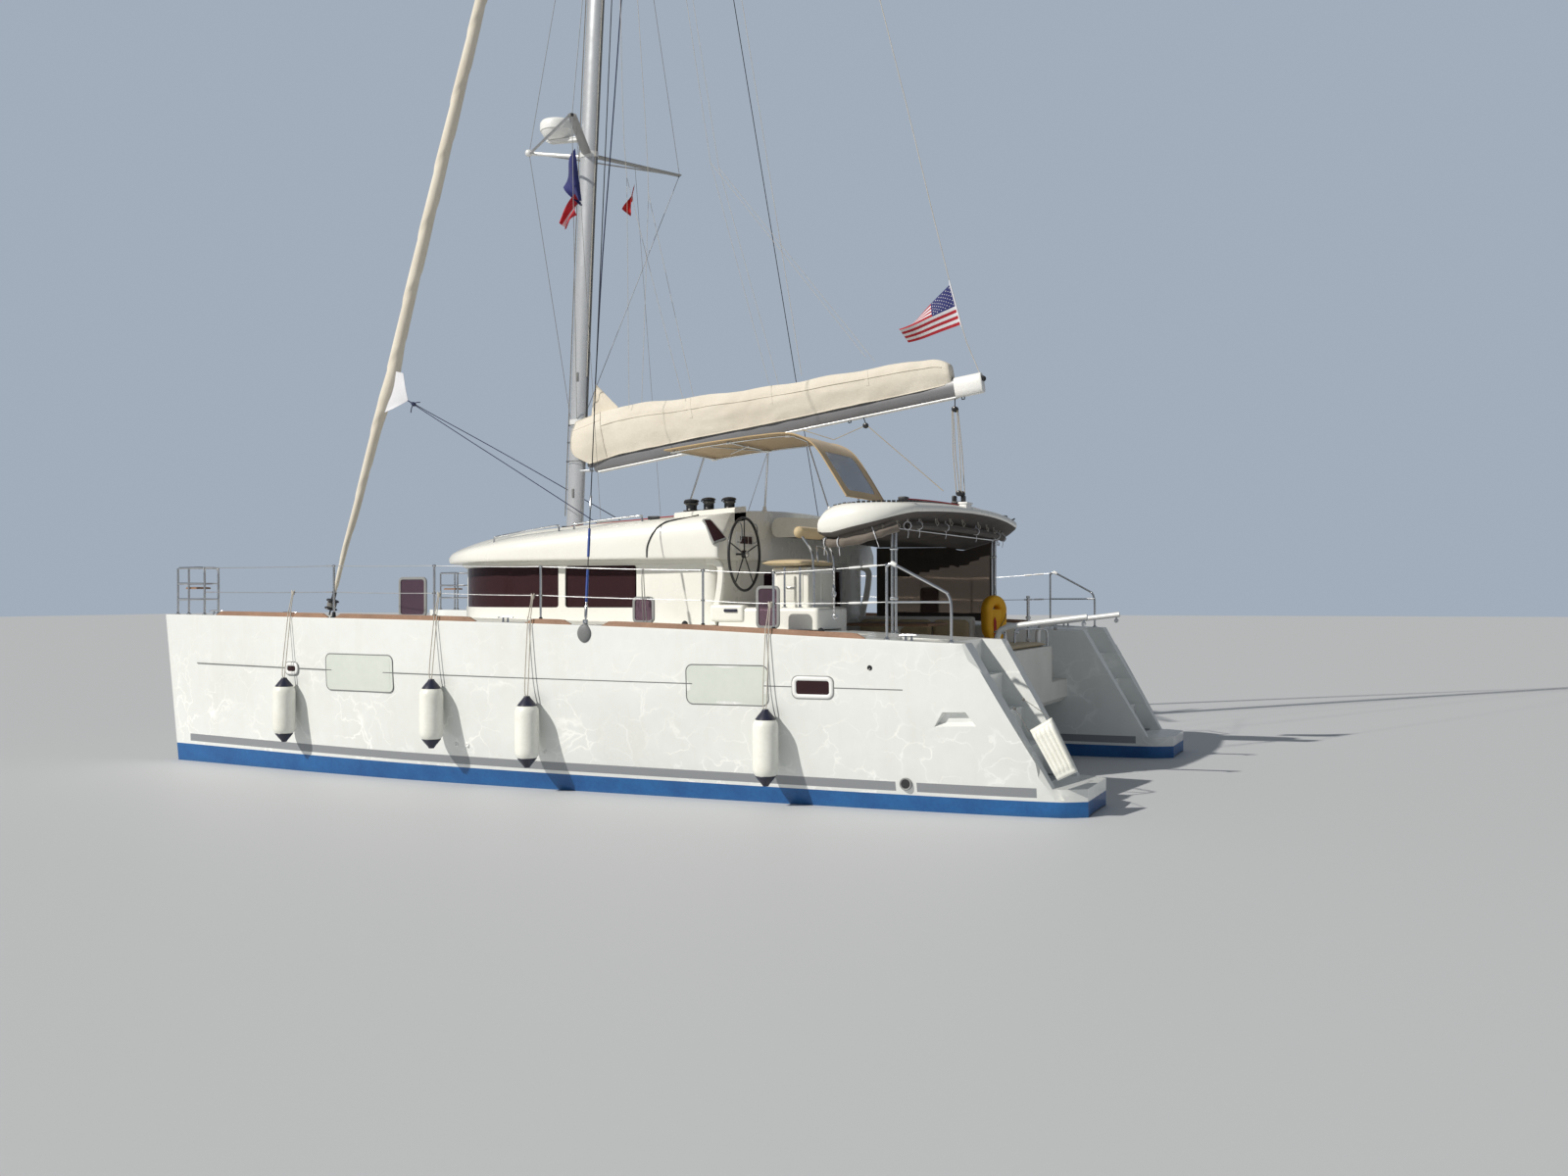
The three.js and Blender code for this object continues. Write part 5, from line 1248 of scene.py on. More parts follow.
def buildHardtop():
    part = Part()
    outline = hardOutline()
    middle, count = Vector((-3.0, 0)), len(outline)
    inward = []
    for i, p in enumerate(outline):
        tangent = (outline[(i + 1) % count] - outline[i - 1]).normalized()
        normal = Vector((tangent.y, -tangent.x))
        inward.append(normal if normal.dot(middle - p) > 0 else -normal)
    rows = hardtop["edge"]
    rings = []

    def ring(scale, inset, share):
        points = []
        for p, n in zip(outline, inward):
            q = middle + (p + n * inset - middle) * scale
            low, top = hardLow(q.x, q.y), hardTop(q.x, q.y)
            points.append(Vector((q.x, q.y, low + (top - low) * share)))
        return points
    for scale in (0.06, 0.3, 0.6, 0.85):
        rings.append(ring(scale, 0.10, 0.0))
    rings += [ring(1.0, inset, share) for inset, share in rows]
    for scale in (0.92, 0.8, 0.66, 0.52, 0.38, 0.24, 0.1, 0.03):
        rings.append(ring(scale, 0.10, 1.0 - 0.015 * scale))
    part.skin(rings)
    made = toObject("hardtopShell", part, "gelcoat", 40)
    notch = Part()
    x, y = hardtop["notch"]
    outline = [(x, 3.2), (x, y + 0.18), (x + 0.015, y + 0.09), (x + 0.06, y + 0.03), (x + 0.14, y), (-1.0, y),
               (-1.0, 3.2)]
    notch.prism([(px, py, 2.0) for px, py in outline], (0, 0, 2))
    carve(made, [notch], 40)
    soften(made, 0.03, 3, 55)
    # the downward faces under the hardtop take the dark tone as painted shade
    lined(made, lambda c, n: n.z < -0.55 and hardLow(c.x, c.y) - 0.01 < c.z < hardLow(c.x, c.y) + 0.05, "hardtopUnderShade")
    settle(made, "boat", "hardtop")


buildHardtop()
print("house and tops done")

rig = {"gooseneck": (1.31, 0, 3.825), "boomEnd": (-4.08, 0, 4.6), "mastZ": [2.96, 9.0, 15.0, 17.5, 19.3],
       "mastX": [1.55, 1.262, 0.895, 0.715, 0.575], "mastSize": [1, 1, 1, 0.95, 0.8], "along": 0.122, "across": 0.076,
       "stayFoot": (5.722, 0, 1.7423), "stayHead": (0.7175 + 0.167, 0, 17.4566)}
mastAt = through(rig["mastZ"], rig["mastX"])
mastSize = through(rig["mastZ"], rig["mastSize"])
boomRise = math.atan2(rig["boomEnd"][2] - rig["gooseneck"][2], rig["gooseneck"][0] - rig["boomEnd"][0])
boomLong = math.hypot(rig["gooseneck"][0] - rig["boomEnd"][0], rig["boomEnd"][2] - rig["gooseneck"][2])


def onBoom(x, y, z):
    # from the boom's own axes, x forwards of the pin, to the boat's
    c, s = math.cos(boomRise), math.sin(boomRise)
    g = rig["gooseneck"]
    return Vector((g[0] + x * c + z * s, y, g[2] - x * s + z * c))


def buildMast():
    part = Part()
    rings = []
    heights = [2.992 + (19.3 - 2.992) * k / 40 for k in range(41)]
    for z in heights:
        size, x = mastSize(z), mastAt(z)
        ring = []
        for j in range(36):
            a = 2 * math.pi * j / 36
            u, v = math.cos(a), math.sin(a)
            groove = 0.78 if j == 18 else (0.93 if j in (17, 19) else 1.0)
            ring.append((x + rig["along"] * size * groove * u, rig["across"] * size * math.copysign(abs(v) ** 0.92, v),
                         z))
        rings.append(ring)
    part.skin(rings)
    part.block((1.36, -0.135, 2.93), (1.73, 0.135, 2.995), 0.012)
    part.block((0.27, -0.024, 19.235), (0.60, 0.024, 19.297), 0.01)
    part.lathe([(0.05, 0), (0.052, 0.012), (0.03, 0.02), (0.028, 0.07), (0, 0.075)], (0.45, 0, 19.225), (0, 0, -1), 14)
    for z in (3.90, 3.748):
        part.block((1.28, -0.058, z - 0.012), (1.46, 0.058, z + 0.012), 0.006)
    part.tube([(1.31 + 0.0043, 0, 3.735), (1.31 - 0.0043, 0, 3.915)], 0.0105, 12)
    x = mastAt(17.46)
    part.block((x + 0.05, -0.018, 17.461), (x + 0.188, 0.018, 17.479), 0.004)
    finish("mastTube", part, "mastAlloy", stands="mast")
    fittings = Part()
    track = [(mastAt(z) - rig["along"] * mastSize(z) - 0.004, 0, z) for z in heights if z > 4.1]
    fittings.tube(track, 0.009, 6)
    for z, side in ((4.35, 1), (4.62, -1), (5.0, 1), (3.45, 1), (3.6, -1)):  # halyard exits and cleats on the mast
        x = mastAt(z)
        fittings.block((x - 0.016, side * 0.074 - 0.012, z - 0.06), (x + 0.016, side * 0.074 + 0.012, z + 0.06), 0.006)
    finish("mastFittings", fittings, "seam")


def buildBoom():
    section = [(0, 0.120), (0.03, 0.114), (0.052, 0.098), (0.068, 0.06), (0.073, 0.0), (0.07, -0.05), (0.058, -0.095),
               (0.036, -0.115), (0, -0.117)]
    outline = section + [(-y, z) for y, z in reversed(section[1:-1])]
    part = Part()
    part.skin([[onBoom(x, y * k, z * k) for y, z in outline] for x, k in
               ((-0.088, 0.9), (-0.092, 0.97), (-0.12, 1.0), (-boomLong + 0.33, 1.0))])
    part.block((-0.15, -0.021, -0.039), (0.0, 0.021, 0.039), 0.004, Matrix.Rotation(boomRise, 3, "Y"), rig["gooseneck"])
    ring = lambda x, r: [onBoom(x, r * math.sin(2 * math.pi * k / 20), r * math.cos(2 * math.pi * k / 20))
                         for k in range(20)]
    part.skin([ring(-0.03, 0.024), ring(0.026, 0.024)])
    # the white lower lips along the grey boom are a painted highlight of its lit lower edge
    for y in (-0.034, 0.034):  # bright lower lips of the boom
        part.look = 1
        part.tube([onBoom(-0.13, y, -0.116), onBoom(-boomLong + 0.34, y, -0.116)], 0.013, 10)
    finish("boomSpar", part, ("boomGreyAndShade", "spar"), "boom", "boom")
    cap = Part()
    end = -boomLong
    cap.skin([[onBoom(x, y * k, z * k) for y, z in outline] for x, k in
              ((end + 0.34, 1.0), (end + 0.335, 1.045), (end + 0.02, 1.045), (end + 0.006, 1.02), (end, 0.94))])
    finish("boomEndCap", cap, "whitePlastic", "boom")
    sheaves = Part()
    for y in (-0.03, 0.03):
        sheaves.lathe([(0.03, -0.011), (0.034, -0.009), (0.028, 0), (0.034, 0.009), (0.03, 0.011)],
                      onBoom(end - 0.001, y, 0.05), (0, 1, 0), 16)
    for x in (-3.72, -5.18):
        sheaves.tube([onBoom(x - 0.02, 0, -0.112), onBoom(x - 0.015, 0, -0.15), onBoom(x + 0.015, 0, -0.15),
                      onBoom(x + 0.02, 0, -0.112)], 0.006, 8)
    finish("boomSheaves", sheaves, "black", "boom")


cover = {"x": [-5.085, -5.07, -4.98, -4.88, -4.18, -2.85, -1.5, -0.6, -0.33, -0.16, -0.105],
         "high": [0.27, 0.30, 0.37, 0.40, 0.44, 0.495, 0.60, 0.675, 0.655, 0.625, 0.61],
         "low": [0.075, 0.06, 0.05, 0.045, 0.035, 0.035, 0.045, 0.045, 0.03, 0.0, -0.005],
         "wide": [0.10, 0.118, 0.125, 0.13, 0.152, 0.166, 0.166, 0.160, 0.155, 0.150, 0.148]}
coverLine = {key: through(cover["x"], cover[key]) for key in ("high", "low", "wide")}


def coverRing(x, count=30):
    high, low, wide = coverLine["high"](x), coverLine["low"](x), coverLine["wide"](x)
    ring = []
    for k in range(count + 1):
        # open U: up the port side, over the zip, down the starboard side
        t = k / count
        side, s = (1, t * 2) if t < 0.5 else (-1, (1 - t) * 2)
        y = side * wide * (0.52 + 0.55 * math.sin(math.pi * min(1, s * 1.25) * 0.5) - 0.78 * max(0, s - 0.35) ** 1.35)
        z = low + (high - low) * (1 - (1 - s) ** 1.25)
        p = Vector((x, y, z))
        fine = noise.noise(Vector((x * 5 + z * 6, y * 9, z * 4 - x * 2)))
        wrinkle = noise.noise(Vector((x * 1.6, y * 6, z * 7))) * 0.016 + fine * 0.008
        dip = 0.010 * math.sin(x * 7.5) * max(0.0, 1 - abs(t - 0.5) * 4)
        ring.append(onBoom(p.x, p.y + math.copysign(wrinkle, p.y if abs(p.y) > 0.02 else 1) * min(1, abs(p.y) / 0.05),
                           p.z + wrinkle * 0.3 - dip))
    return ring


def buildCover():
    part = Part()
    xs = [-5.085, -5.08, -5.07, -5.04] + [-5.0 + 4.87 * k / 110 for k in range(111)] + [-0.118, -0.109, -0.105]
    outer = [coverRing(x) for x in xs]
    closed = []
    for ring in outer:
        inner = [ring[-1].lerp(ring[0], t) + (onBoom(0, 0, 0.05 + 0.03 * math.sin(math.pi * t)) - onBoom(0, 0, 0))
                 for t in (k / 8 for k in range(1, 8))]
        closed.append(ring + inner)
    part.skin(closed)
    made = finish("sailCover", part, "bagCloth", "boom", "sail_bag", 60)
    seams = Part()
    for side in (1, -1):
        for i, radius in ((9, 0.006), (0, 0.007)):
            path = [coverRing(-5.0 + 4.8 * k / 120)[i if side > 0 else 30 - i] for k in range(121)]
            seams.tube([p + Vector((0, 0.003 * side, 0)) for p in path], radius, 6)
    for x in (-1.646, -2.78, -4.06):  # straps across the cover
        ring = coverRing(x)
        rows = []
        for p in ring[6:25]:
            out = Vector((0, p.y, 0)).normalized() * 0.004 if abs(p.y) > 0.02 else Vector((0, 0, 0.004))
            rows.append([p + out * lift + Vector((dx, 0, 0)) for lift,
                         dx in ((1, 0.02), (1, -0.02), (-0.5, -0.02), (-0.5, 0.02))])
        seams.skin(rows)
    finish("sailCoverSeams", seams, "bagCloth", "boom")
    head = Part()  # head of the stowed sail beside the mast
    corners = [onBoom(-0.06, 0, 0.46), onBoom(-0.243, 0, 1.04), onBoom(-0.37, 0, 0.885), onBoom(-0.54, 0, 0.68)]
    top, under = [], []
    left = softPath([corners[1], corners[1].lerp(corners[0], 0.5), corners[0]], 6)
    right = softPath([corners[1] + Vector((-0.004, 0, 0)), corners[2], corners[3]], 6)
    for a, b in zip(left, right):
        row = [a.lerp(b, t) + Vector((0, 0.012 * math.sin(9 * t + a.z * 7), 0)) for t in (0, 0.2, 0.4, 0.6, 0.8, 1)]
        top.append([p + Vector((0, 0.004, 0)) for p in row])
        under.append([p - Vector((0, 0.004, 0)) for p in row])
    head.slab(top, under)
    finish("sailHead", head, "sailcloth", "boom", sharp=70)


# cloth cheeks that lap forwards from the cover past both sides of the mast, laced round its front
collar = {"lap": -0.32,
          "front": [(-0.064, -0.005), (0.159, 0.168), (0.150, 0.40), (0.066, 0.585)],
          "frontWide": [0.112, 0.128, 0.128, 0.106],
          "thick": 0.003, "cloth": (0.46, 0.66)}


def buildCollar(name, side):
    part, hems = Part(), Part()
    steps = 16
    lap = [Vector((p.x, p.y * side, p.z)) for p in coverRing(collar["lap"])[0:15]]
    knots = [onBoom(x, y * side, z) for (x, z), y in zip(collar["front"], collar["frontWide"])]
    edges = []
    for path in (lap, softPath(knots, 8)):
        marks = [k * (len(path) - 1) / steps for k in range(steps + 1)]
        edges.append([path[int(m)].lerp(path[min(len(path) - 1, int(m) + 1)], m - int(m)) for m in marks])
    outer, inner = [], []
    for k in range(steps + 1):
        a, b = edges[0][k], edges[1][k]
        row, back = [], []
        for j in range(13):
            t = j / 12
            p = a.lerp(b, t)
            swell = 0.018 * math.sin(math.pi * t) * math.sin(math.pi * min(1, k / steps * 1.2))
            fold = 0.007 * noise.noise(Vector((p.x * 7, side * 3, p.z * 9))) * math.sin(math.pi * t)
            out = (0.007 + swell + fold) * side
            row.append(p + Vector((0, out, 0)))
            back.append(p + Vector((0, out - collar["thick"] * side, 0)))
        outer.append(row)
        inner.append(back)
    part.slab(outer, inner)
    for path in ([row[-1] for row in outer], outer[-1], outer[0],
                 [p.lerp(q, 0.5) for p, q in zip(outer[12], outer[13])]):
        hems.tube([p + Vector((0, 0.001 * side, 0)) for p in path], 0.0045, 6)
    made = toObject(f"sailCollar_{name}", part, "bagCloth", 70)
    hem = toObject(f"sailCollarHem_{name}", hems, "bagCloth", 70)
    for piece in (made, hem):
        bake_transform(piece)
    return outer


def buildCollarLacing(port, starboard):
    lacing = Part()
    for k in (2, 9, 15):
        a, b = port[k][-1], starboard[k][-1]
        x = mastAt(a.z) + rig["along"] + 0.012
        lacing.tube(softPath([a, Vector((x - 0.03, a.y * 0.72, a.z)), Vector((x, 0, a.z)),
                              Vector((x - 0.03, b.y * 0.72, a.z)), b], 6), 0.004, 8)
    finish("collarLacing", lacing, "black")


# headsail rolled on its stay: radius and backward lean by distance up the stay, and corners of the free clew
headsail = {"at": [0.42, 0.55, 0.91, 1.18, 1.72, 2.26, 2.80, 3.14, 3.34, 3.60, 3.85, 4.37, 6.0, 10.0, 13.5, 15.1, 15.25,
                   15.32],
            "radius": [0.018, 0.03, 0.038, 0.043, 0.056, 0.063, 0.073, 0.087, 0.102, 0.104, 0.096, 0.086, 0.088, 0.078,
                       0.055, 0.03, 0.016, 0.010],
            "leanAt": [0.42, 0.91, 1.72, 2.80, 3.34, 3.70, 4.37, 6.0, 10.0, 15.32],
            "lean": [0.0, -0.008, 0.02, 0.033, 0.072, 0.088, 0.062, 0.05, 0.04, 0.0],
            "clew": [(4.337, 0.05, 5.233), (4.252, 0.05, 4.843), (4.51, 0.05, 4.738)]}


def buildHeadsail():
    foot, head = Vector(rig["stayFoot"]), Vector(rig["stayHead"])
    along = (head - foot).normalized()
    long = (head - foot).length
    across = along.orthogonal().normalized()
    other = along.cross(across)
    radius, lean = through(headsail["at"], headsail["radius"]), through(headsail["leanAt"], headsail["lean"])
    back = Vector((-along.z, 0, along.x))
    core = lambda h: foot + along * h + back * lean(h)
    part = Part()
    rings, lengths = [], []
    h = headsail["at"][0]
    while h < headsail["at"][-1]:
        ring = []
        r = radius(h)
        for j in range(28):
            a = 2 * math.pi * j / 28
            spiral = ((a / (2 * math.pi) - h / 0.95) % 1.0)
            fold = 0.85 + 0.18 * spiral ** 0.6 if spiral > 0.05 else 0.85 + 0.18 * (1 - spiral / 0.05)
            crease = 1 + 0.03 * noise.noise(Vector((math.cos(a) * 2, math.sin(a) * 2, h * 1.7)))
            ring.append(core(h) + (across * math.cos(a) + other * math.sin(a)) * r * fold * crease)
        rings.append(ring)
        lengths.append(h)
        h += 0.055 if h > 0.95 else 0.03
    part.skin(rings, lengths=lengths)
    finish("furledSail", part, "sailcloth", stands="furled_headsail", sharp=50)
    stay = Part()
    stay.tube([foot + along * 15.25, foot + along * (long - 0.01)], 0.010, 8)
    stay.lathe([(0.02, 0), (0.032, 0.02), (0.032, 0.14), (0.02, 0.16)], foot + along * 15.5, along, 16)
    finish("forestayHead", stay, "aluminium")
    drum = Part()
    drum.lathe([(0.010, 0.0036), (0.012, 0.15), (0.05, 0.152), (0.085, 0.158), (0.092, 0.166), (0.088, 0.174),
                (0.062, 0.182), (0.058, 0.20), (0.058, 0.255),
                (0.062, 0.27), (0.088, 0.278), (0.092, 0.286), (0.085, 0.296), (0.034, 0.31), (0.03, 0.33),
                (0.03, 0.419)], foot, along, 32)
    finish("furlerDrum", drum, "black", stands="furler_drum")
    wraps = Part()
    for k in range(5):
        ring = [foot + along * (0.205 + 0.012 * k) + (across * math.cos(a) + other * math.sin(a)) * 0.063
                for a in angles(20, 1)]
        wraps.tube(ring, 0.0055, 6)
    finish("furlerTurns", wraps, "ropeGrey")
    clew = Part()  # clew flap that stays outside the roll
    corners = [Vector(p) for p in headsail["clew"]]
    outer = [corners[0].lerp(corners[1], k / 5) for k in range(5)]
    outer += [corners[1].lerp(corners[2], k / 4) for k in range(5)]
    top, under = [], []
    for i, b in enumerate(outer):
        a = core(3.74 - 0.66 * i / (len(outer) - 1)) + Vector((0, 0.02, 0))
        row = [a.lerp(b, t) + Vector((0, 0.012 * math.sin(math.pi * t) + 0.006 * math.sin(5 * t + i), 0))
               for t in (0, 0.25, 0.5, 0.75, 1)]
        top.append([p + Vector((0, 0.003, 0)) for p in row])
        under.append([p - Vector((0, 0.003, 0)) for p in row])
    clew.slab(top, under)
    finish("sailClew", clew, "flagWhite", sharp=70)


buildMast()
buildBoom()
buildCover()
buildCollarLacing(*[buildCollar(name, side) for name, side in bothSides])
buildHeadsail()
print("rig dressed")

fenders = [{"x": 3.48, "top": 1.13}, {"x": 1.12, "top": 1.18}, {"x": -0.14, "top": 1.03}, {"x": -2.89, "top": 0.97}]


def buildFender(i, x, top):
    lean = (outerSide(x + 0.05, top - 0.16) - outerSide(x - 0.05, top - 0.16)) / 0.1
    y = outerSide(x, top - 0.16) + 0.1308 * math.hypot(1, lean)
    body, caps, lines = Part(), Part(), Part()
    at = Vector((x, y, top))
    body.lathe([(0.100, -0.655), (0.118, -0.632), (0.128, -0.60), (0.1295, -0.55), (0.1295, -0.21), (0.128, -0.165),
                (0.119, -0.13), (0.100, -0.105)], at, (0, 0, 1), 36)
    for sign, mid in ((1, -0.105), (-1, -0.655)):
        rows = [(0.1015, 0.0), (0.1035, 0.004 * sign), (0.100, 0.010 * sign), (0.072, 0.046 * sign),
                (0.046, 0.076 * sign), (0.034, 0.092 * sign), (0.029, 0.103 * sign), (0, 0.1035 * sign)]
        caps.lathe([(r, mid + h) for r, h in rows], at, (0, 0, 1), 32)
        hole = at + Vector((0, 0, mid + 0.082 * sign))
        caps.lathe([(0.010, -0.042), (0.013, -0.040), (0.013, 0.040), (0.010, 0.042)], hole, (0, 1, 0), 12)
    rail = (x, line["deckOut"](x) - 0.045, line["sheer"](x) + 0.29)
    edge = (x, line["deckOut"](x) + 0.014, line["sheer"](x) + 0.055)
    for shift in (-0.012, 0.03):
        path = softPath([at + Vector((shift * 0.2, 0.0, -0.018)), at + Vector((shift, -0.004, 0.10)),
                         (edge[0] + shift * 0.9, edge[1], edge[2] - 0.05),
                         (edge[0] + shift * 0.7, edge[1] - 0.006, edge[2] + 0.01),
                         (rail[0] + shift * 0.3, rail[1], rail[2])], 6)
        lines.tube(path, 0.0055, 8)
    ring = [Vector((rail[0] + 0.016 * math.cos(a), rail[1] + 0.012 * math.sin(a), rail[2] + 0.012 * math.sin(2 * a)))
            for a in angles(16, 1)]
    for lift in (-0.02, -0.005, 0.01):
        lines.tube([p + Vector((0, 0, lift)) for p in ring], 0.0055, 6)
    finish(f"fenderBody_{i}", body, "fender", stands=f"fender_{i}", sharp=50)
    finish(f"fenderCaps_{i}", caps, "fenderCap")
    finish(f"fenderLines_{i}", lines, "ropeWhite")


for number, spot in enumerate(fenders, 1):
    buildFender(number, **spot)
print("fenders hung")


# geometry trees, each built once: first and last steps are shared, the middle makes the new geometry
def geometryTree(name, inputs, build):
    tree = bpy.data.node_groups.new(name, "GeometryNodeTree")
    for label, kind, value in (("Geometry", "NodeSocketGeometry", None), *inputs,
                               ("Finish", "NodeSocketMaterial", None)):
        socket = tree.interface.new_socket(name=label, in_out="INPUT", socket_type=kind)
        if value is not None:
            socket.default_value = value
    tree.interface.new_socket(name="Geometry", in_out="OUTPUT", socket_type="NodeSocketGeometry")
    w = Wires(tree)
    start, end = tree.nodes.new("NodeGroupInput"), tree.nodes.new("NodeGroupOutput")
    path = w.node("GeometryNodeMeshToCurve", {"Mesh": start.outputs["Geometry"]})
    real = w.node("GeometryNodeRealizeInstances", {"Geometry": build(w, path.outputs[0], start.outputs)})
    done = w.node("GeometryNodeSetMaterial", {"Geometry": real.outputs[0], "Material": start.outputs["Finish"]})
    w.join(done.outputs[0], end.inputs[0])
    return tree


def setItems(w, path, given):
    # one item set along the path at even steps
    even = w.node("GeometryNodeResampleCurve", {"Curve": path, "Count": given["Count"]}, mode="COUNT")
    item = w.node("GeometryNodeObjectInfo", {"Object": given["Item"]}, transform_space="ORIGINAL")
    tangent = w.node("GeometryNodeInputTangent")
    turned = w.node("FunctionNodeAlignRotationToVector", {"Vector": tangent.outputs[0]}, axis="X")
    rolled = w.node("FunctionNodeAxisAngleToRotation", {"Axis": (1, 0, 0), "Angle": given["Roll"]})
    both = w.node("FunctionNodeRotateRotation", {"Rotation": turned.outputs[0], "Rotate By": rolled.outputs[0]},
                  rotation_space="LOCAL")
    return w.node("GeometryNodeInstanceOnPoints", {"Points": even.outputs[0], "Instance": item.outputs["Geometry"],
                                                   "Rotation": both.outputs[0], "Scale": given["Size"]}).outputs[0]


def setStrands(w, path, given):
    # open net: every edge of the mesh becomes a round strand
    ring = w.node("GeometryNodeCurvePrimitiveCircle", {"Resolution": given["Sides"], "Radius": given["Radius"]},
                  mode="RADIUS")
    return w.node("GeometryNodeCurveToMesh",
                  {"Curve": path, "Profile Curve": ring.outputs[0], "Fill Caps": True}).outputs[0]


alongTree = geometryTree("itemsAlongPath", (("Item", "NodeSocketObject", None), ("Count", "NodeSocketInt", 10),
                                            ("Size", "NodeSocketFloat", 1.0), ("Roll", "NodeSocketFloat", 0.0)),
                         setItems)
strandTree = geometryTree("strandsAlongEdges", (("Radius", "NodeSocketFloat", 0.003), ("Sides", "NodeSocketInt", 4)),
                          setStrands)


def grow(name, points, edges, tree, inputs, body="boat", stands=()):
    # run one of the trees on a bare path or net and keep the plain mesh
    mesh = bpy.data.meshes.new(name)
    mesh.from_pydata([tuple(p) for p in points], edges, [])
    made = bpy.data.objects.new(name, mesh)
    scene.collection.objects.link(made)
    grower = made.modifiers.new("grow", "NODES")
    grower.node_group = tree
    for socket in tree.interface.items_tree:
        if socket.in_out == "INPUT" and socket.name in inputs:
            grower[socket.identifier] = inputs[socket.name]
    plain = plainMesh(made, 45)
    if not plain.materials:
        plain.materials.append(inputs["Finish"])
    for face in plain.polygons:
        face.use_smooth = True
    plain.set_sharp_from_angle(angle=math.radians(45))
    return settle(made, body, stands)


def alongPath(name, path, item, count, look, size=1.0, roll=0.0, body="boat", stands=()):
    tool = bareTool("item", item)
    edges = [(i, i + 1) for i in range(len(path) - 1)]
    made = grow(name, path, edges, alongTree,
                {"Item": tool, "Count": count, "Size": size, "Roll": roll, "Finish": paint[look]}, body, stands)
    bpy.data.objects.remove(tool)
    return made


# canvas top over the helm: flat in front, sloping down aft, with a clear window in the slope
bimini = {"line": [(-1.122, 3.699), (-1.36, 3.728), (-1.63, 3.757), (-2.1, 3.799), (-2.45, 3.822), (-2.62, 3.818),
                   (-2.76, 3.78), (-2.88, 3.71), (-2.98, 3.60), (-3.10, 3.415), (-3.28, 3.128)],
          "near": 2.44, "far": 1.24, "camber": 0.012, "thick": 0.003, "window": (1.40, 2.28, -2.96, -3.235)}
biminiPath = [Vector((p.x, 0, p.z)) for p in softPath([(x, 0, z) for x, z in bimini["line"]], 8)]


def biminiPoint(i, v, lift=0.0):
    p = biminiPath[i]
    along = heading(biminiPath, i)
    up = Vector((along.z, 0, -along.x))
    y = bimini["far"] + (bimini["near"] - bimini["far"]) * v
    share = i / (len(biminiPath) - 1)
    between = abs(math.sin(share * math.pi * 3.2))
    crown = bimini["camber"] * (1 - (2 * v - 1) ** 2) - 0.010 * between * (1 - abs(2 * v - 1) ** 3)
    ripple = 0.003 * noise.noise(Vector((p.x * 5, y * 5, 1.7)))
    return Vector((p.x, y, p.z)) + up * (crown + ripple + lift)


def buildBimini():
    part = Part()
    rows, cols = len(biminiPath), 25
    top = [[biminiPoint(i, j / (cols - 1), 0.0) for j in range(cols)] for i in range(rows)]
    under = [[biminiPoint(i, j / (cols - 1), -bimini["thick"]) for j in range(cols)] for i in range(rows)]
    part.slab(top, under)
    made = toObject("biminiCanvas", part, "canvas", 60)
    low, high, fore, aft = bimini["window"]
    slope = (Vector((-3.28, 0, 3.128)) - Vector((-2.98, 0, 3.60))).normalized()
    up = Vector((-slope.z, 0, slope.x))
    if up.z < 0:
        up = -up
    foot = Vector((-3.10, 0, 3.415))
    at = lambda x, y, lift: foot + slope * ((x - foot.x) / slope.x) + Vector((0, y, 0)) + up * lift
    cutter = Part()
    outline = roundedOutline(low, high, -fore, -aft, 0.06)
    cutter.prism([at(-x, y, -0.12) for y, x in outline], up * 0.24)
    carve(made, [cutter], 60)
    settle(made, "boat", "bimini_canvas")
    pane = Part()
    start = next(i for i, p in enumerate(biminiPath) if p.x < fore + 0.03)
    stop = max(i for i, p in enumerate(biminiPath) if p.x > aft - 0.03)
    share = lambda y: (y - bimini["far"]) / (bimini["near"] - bimini["far"])
    grid = [[biminiPoint(i, share(low - 0.02) + (share(high + 0.02) - share(low - 0.02)) * j / 12, -0.0034)
             for j in range(13)] for i in range(start, stop + 1)]
    pane.slab(grid, [[p - up * 0.0012 for p in row] for row in grid])
    pane = finish("biminiWindow", pane, "clearVinyl", sharp=60)
    hem = Part()
    for v in (0.0, 1.0):
        hem.tube([biminiPoint(i, v) for i in range(rows)], 0.009, 8)
    for i in (0, rows - 1):
        hem.tube([biminiPoint(i, k / 20) for k in range(21)], 0.009, 8)
    edging = finish("biminiHem", hem, "canvas", sharp=60)
    stitchPath = [biminiPoint(i, 0.985, 0.0015) for i in range(rows)]
    stitch = Part()
    stitch.block((-0.004, -0.0008, -0.0006), (0.004, 0.0008, 0.0006), 0.0)
    alongPath("biminiStitches", stitchPath, stitch, 260, "flagWhite")
    length = sum((b - a).length for a, b in zip(biminiPath, biminiPath[1:]))


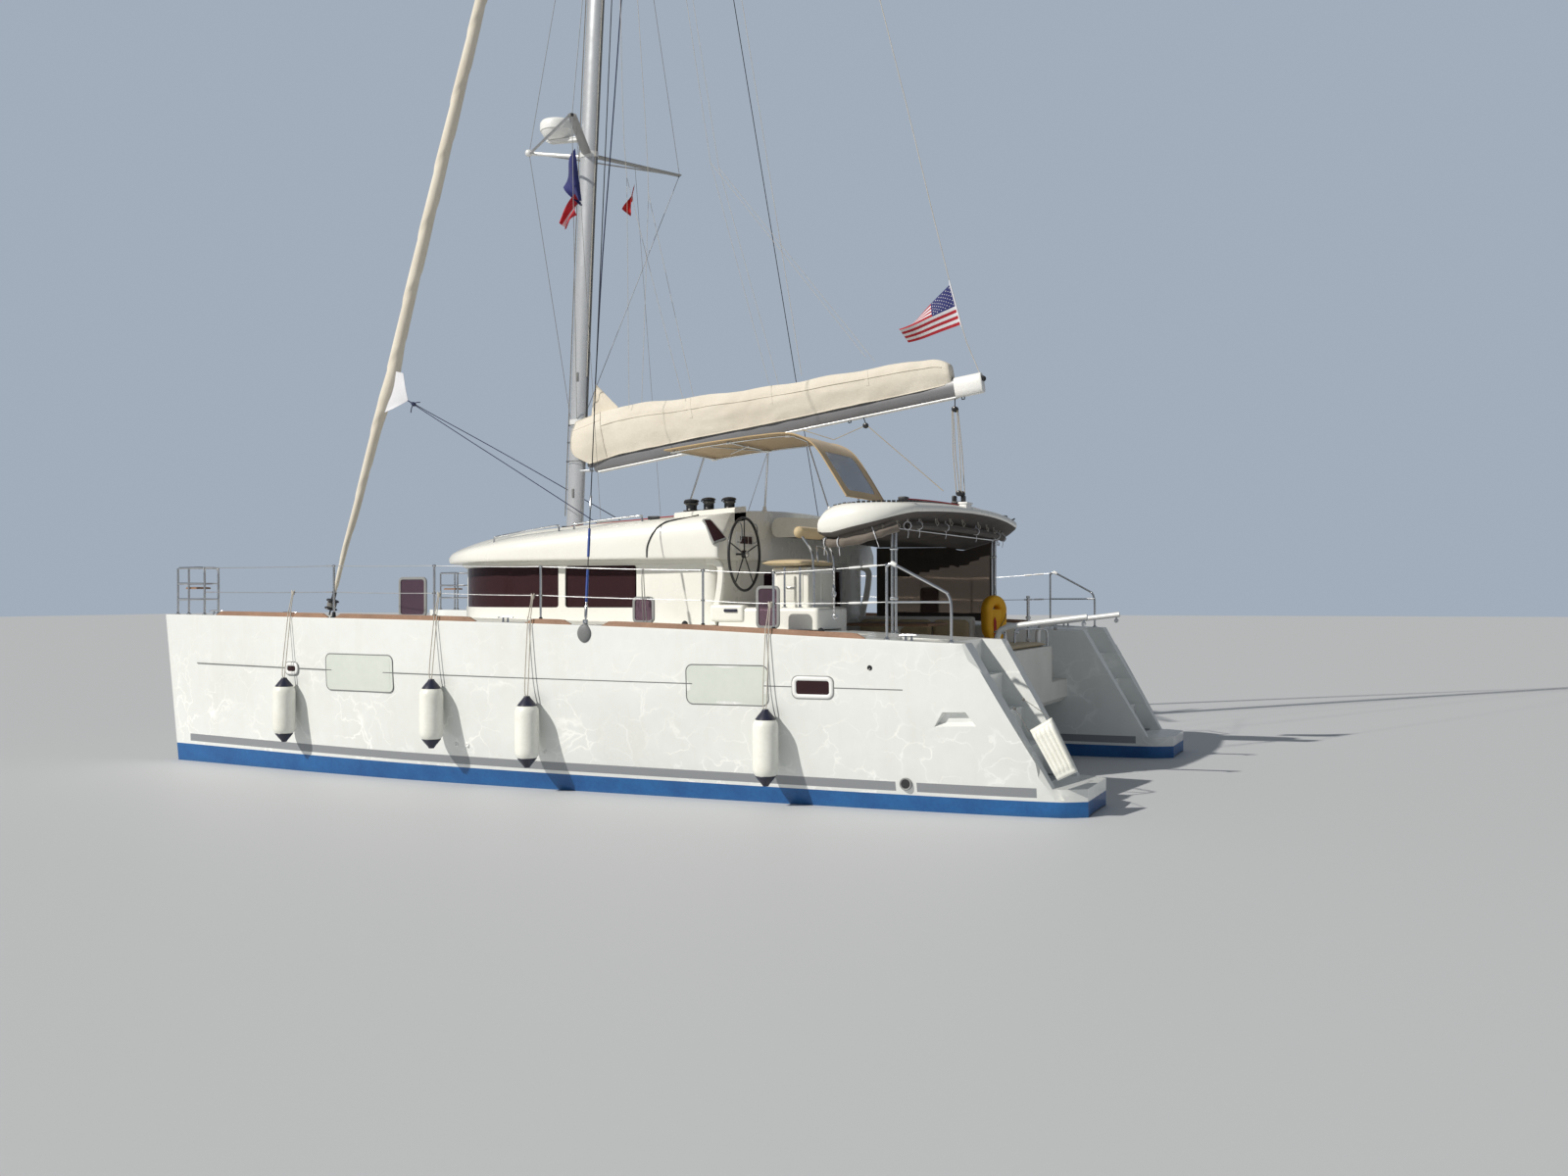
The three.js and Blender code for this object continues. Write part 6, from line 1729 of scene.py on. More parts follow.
def buildBiminiFrame():
    part, joints = Part(), Part()
    near, far = bimini["near"] - 0.09, bimini["far"] + 0.09
    under = through([-2.81, -2.57, -2.1, -1.63, -1.15], [3.727, 3.800, 3.776, 3.734, 3.682])
    for y in (near, far):
        part.tube(softPath([(x, y, under(x)) for x in (-1.15, -1.4, -1.63, -2.1, -2.57, -2.7, -2.80)], 5), 0.0095, 10)
        part.tube([(-2.80, y, under(-2.80)), (-3.055, y, hardTop(-3.06, y) - 0.02)], 0.0085, 10)
        joints.tube([(-2.545, y, under(-2.545)), (-2.60, y, under(-2.60))], 0.014, 10)
    for x in (-1.20, -1.87):
        part.tube([(x, far - 0.03, under(x) + 0.002), (x, near + 0.03, under(x) + 0.002)], 0.0115, 12)
        for y in (near, far):
            joints.tube([(x - 0.03, y, under(x - 0.03)), (x + 0.03, y, under(x + 0.03))], 0.0155, 12)
    part.tube([(-0.95, 1.62, roofTop(-0.95, 1.62) - 0.01), (-1.20, 1.62, under(-1.20))], 0.0115, 12)
    part.tube([(-1.78, 1.20, roofTop(-1.78, 1.20) - 0.01), (-1.87, 1.30, under(-1.87))], 0.0115, 12)
    part.tube([(-1.60, 1.28, roofTop(-1.6, 1.28) - 0.005), (-1.86, 1.31, under(-1.86) - 0.03)], 0.004, 8)
    for (x0, y0), (x1, y1) in (((-1.65, near), (-1.92, far)), ((-1.55, far + 0.3), (-1.95, near - 0.35))):
        part.tube([(x0, y0, under(x0) - 0.012), (x1, y1, under(x1) - 0.012)], 0.008, 8)
    for x, y in ((-0.95, 1.62), (-1.78, 1.20)):
        joints.lathe([(0.032, -0.02), (0.034, 0.004), (0.022, 0.014), (0.019, 0.05), (0.0145, 0.054)],
                     (x, y, roofTop(x, y)), (0, 0, 1), 16)
    for y in (near, far):
        joints.lathe([(0.026, -0.02), (0.028, 0.004), (0.016, 0.012), (0.014, 0.04), (0.010, 0.044)],
                     (-3.05, y, hardTop(-3.05, y)), (0, 0, 1), 16)
    finish("biminiBows", part, "steel", stands="bimini_frame")
    finish("biminiJoints", joints, "whitePlastic")


buildBiminiFrame()
buildBimini()

# helm: steps and seat pedestal, seat, back rest, wheel, console panels and engine controls
helm = {"wheel": (-1.9, 2.02, 2.545), "radius": 0.405}


def cushion(name, low, high, crown, body="boat", look="cushion", stands=(), channels=(),
            axis="x"):
    # crowned pad: sides pull in between corners, top domes, sewn channels across
    low, high = Vector(low), Vector(high)
    size = high - low
    nx, ny = max(8, int(size.x / 0.035)), max(8, int(size.y / 0.035))
    part = Part()
    top, under = [], []
    for i in range(nx + 1):
        u = i / nx
        rowTop, rowUnder = [], []
        for j in range(ny + 1):
            v = j / ny
            bulgeX = 1 - (2 * u - 1) ** 6
            bulgeY = 1 - (2 * v - 1) ** 6
            dome = (max(0.0, bulgeX) ** 0.45) * (max(0.0, bulgeY) ** 0.45)
            pull = 0.012
            x = low.x + size.x * u + (pull * (1 if u < 0.5 else -1) * abs(2 * u - 1) ** 8 * math.sin(math.pi * v))
            y = low.y + size.y * v + (pull * (1 if v < 0.5 else -1) * abs(2 * v - 1) ** 8 * math.sin(math.pi * u))
            swell = crown * math.sin(math.pi * u) ** 0.6 * math.sin(math.pi * v) ** 0.6
            z = high.z - crown - size.z * 0.42 * (1 - dome) + swell
            for c in channels:
                at = (u if axis == "x" else v)
                z -= 0.018 * math.exp(-((at - c) * (size.x if axis == "x" else size.y) / 0.014) ** 2) * dome
            z += 0.004 * noise.noise(Vector((x * 4, y * 4, low.z * 3)))
            rowTop.append(Vector((x, y, z)))
            rowUnder.append(Vector((x, y, low.z + size.z * 0.32 * (1 - dome))))
        top.append(rowTop)
        under.append(rowUnder)
    part.slab(top, under)
    made = finish(name, part, look, body, stands, 70)
    seam = Part()
    rim = [(i, 0) for i in range(nx)] + [(nx, j) for j in range(ny)] + [(nx - i, ny) for i in range(nx)]
    rim += [(0, ny - j) for j in range(ny + 1)]
    seam.tube([top[i][j].lerp(under[i][j], 0.45) for i, j in rim], 0.004, 6)
    finish(name + "Piping", seam, look, body, sharp=70)
    return made


def buildHelm():
    part = Part()
    part.block((-2.955, 1.225, 1.0), (-1.765, 2.435, 1.955), 0.05, steps=4)
    made = toObject("helmPlatform", part, "gelcoat", 40)
    cutters = [blockPart((-3.2, 1.0, 1.55), (-2.74, 1.60, 2.2)), blockPart((-3.2, 1.0, 0.5), (-1.5, 1.78, 1.56)),
               blockPart((-3.2, 1.77, 0.5), (-1.5, 3.0, 1.72))]
    carve(made, cutters, 40)
    settle(made, "boat", "helm_station")
    seat = Part()
    seat.block((-2.775, 1.455, 1.93), (-2.325, 2.245, 2.392), 0.045, steps=4)
    finish("helmPedestal", seat, "gelcoat")
    locker = Part()
    for y in (1.56, 1.96):
        locker.block((-2.786, y, 2.02), (-2.774, y + 0.32, 2.32), 0.005)
    locker.block((-2.70, 2.244, 2.02), (-2.40, 2.254, 2.32), 0.005)
    locker.look = 1
    locker.tube([(-2.60, 2.256, 2.17), (-2.585, 2.268, 2.17), (-2.515, 2.268, 2.17), (-2.50, 2.256, 2.17)], 0.006, 8)
    finish("helmLocker", locker, ("deckPaint", "steel"))
    tubes = Part()
    for y in (1.55, 2.15):
        back = softPath([(-2.775, y, 2.30), (-2.775, y, 2.50), (-2.74, y, 2.60), (-2.655, y, 2.72), (-2.635, y, 2.755)],
                        6)
        tubes.tube(back, 0.0135, 12)
    tubes.tube([(-2.635, 1.53, 2.765), (-2.635, 2.17, 2.765)], 0.0135, 12)
    inner = softPath([(-2.775, 1.70, 2.45), (-2.765, 1.70, 2.56), (-2.74, 1.76, 2.615), (-2.735, 1.85, 2.62),
                      (-2.74, 1.94, 2.615), (-2.765, 2.0, 2.56), (-2.775, 2.0, 2.45)], 6)
    tubes.tube(inner, 0.011, 10)
    y = 2.37
    for x in (-2.54, -2.72, -2.88):
        tubes.tube(softPath([(x, y, 1.74), (x, y, 2.30), (x, y, 2.385)], 6), 0.0125, 10)
        tubes.lathe([(0.032, 0), (0.032, 0.006), (0.016, 0.012), (0.0145, 0.03)], (x, y, 1.955), (0, 0, 1), 16)
    finish("helmRails", tubes, "steel")
    cushion("helmSeatPad", (-2.745, 1.445, 2.404), (-2.295, 2.395, 2.478), 0.008, stands="helm_seat", channels=(0.5,),
            axis="y")
    bolster = Part()
    rings = []
    for k in range(25):
        t = k / 24
        y = 1.505 + 0.71 * t
        reach = min(t, 1 - t) * 0.71
        r = 0.062 * math.sqrt(max(0.02, 1 - (1 - min(1.0, reach / 0.05)) ** 2))
        rings.append([Vector((-2.620 + r * 0.92 * math.cos(a), y, 2.772 + r * 1.05 * math.sin(a))) for a in angles(24)])
    bolster.skin(rings)
    pad = finish("helmBackRest", bolster, "cushion", sharp=70)
    wheel = Part()
    cx, cy, cz = helm["wheel"]
    ring = [Vector((cx, cy + helm["radius"] * math.sin(a), cz + helm["radius"] * math.cos(a))) for a in angles(72, 1)]
    rings = []
    for k in range(72):
        a = 2 * math.pi * k / 72
        out = Vector((0, math.sin(a), math.cos(a)))
        rings.append([ring[k] + out * 0.0155 * math.cos(b) + Vector((0.0155 * math.sin(b), 0, 0)) for b in angles(12)])
    wheel.skin(rings + [rings[0]], caps=(False, False))
    for k in range(5):
        a = 2 * math.pi * k / 5
        out = Vector((0, math.sin(a), math.cos(a)))
        wheel.tube([Vector((cx, cy, cz)) + out * 0.03, Vector((cx, cy, cz)) + out * (helm["radius"] - 0.008)],
                   [0.0085, 0.0065], 8)
    wheel.lathe([(0.012, 0.02), (0.03, 0.03), (0.044, 0.012), (0.044, -0.02), (0.012, -0.022), (0.0118, -0.14)],
                (cx, cy, cz), (-1, 0, 0), 24)
    finish("wheelRim", wheel, "black", "wheel", "steering_wheel")
    cap = Part()
    cap.lathe([(0.034, 0.026), (0.036, 0.034), (0.028, 0.044), (0.012, 0.049), (0, 0.05)], (cx, cy, cz), (-1, 0, 0), 24)
    finish("wheelHub", cap, "steel", "wheel")
    panel = Part()  # console face under the roof edge, instruments and engine control
    panel.block((-1.812, 1.58, 2.615), (-1.798, 2.03, 2.80), 0.006)
    panel.look = 1
    for y in (1.68, 1.79, 1.90):
        z, r = 2.71, 0.042
        panel.block((-1.82, y - r, z - r), (-1.811, y + r, z + r), 0.008)
    panel.look = 2
    for y in (1.60, 2.02):
        panel.tube(softPath([(-1.80, y, 2.90), (-1.85, y, 2.89), (-1.868, y, 2.84), (-1.868, y, 2.74), (-1.85, y, 2.69),
                             (-1.80, y, 2.68)], 5), 0.008, 8)
    finish("helmPanel", panel, ("whitePlastic", "smokedGlass", "steel"))
    pod = Part()  # dark instrument lens on the slanted roof corner
    face = [Vector((-1.607, 2.47, 2.918)), Vector((-1.658, 2.404, 2.92)), Vector((-1.848, 2.375, 2.70)),
            Vector((-1.766, 2.528, 2.645))]
    out = (face[1] - face[0]).cross(face[3] - face[0]).normalized()
    out = out if out.y > 0 else -out
    middle = sum(face, Vector()) / 4
    rings = [[p + out * lift + (middle - p) * inset for p in face] for lift,
             inset in ((-0.02, 0.0), (0.012, 0.0), (0.018, 0.05), (0.018, 0.12))]
    pod.skin(rings)
    finish("podFrame", pod, "mouldedGrey")
    lens = Part()
    lens.skin([[p + out * lift + (middle - p) * inset for p in face] for lift,
               inset in ((0.005, 0.13), (0.0205, 0.13), (0.022, 0.2))])
    finish("podWindow", lens, "portlight")
    step = Part()  # moulded step with a recess under it, aft of the panel
    step.block((-2.09, 2.30, 1.80), (-1.68, 2.46, 1.985), 0.04, steps=4)
    # the dark navy band under the step's top stands in for the shaded recess there: painted shade
    step.look = 1
    step.block((-2.02, 2.40, 1.905), (-1.86, 2.478, 1.94), 0.012)
    finish("helmStep", step, ("gelcoat", "fenderCap"))


buildHelm()

# three winches on their base, with the row of rope clutches forward of them
winches = {"at": [(-1.18, 1.90), (-1.42, 1.94), (-1.66, 1.90)], "foot": 3.012}


def buildWinches():
    base = Part()
    rows = []
    for k in range(13):
        x = -1.80 + 0.76 * k / 12
        rows.append([(x, 1.76, 2.94), (x, 1.755, roofTop(x, 1.76) + 0.035), (x, 1.775, roofTop(x, 1.78) + 0.055),
                     (x, 2.045, roofTop(x, 2.05) + 0.05),
                     (x, 2.065, roofTop(x, 2.065) + 0.03), (x, 2.06, 2.90)])
    base.skin(rows)
    finish("winchBase", base, "gelcoat")
    drums = Part()
    for i, (x, y) in enumerate(winches["at"]):
        z = winches["foot"] + (0.0 if i else -0.01)
        k = 1.12 if i == 0 else 1.0
        drums.lathe([(0.084 * k, 0), (0.086 * k, 0.012), (0.082 * k, 0.034), (0.070 * k, 0.042), (0.058 * k, 0.055),
                     (0.054 * k, 0.085), (0.057 * k, 0.112), (0.072 * k, 0.128),
                     (0.076 * k, 0.134), (0.066 * k, 0.140), (0.066 * k, 0.146), (0.078 * k, 0.153), (0.078 * k, 0.166),
                     (0.062 * k, 0.178), (0.030, 0.184), (0.022, 0.185),
                     (0.022, 0.170), (0, 0.168)], (x, y, z), (0, 0, 1), 32)
        arm = [(x + 0.02, y, z + 0.172), (x + 0.075, y, z + 0.168), (x + 0.092, y, z + 0.15), (x + 0.09, y, z + 0.138)]
        drums.tube(softPath(arm, 4), 0.009, 8)
    finish("winchDrums", drums, "black", stands="winches")
    for i, (x, y) in enumerate(winches["at"]):
        rib = Part()
        rib.block((-0.002, -0.0035, -0.024), (0.002, 0.0035, 0.024), 0.0)
        ring = [(x + 0.0555 * math.cos(a), y + 0.0555 * math.sin(a), winches["foot"] + 0.085) for a in angles(36, 1)]
        alongPath(f"winchRibs_{i + 1}", ring, rib, 24, "black")
    clutch = Part()
    for k in range(7):
        y = 1.30 + 0.075 * k
        x, z = -1.05, roofTop(-1.05, y)
        clutch.block((x - 0.09, y - 0.016, z - 0.01), (x + 0.07, y + 0.016, z + 0.045), 0.006)
        clutch.block((x - 0.06, y - 0.011, z + 0.04), (x + 0.05, y + 0.011, z + 0.066), 0.006)
    for x, y in ((-0.80, 2.12), (-0.86, 2.19)):
        z = roofTop(x, y)
        clutch.block((x - 0.06, y - 0.02, z - 0.005), (x + 0.06, y + 0.02, z + 0.04), 0.008)
    finish("ropeClutches", clutch, "black")
    for k, look in enumerate(("ropeRed", "ropeGrey", "ropeBlack", "ropeWhite", "ropeGrey", "ropeRed")):
        y = 1.30 + 0.075 * k
        path = [(1.42 - 0.02 * k, 0.10 + 0.012 * k, 3.03), (1.30, 0.30 + 0.05 * k, roofTop(1.3, 0.35) + 0.03)]
        for x in (0.9, 0.4, -0.1, -0.6, -0.96):
            t = (1.3 - x) / 2.26
            yy = 0.30 + 0.05 * k + (y - 0.30 - 0.05 * k) * t ** 0.8
            path.append((x, yy, roofTop(x, yy) + 0.012))
        rope = Part()
        rope.tube(softPath(path, 6), 0.006, 8)
        finish(f"roofLine_{k + 1}", rope, look)
    organiser = Part()
    for y in (0.35, 0.55):
        z = roofTop(1.28, y)
        organiser.block((1.20, y - 0.08, z - 0.005), (1.36, y + 0.08, z + 0.042), 0.01)
    # the black tube across the port roof side, from its rim up onto the top, is a painted shadow line
    organiser.tube(softPath([(-0.937, 2.505, 2.507), (-0.939, 2.523, 2.53), (-0.952, 2.526, 2.648),
                             (-1.027, 2.506, 2.803), (-1.126, 2.460, 2.892), (-1.262, 2.414, 2.930),
                             (-1.36, 2.36, 2.948), (-1.42, 2.2, roofTop(-1.42, 2.2) + 0.006)], 8), 0.0085, 8)
    finish("roofOrganisers", organiser, "black")


buildWinches()
print("helm done")

# one tube pair a side carries the hardtop, with a cross bar below its ceiling
posts = {"x": -3.656, "y": 2.01, "cross": 2.805, "tube": 0.0155, "gap": 0.021}


def buildPosts():
    tubes, feet = Part(), Part()
    x = posts["x"]
    for side in (1, -1):
        y = posts["y"] * side
        low, high = line["sheer"](x) - 0.004, hardLow(x, y) + 0.006
        for shift in (-posts["gap"], posts["gap"]):
            tubes.tube([(x + shift, y, low), (x + shift, y, high)], posts["tube"], 12)
            feet.lathe([(0.034, -0.004), (0.034, 0.006), (0.019, 0.012), (0.017, 0.03)], (x + shift, y, low + 0.004),
                       (0, 0, 1), 14)
        feet.block((x - 0.06, y - 0.03, high - 0.04), (x + 0.06, y + 0.03, high - 0.004), 0.008)
        for z in (2.58, 2.05):
            feet.block((x - 0.042, y - 0.019, z - 0.014), (x + 0.042, y + 0.019, z + 0.014), 0.006)
    tubes.tube([(x, -posts["y"], posts["cross"]), (x, posts["y"], posts["cross"])], 0.014, 12)
    finish("hardtopPosts", tubes, "steel", stands="hardtop_frame")
    finish("postFeet", feet, "steel")


# traveller, winch box and small fittings on the hardtop
topFittings = {"track": (-3.78, 2.05), "box": (-4.06, -3.97, 0.22, 0.64)}


def buildTopFittings():
    x, reach = topFittings["track"]
    track, rope = Part(), Part()
    across = [reach - 2 * reach * k / 24 for k in range(25)]
    track.skin([[Vector((x + dx, y, hardTop(x, y) + dz)) for dx,
                 dz in ((-0.028, -0.006), (-0.028, 0.016), (-0.014, 0.03), (0.014, 0.03), (0.028, 0.016),
                        (0.028, -0.006))] for y in across])
    for y in (reach, -reach):
        track.block((x - 0.045, y - 0.06, hardTop(x, y) - 0.004), (x + 0.045, y + 0.06, hardTop(x, y) + 0.055), 0.012)
    track.block((x - 0.06, -0.13, hardTop(x, 0) + 0.028), (x + 0.06, 0.13, hardTop(x, 0) + 0.075), 0.012)
    for dx in (-0.055, 0.055):
        track.block((x + dx - 0.02, -0.05, hardTop(x, 0) + 0.06), (x + dx + 0.02, 0.05, hardTop(x, 0) + 0.15), 0.012)
    finish("travellerTrack", track, "black")
    for shift in (-0.040, 0.040):
        rope.tube([(x + shift, y, hardTop(x, y) + 0.030) for y in across], 0.007, 8)
    finish("travellerLines", rope, "ropeRed")
    small = Part()
    x0, x1, y0, y1 = topFittings["box"]
    z = hardTop(-4.02, 0.4) - 0.06
    small.block((x0, y0 + 0.2, z), (x1, y1, z + 0.09), 0.014)
    small.block((x0 - 0.01, y0 + 0.19, z + 0.075), (x1 + 0.01, y1 + 0.01, z + 0.098), 0.008)
    small.block((x0 + 0.02, y0, z + 0.03), (x1 - 0.02, y0 + 0.2, z + 0.06), 0.012)
    finish("topBox", small, "whitePlastic")
    for sideName, side in bothSides:
        hook = Part()
        hook.block((-0.019, -0.006, -0.006), (0.019, 0.006, 0.014), 0.003)
        path = [(px, (py - 0.13) * side, hardTop(px, py - 0.13) + 0.002) for px,
                py in ((p.x, p.y) for p in hardOutline() if p.y > 1.2 and -3.95 < p.x < -3.1)]
        alongPath(f"topHooks_{sideName}", path, hook, 19, "black")
        lace = Part()
        rim = [p for p in hardOutline() if p.x < -3.5 and p.y > 0.1]
        for p in rim[1::2]:
            px, py = p.x + 0.14, p.y - 0.14
            top = hardLow(px, py) + 0.004
            lace.tube(softPath([(px + 0.012, py * side, top), (px + 0.006, (py + 0.01) * side, top - 0.035),
                                (px - 0.016, (py + 0.02) * side, top - 0.06),
                                (px - 0.004, (py + 0.04) * side, top - 0.09),
                                (px + 0.014, (py + 0.03) * side, top - 0.05), (px + 0.010, (py + 0.06) * side, top)],
                               4), 0.0045, 6)
        finish(f"curtainLoops_{sideName}", lace, "ropeWhite")


# side curtains: the starboard one hangs with a clear window in it, the others are rolled up
curtains = {"y": -2.347, "fore": -1.90, "end": -3.595, "foot": 1.76, "thick": 0.0016}


def curtainPoint(u, v, lift=0.0):
    x = curtains["fore"] + (curtains["end"] - curtains["fore"]) * u
    top = (hardLow(x, 2.347) if x < -1.86 else 2.74) - 0.006
    z = curtains["foot"] - 0.02 * u + (top - curtains["foot"] + 0.02 * u) * v
    swing = 0.0035 * math.sin(u * 21) * (1 - v) ** 0.7 * (1 - abs(2 * u - 1) ** 8)
    return Vector((x, curtains["y"] + swing + lift, z))


def buildCurtains():
    cols, rows = 61, 33

    def clear(i, j):
        # the clear pane, whose upper edge rises towards the stern
        u, v = i / (cols - 1), j / (rows - 1)
        return 0.115 < u < 0.945 and 0.09 < v < (0.60 if u < 0.25 else 0.60 + 0.26 * (u - 0.25) / 0.7)

    cloth, pane = Part(), Part()
    for part, wanted, thick in ((cloth, False, curtains["thick"]), (pane, True, 0.0006)):
        made = {}

        def corner(i, j, face):
            if (i, j, face) not in made:
                at = curtainPoint(i / (cols - 1), j / (rows - 1), thick * (0.5 - face))
                made[(i, j, face)] = part.bm.verts.new(at)
            return made[(i, j, face)]

        cells = {(i, j) for i in range(cols - 1) for j in range(rows - 1) if clear(i + 0.5, j + 0.5) == wanted}
        for i, j in sorted(cells):
            part.add([corner(i, j, 0), corner(i, j + 1, 0), corner(i + 1, j + 1, 0), corner(i + 1, j, 0)])
            part.add([corner(i, j, 1), corner(i + 1, j, 1), corner(i + 1, j + 1, 1), corner(i, j + 1, 1)])
            for di, dj, a, b in ((-1, 0, (0, 0), (0, 1)), (1, 0, (1, 1), (1, 0)), (0, -1, (1, 0), (0, 0)),
                                 (0, 1, (0, 1), (1, 1))):
                if (i + di, j + dj) not in cells:
                    p, q = (i + a[0], j + a[1]), (i + b[0], j + b[1])
                    part.add([corner(*p, 0), corner(*p, 1), corner(*q, 1), corner(*q, 0)])
    hung = finish("curtainStarboard", cloth, "curtain", stands="curtain_starboard", sharp=60)
    window = finish("curtainWindow", pane, "curtainVinyl", sharp=60)
    hem = Part()
    for u in (0.0, 1.0):
        hem.tube([curtainPoint(u, k / 24) for k in range(25)], 0.006, 6)
    hem.tube([curtainPoint(k / 40, 0.0) for k in range(41)], 0.006, 6)
    edging = finish("curtainHem", hem, "black", sharp=60)


# a curtain rolled up: a spiral of cloth, tied under the hardtop edge
def rolledCurtain(name, spine, radius, look, turns=4.0, ties=(0.15, 0.5, 0.85)):
    spine = [Vector(p) for p in spine]
    path = softPath(spine, 6)
    part, steps = Part(), int(turns * 20)
    grid, back = [], []
    for i, p in enumerate(path):
        ahead = heading(path, i)
        across = ahead.cross(Vector((0, 0, 1))).normalized()
        up = across.cross(ahead)
        pinch = 1 - 0.22 * max(math.exp(-((i / (len(path) - 1) - t) / 0.035) ** 2) for t in ties)
        row, inner = [], []
        for k in range(steps + 1):
            t = k / steps
            a = 2 * math.pi * turns * t
            r = (radius * (0.30 + 0.70 * t) + 0.003 * math.sin(3 * a + i * 0.5) * t) * pinch
            flatter = 1 + 0.12 * math.sin(i * 0.9)
            spoke = across * math.cos(a) * r / flatter + up * math.sin(a) * r * flatter
            row.append(p + spoke)
            inner.append(p + spoke * ((r - 0.0022) / r))
        grid.append(row)
        back.append(inner)
    part.slab(grid, back)
    made = finish(name, part, look, sharp=70)
    tie = Part()
    for t in ties:
        i = int(t * (len(path) - 1))
        ahead = heading(path, i)
        across = ahead.cross(Vector((0, 0, 1))).normalized()
        up = across.cross(ahead)
        ring = [path[i] + across * radius * 0.93 * math.cos(a) + up * radius * 0.93 * math.sin(a)
                for a in angles(20, 1)]
        tie.tube(ring, 0.006, 6)
        tie.tube([path[i] + up * radius * 0.9, path[i] + up * (radius + 0.045)], 0.005, 6)
        tie.tube(softPath([path[i] - up * radius * 0.9, path[i] - up * (radius + 0.03) + across * 0.01,
                           path[i] - up * (radius + 0.085)], 4), 0.004, 6)
    held = finish(name + "Ties", tie, "flagWhite")


buildPosts()
buildTopFittings()
buildCurtains()
rolledCurtain("curtainPortRolled",
              [(-3.055, 2.47, 2.645), (-3.17, 2.47, 2.635), (-3.29, 2.47, 2.648), (-3.48, 2.45, 2.682),
               (-3.64, 2.40, 2.735), (-3.80, 2.30, 2.80)],
              0.052, "rolledCurtain", ties=(0.02, 0.28, 0.75))
rolledCurtain("curtainAftRolled",
              [(-3.80, 1.98, 2.825), (-3.83, 1.4, 2.845), (-3.85, 0.0, 2.86), (-3.83, -1.4, 2.845),
               (-3.80, -1.98, 2.825)],
              0.045, "curtain", ties=(0.03, 0.2, 0.4, 0.6, 0.8, 0.97))
print("hardtop dressed")

# cockpit: seats on moulded lockers, folding table, grab rails
cockpit = {"seatTop": 1.34, "pad": 0.09, "table": (-3.35, -2.25, -0.95, -0.15, 1.70, 1.735)}


def buildCockpit():
    base = Part()
    base.block((-3.90, -1.70, 1.002), (-3.50, 0.90, 1.342), 0.03, steps=3)
    base.block((-3.52, -1.70, 1.002), (-1.902, -1.20, 1.342), 0.03, steps=3)
    base.block((-3.50, -1.70, 1.33), (-1.902, -1.565, 1.80), 0.04, steps=3)
    base.look = 1
    for x in (-3.30, -2.80, -2.30):
        base.block((x, -1.2, 1.08), (x + 0.36, -1.193, 1.27), 0.012)
    for y in (-0.9, -0.2, 0.45):
        base.block((-3.503, y, 1.08), (-3.494, y + 0.36, 1.27), 0.012)
    finish("cockpitLockers", base, ("gelcoat", "deckPaint"), stands="cockpit_seat")
    cushion("seatPadAft", (-3.885, -1.68, 1.346), (-3.515, 0.88, 1.428), 0.010, channels=(0.2, 0.4, 0.6, 0.8), axis="y")
    cushion("seatPadSide", (-3.50, -1.545, 1.346), (-1.93, -1.215, 1.428), 0.010, channels=(0.25, 0.5, 0.75), axis="x")
    for k in range(3):
        low = -3.46 + 0.505 * k
        back = Part()
        rings = []
        for i in range(21):
            t = i / 20
            edge = min(1.0, max(0.0, min(t, 1 - t) / 0.12)) ** 0.5
            x = low + 0.485 * t
            ring = []
            for j in range(24):
                a = 2 * math.pi * j / 24
                c, s = math.cos(a), math.sin(a)
                ring.append(Vector((x, -1.515 + 0.032 * (0.35 + 0.65 * edge) * math.copysign(abs(c) ** 0.7, c),
                                    1.615 + (0.10 + 0.045 * edge) * math.copysign(abs(s) ** 0.55, s))))
            rings.append(ring)
        back.skin(rings)
        pad = finish(f"seatBack_{k + 1}", back, "cushion", sharp=70)
    x0, x1, y0, y1, z0, z1 = cockpit["table"]
    table = Part()
    table.block((x0, y0, z0), (x1, y1, z1), 0.014, steps=3)
    table.look = 1
    table.lathe([(0.16, 1.001), (0.16, 1.012), (0.07, 1.03), (0.055, 1.06), (0.052, 1.64), (0.065, 1.66), (0.11, 1.692),
                 (0.11, 1.70)], ((x0 + x1) / 2, (y0 + y1) / 2, 0), (0, 0, 1), 28)
    table.look = 2
    for y in (y0 + 0.04, (y0 + y1) / 2 - 0.008, y1 - 0.04):
        table.block((x0 + 0.03, y - 0.004, z1 - 0.001), (x1 - 0.03, y + 0.004, z1 + 0.004), 0.001)
    finish("cockpitTable", table, ("teak", "aluminium", "seam"), stands="cockpit_table")
    rails = Part()
    for side in (1, -1):
        rails.tube(softPath([(-4.60, 1.02 * side, 1.44), (-4.60, 1.02 * side, 1.60), (-4.57, 0.96 * side, 1.66),
                             (-4.40, 0.7 * side, 1.665), (-4.40, 0.30 * side, 1.665),
                             (-4.40, 0.22 * side, 1.63), (-4.40, 0.20 * side, 1.44)], 6), 0.0125, 10)
    finish("aftBenchRails", rails, "steel")
    cushion("aftBenchPad", (-4.60, -0.92, 1.4505), (-4.02, 0.92, 1.515), 0.008, channels=(0.25, 0.5, 0.75), axis="y")
    sole = Part()
    sole.block((-3.92, -1.0, 1.0), (-1.82, 0.85, 1.006), 0.002)
    for side in (1, -1):
        sole.block((-4.63, 1.10 * side - (0.0 if side > 0 else 0.68), 1.0),
                   (-3.96, 1.10 * side + (0.68 if side > 0 else 0.0), 1.006), 0.002)
    sole.block((-3.93, 0.95, 1.0), (-3.05, 1.72, 1.006), 0.002)
    finish("soleNonSkid", sole, "deckPaint")


buildCockpit()
print("cockpit done")

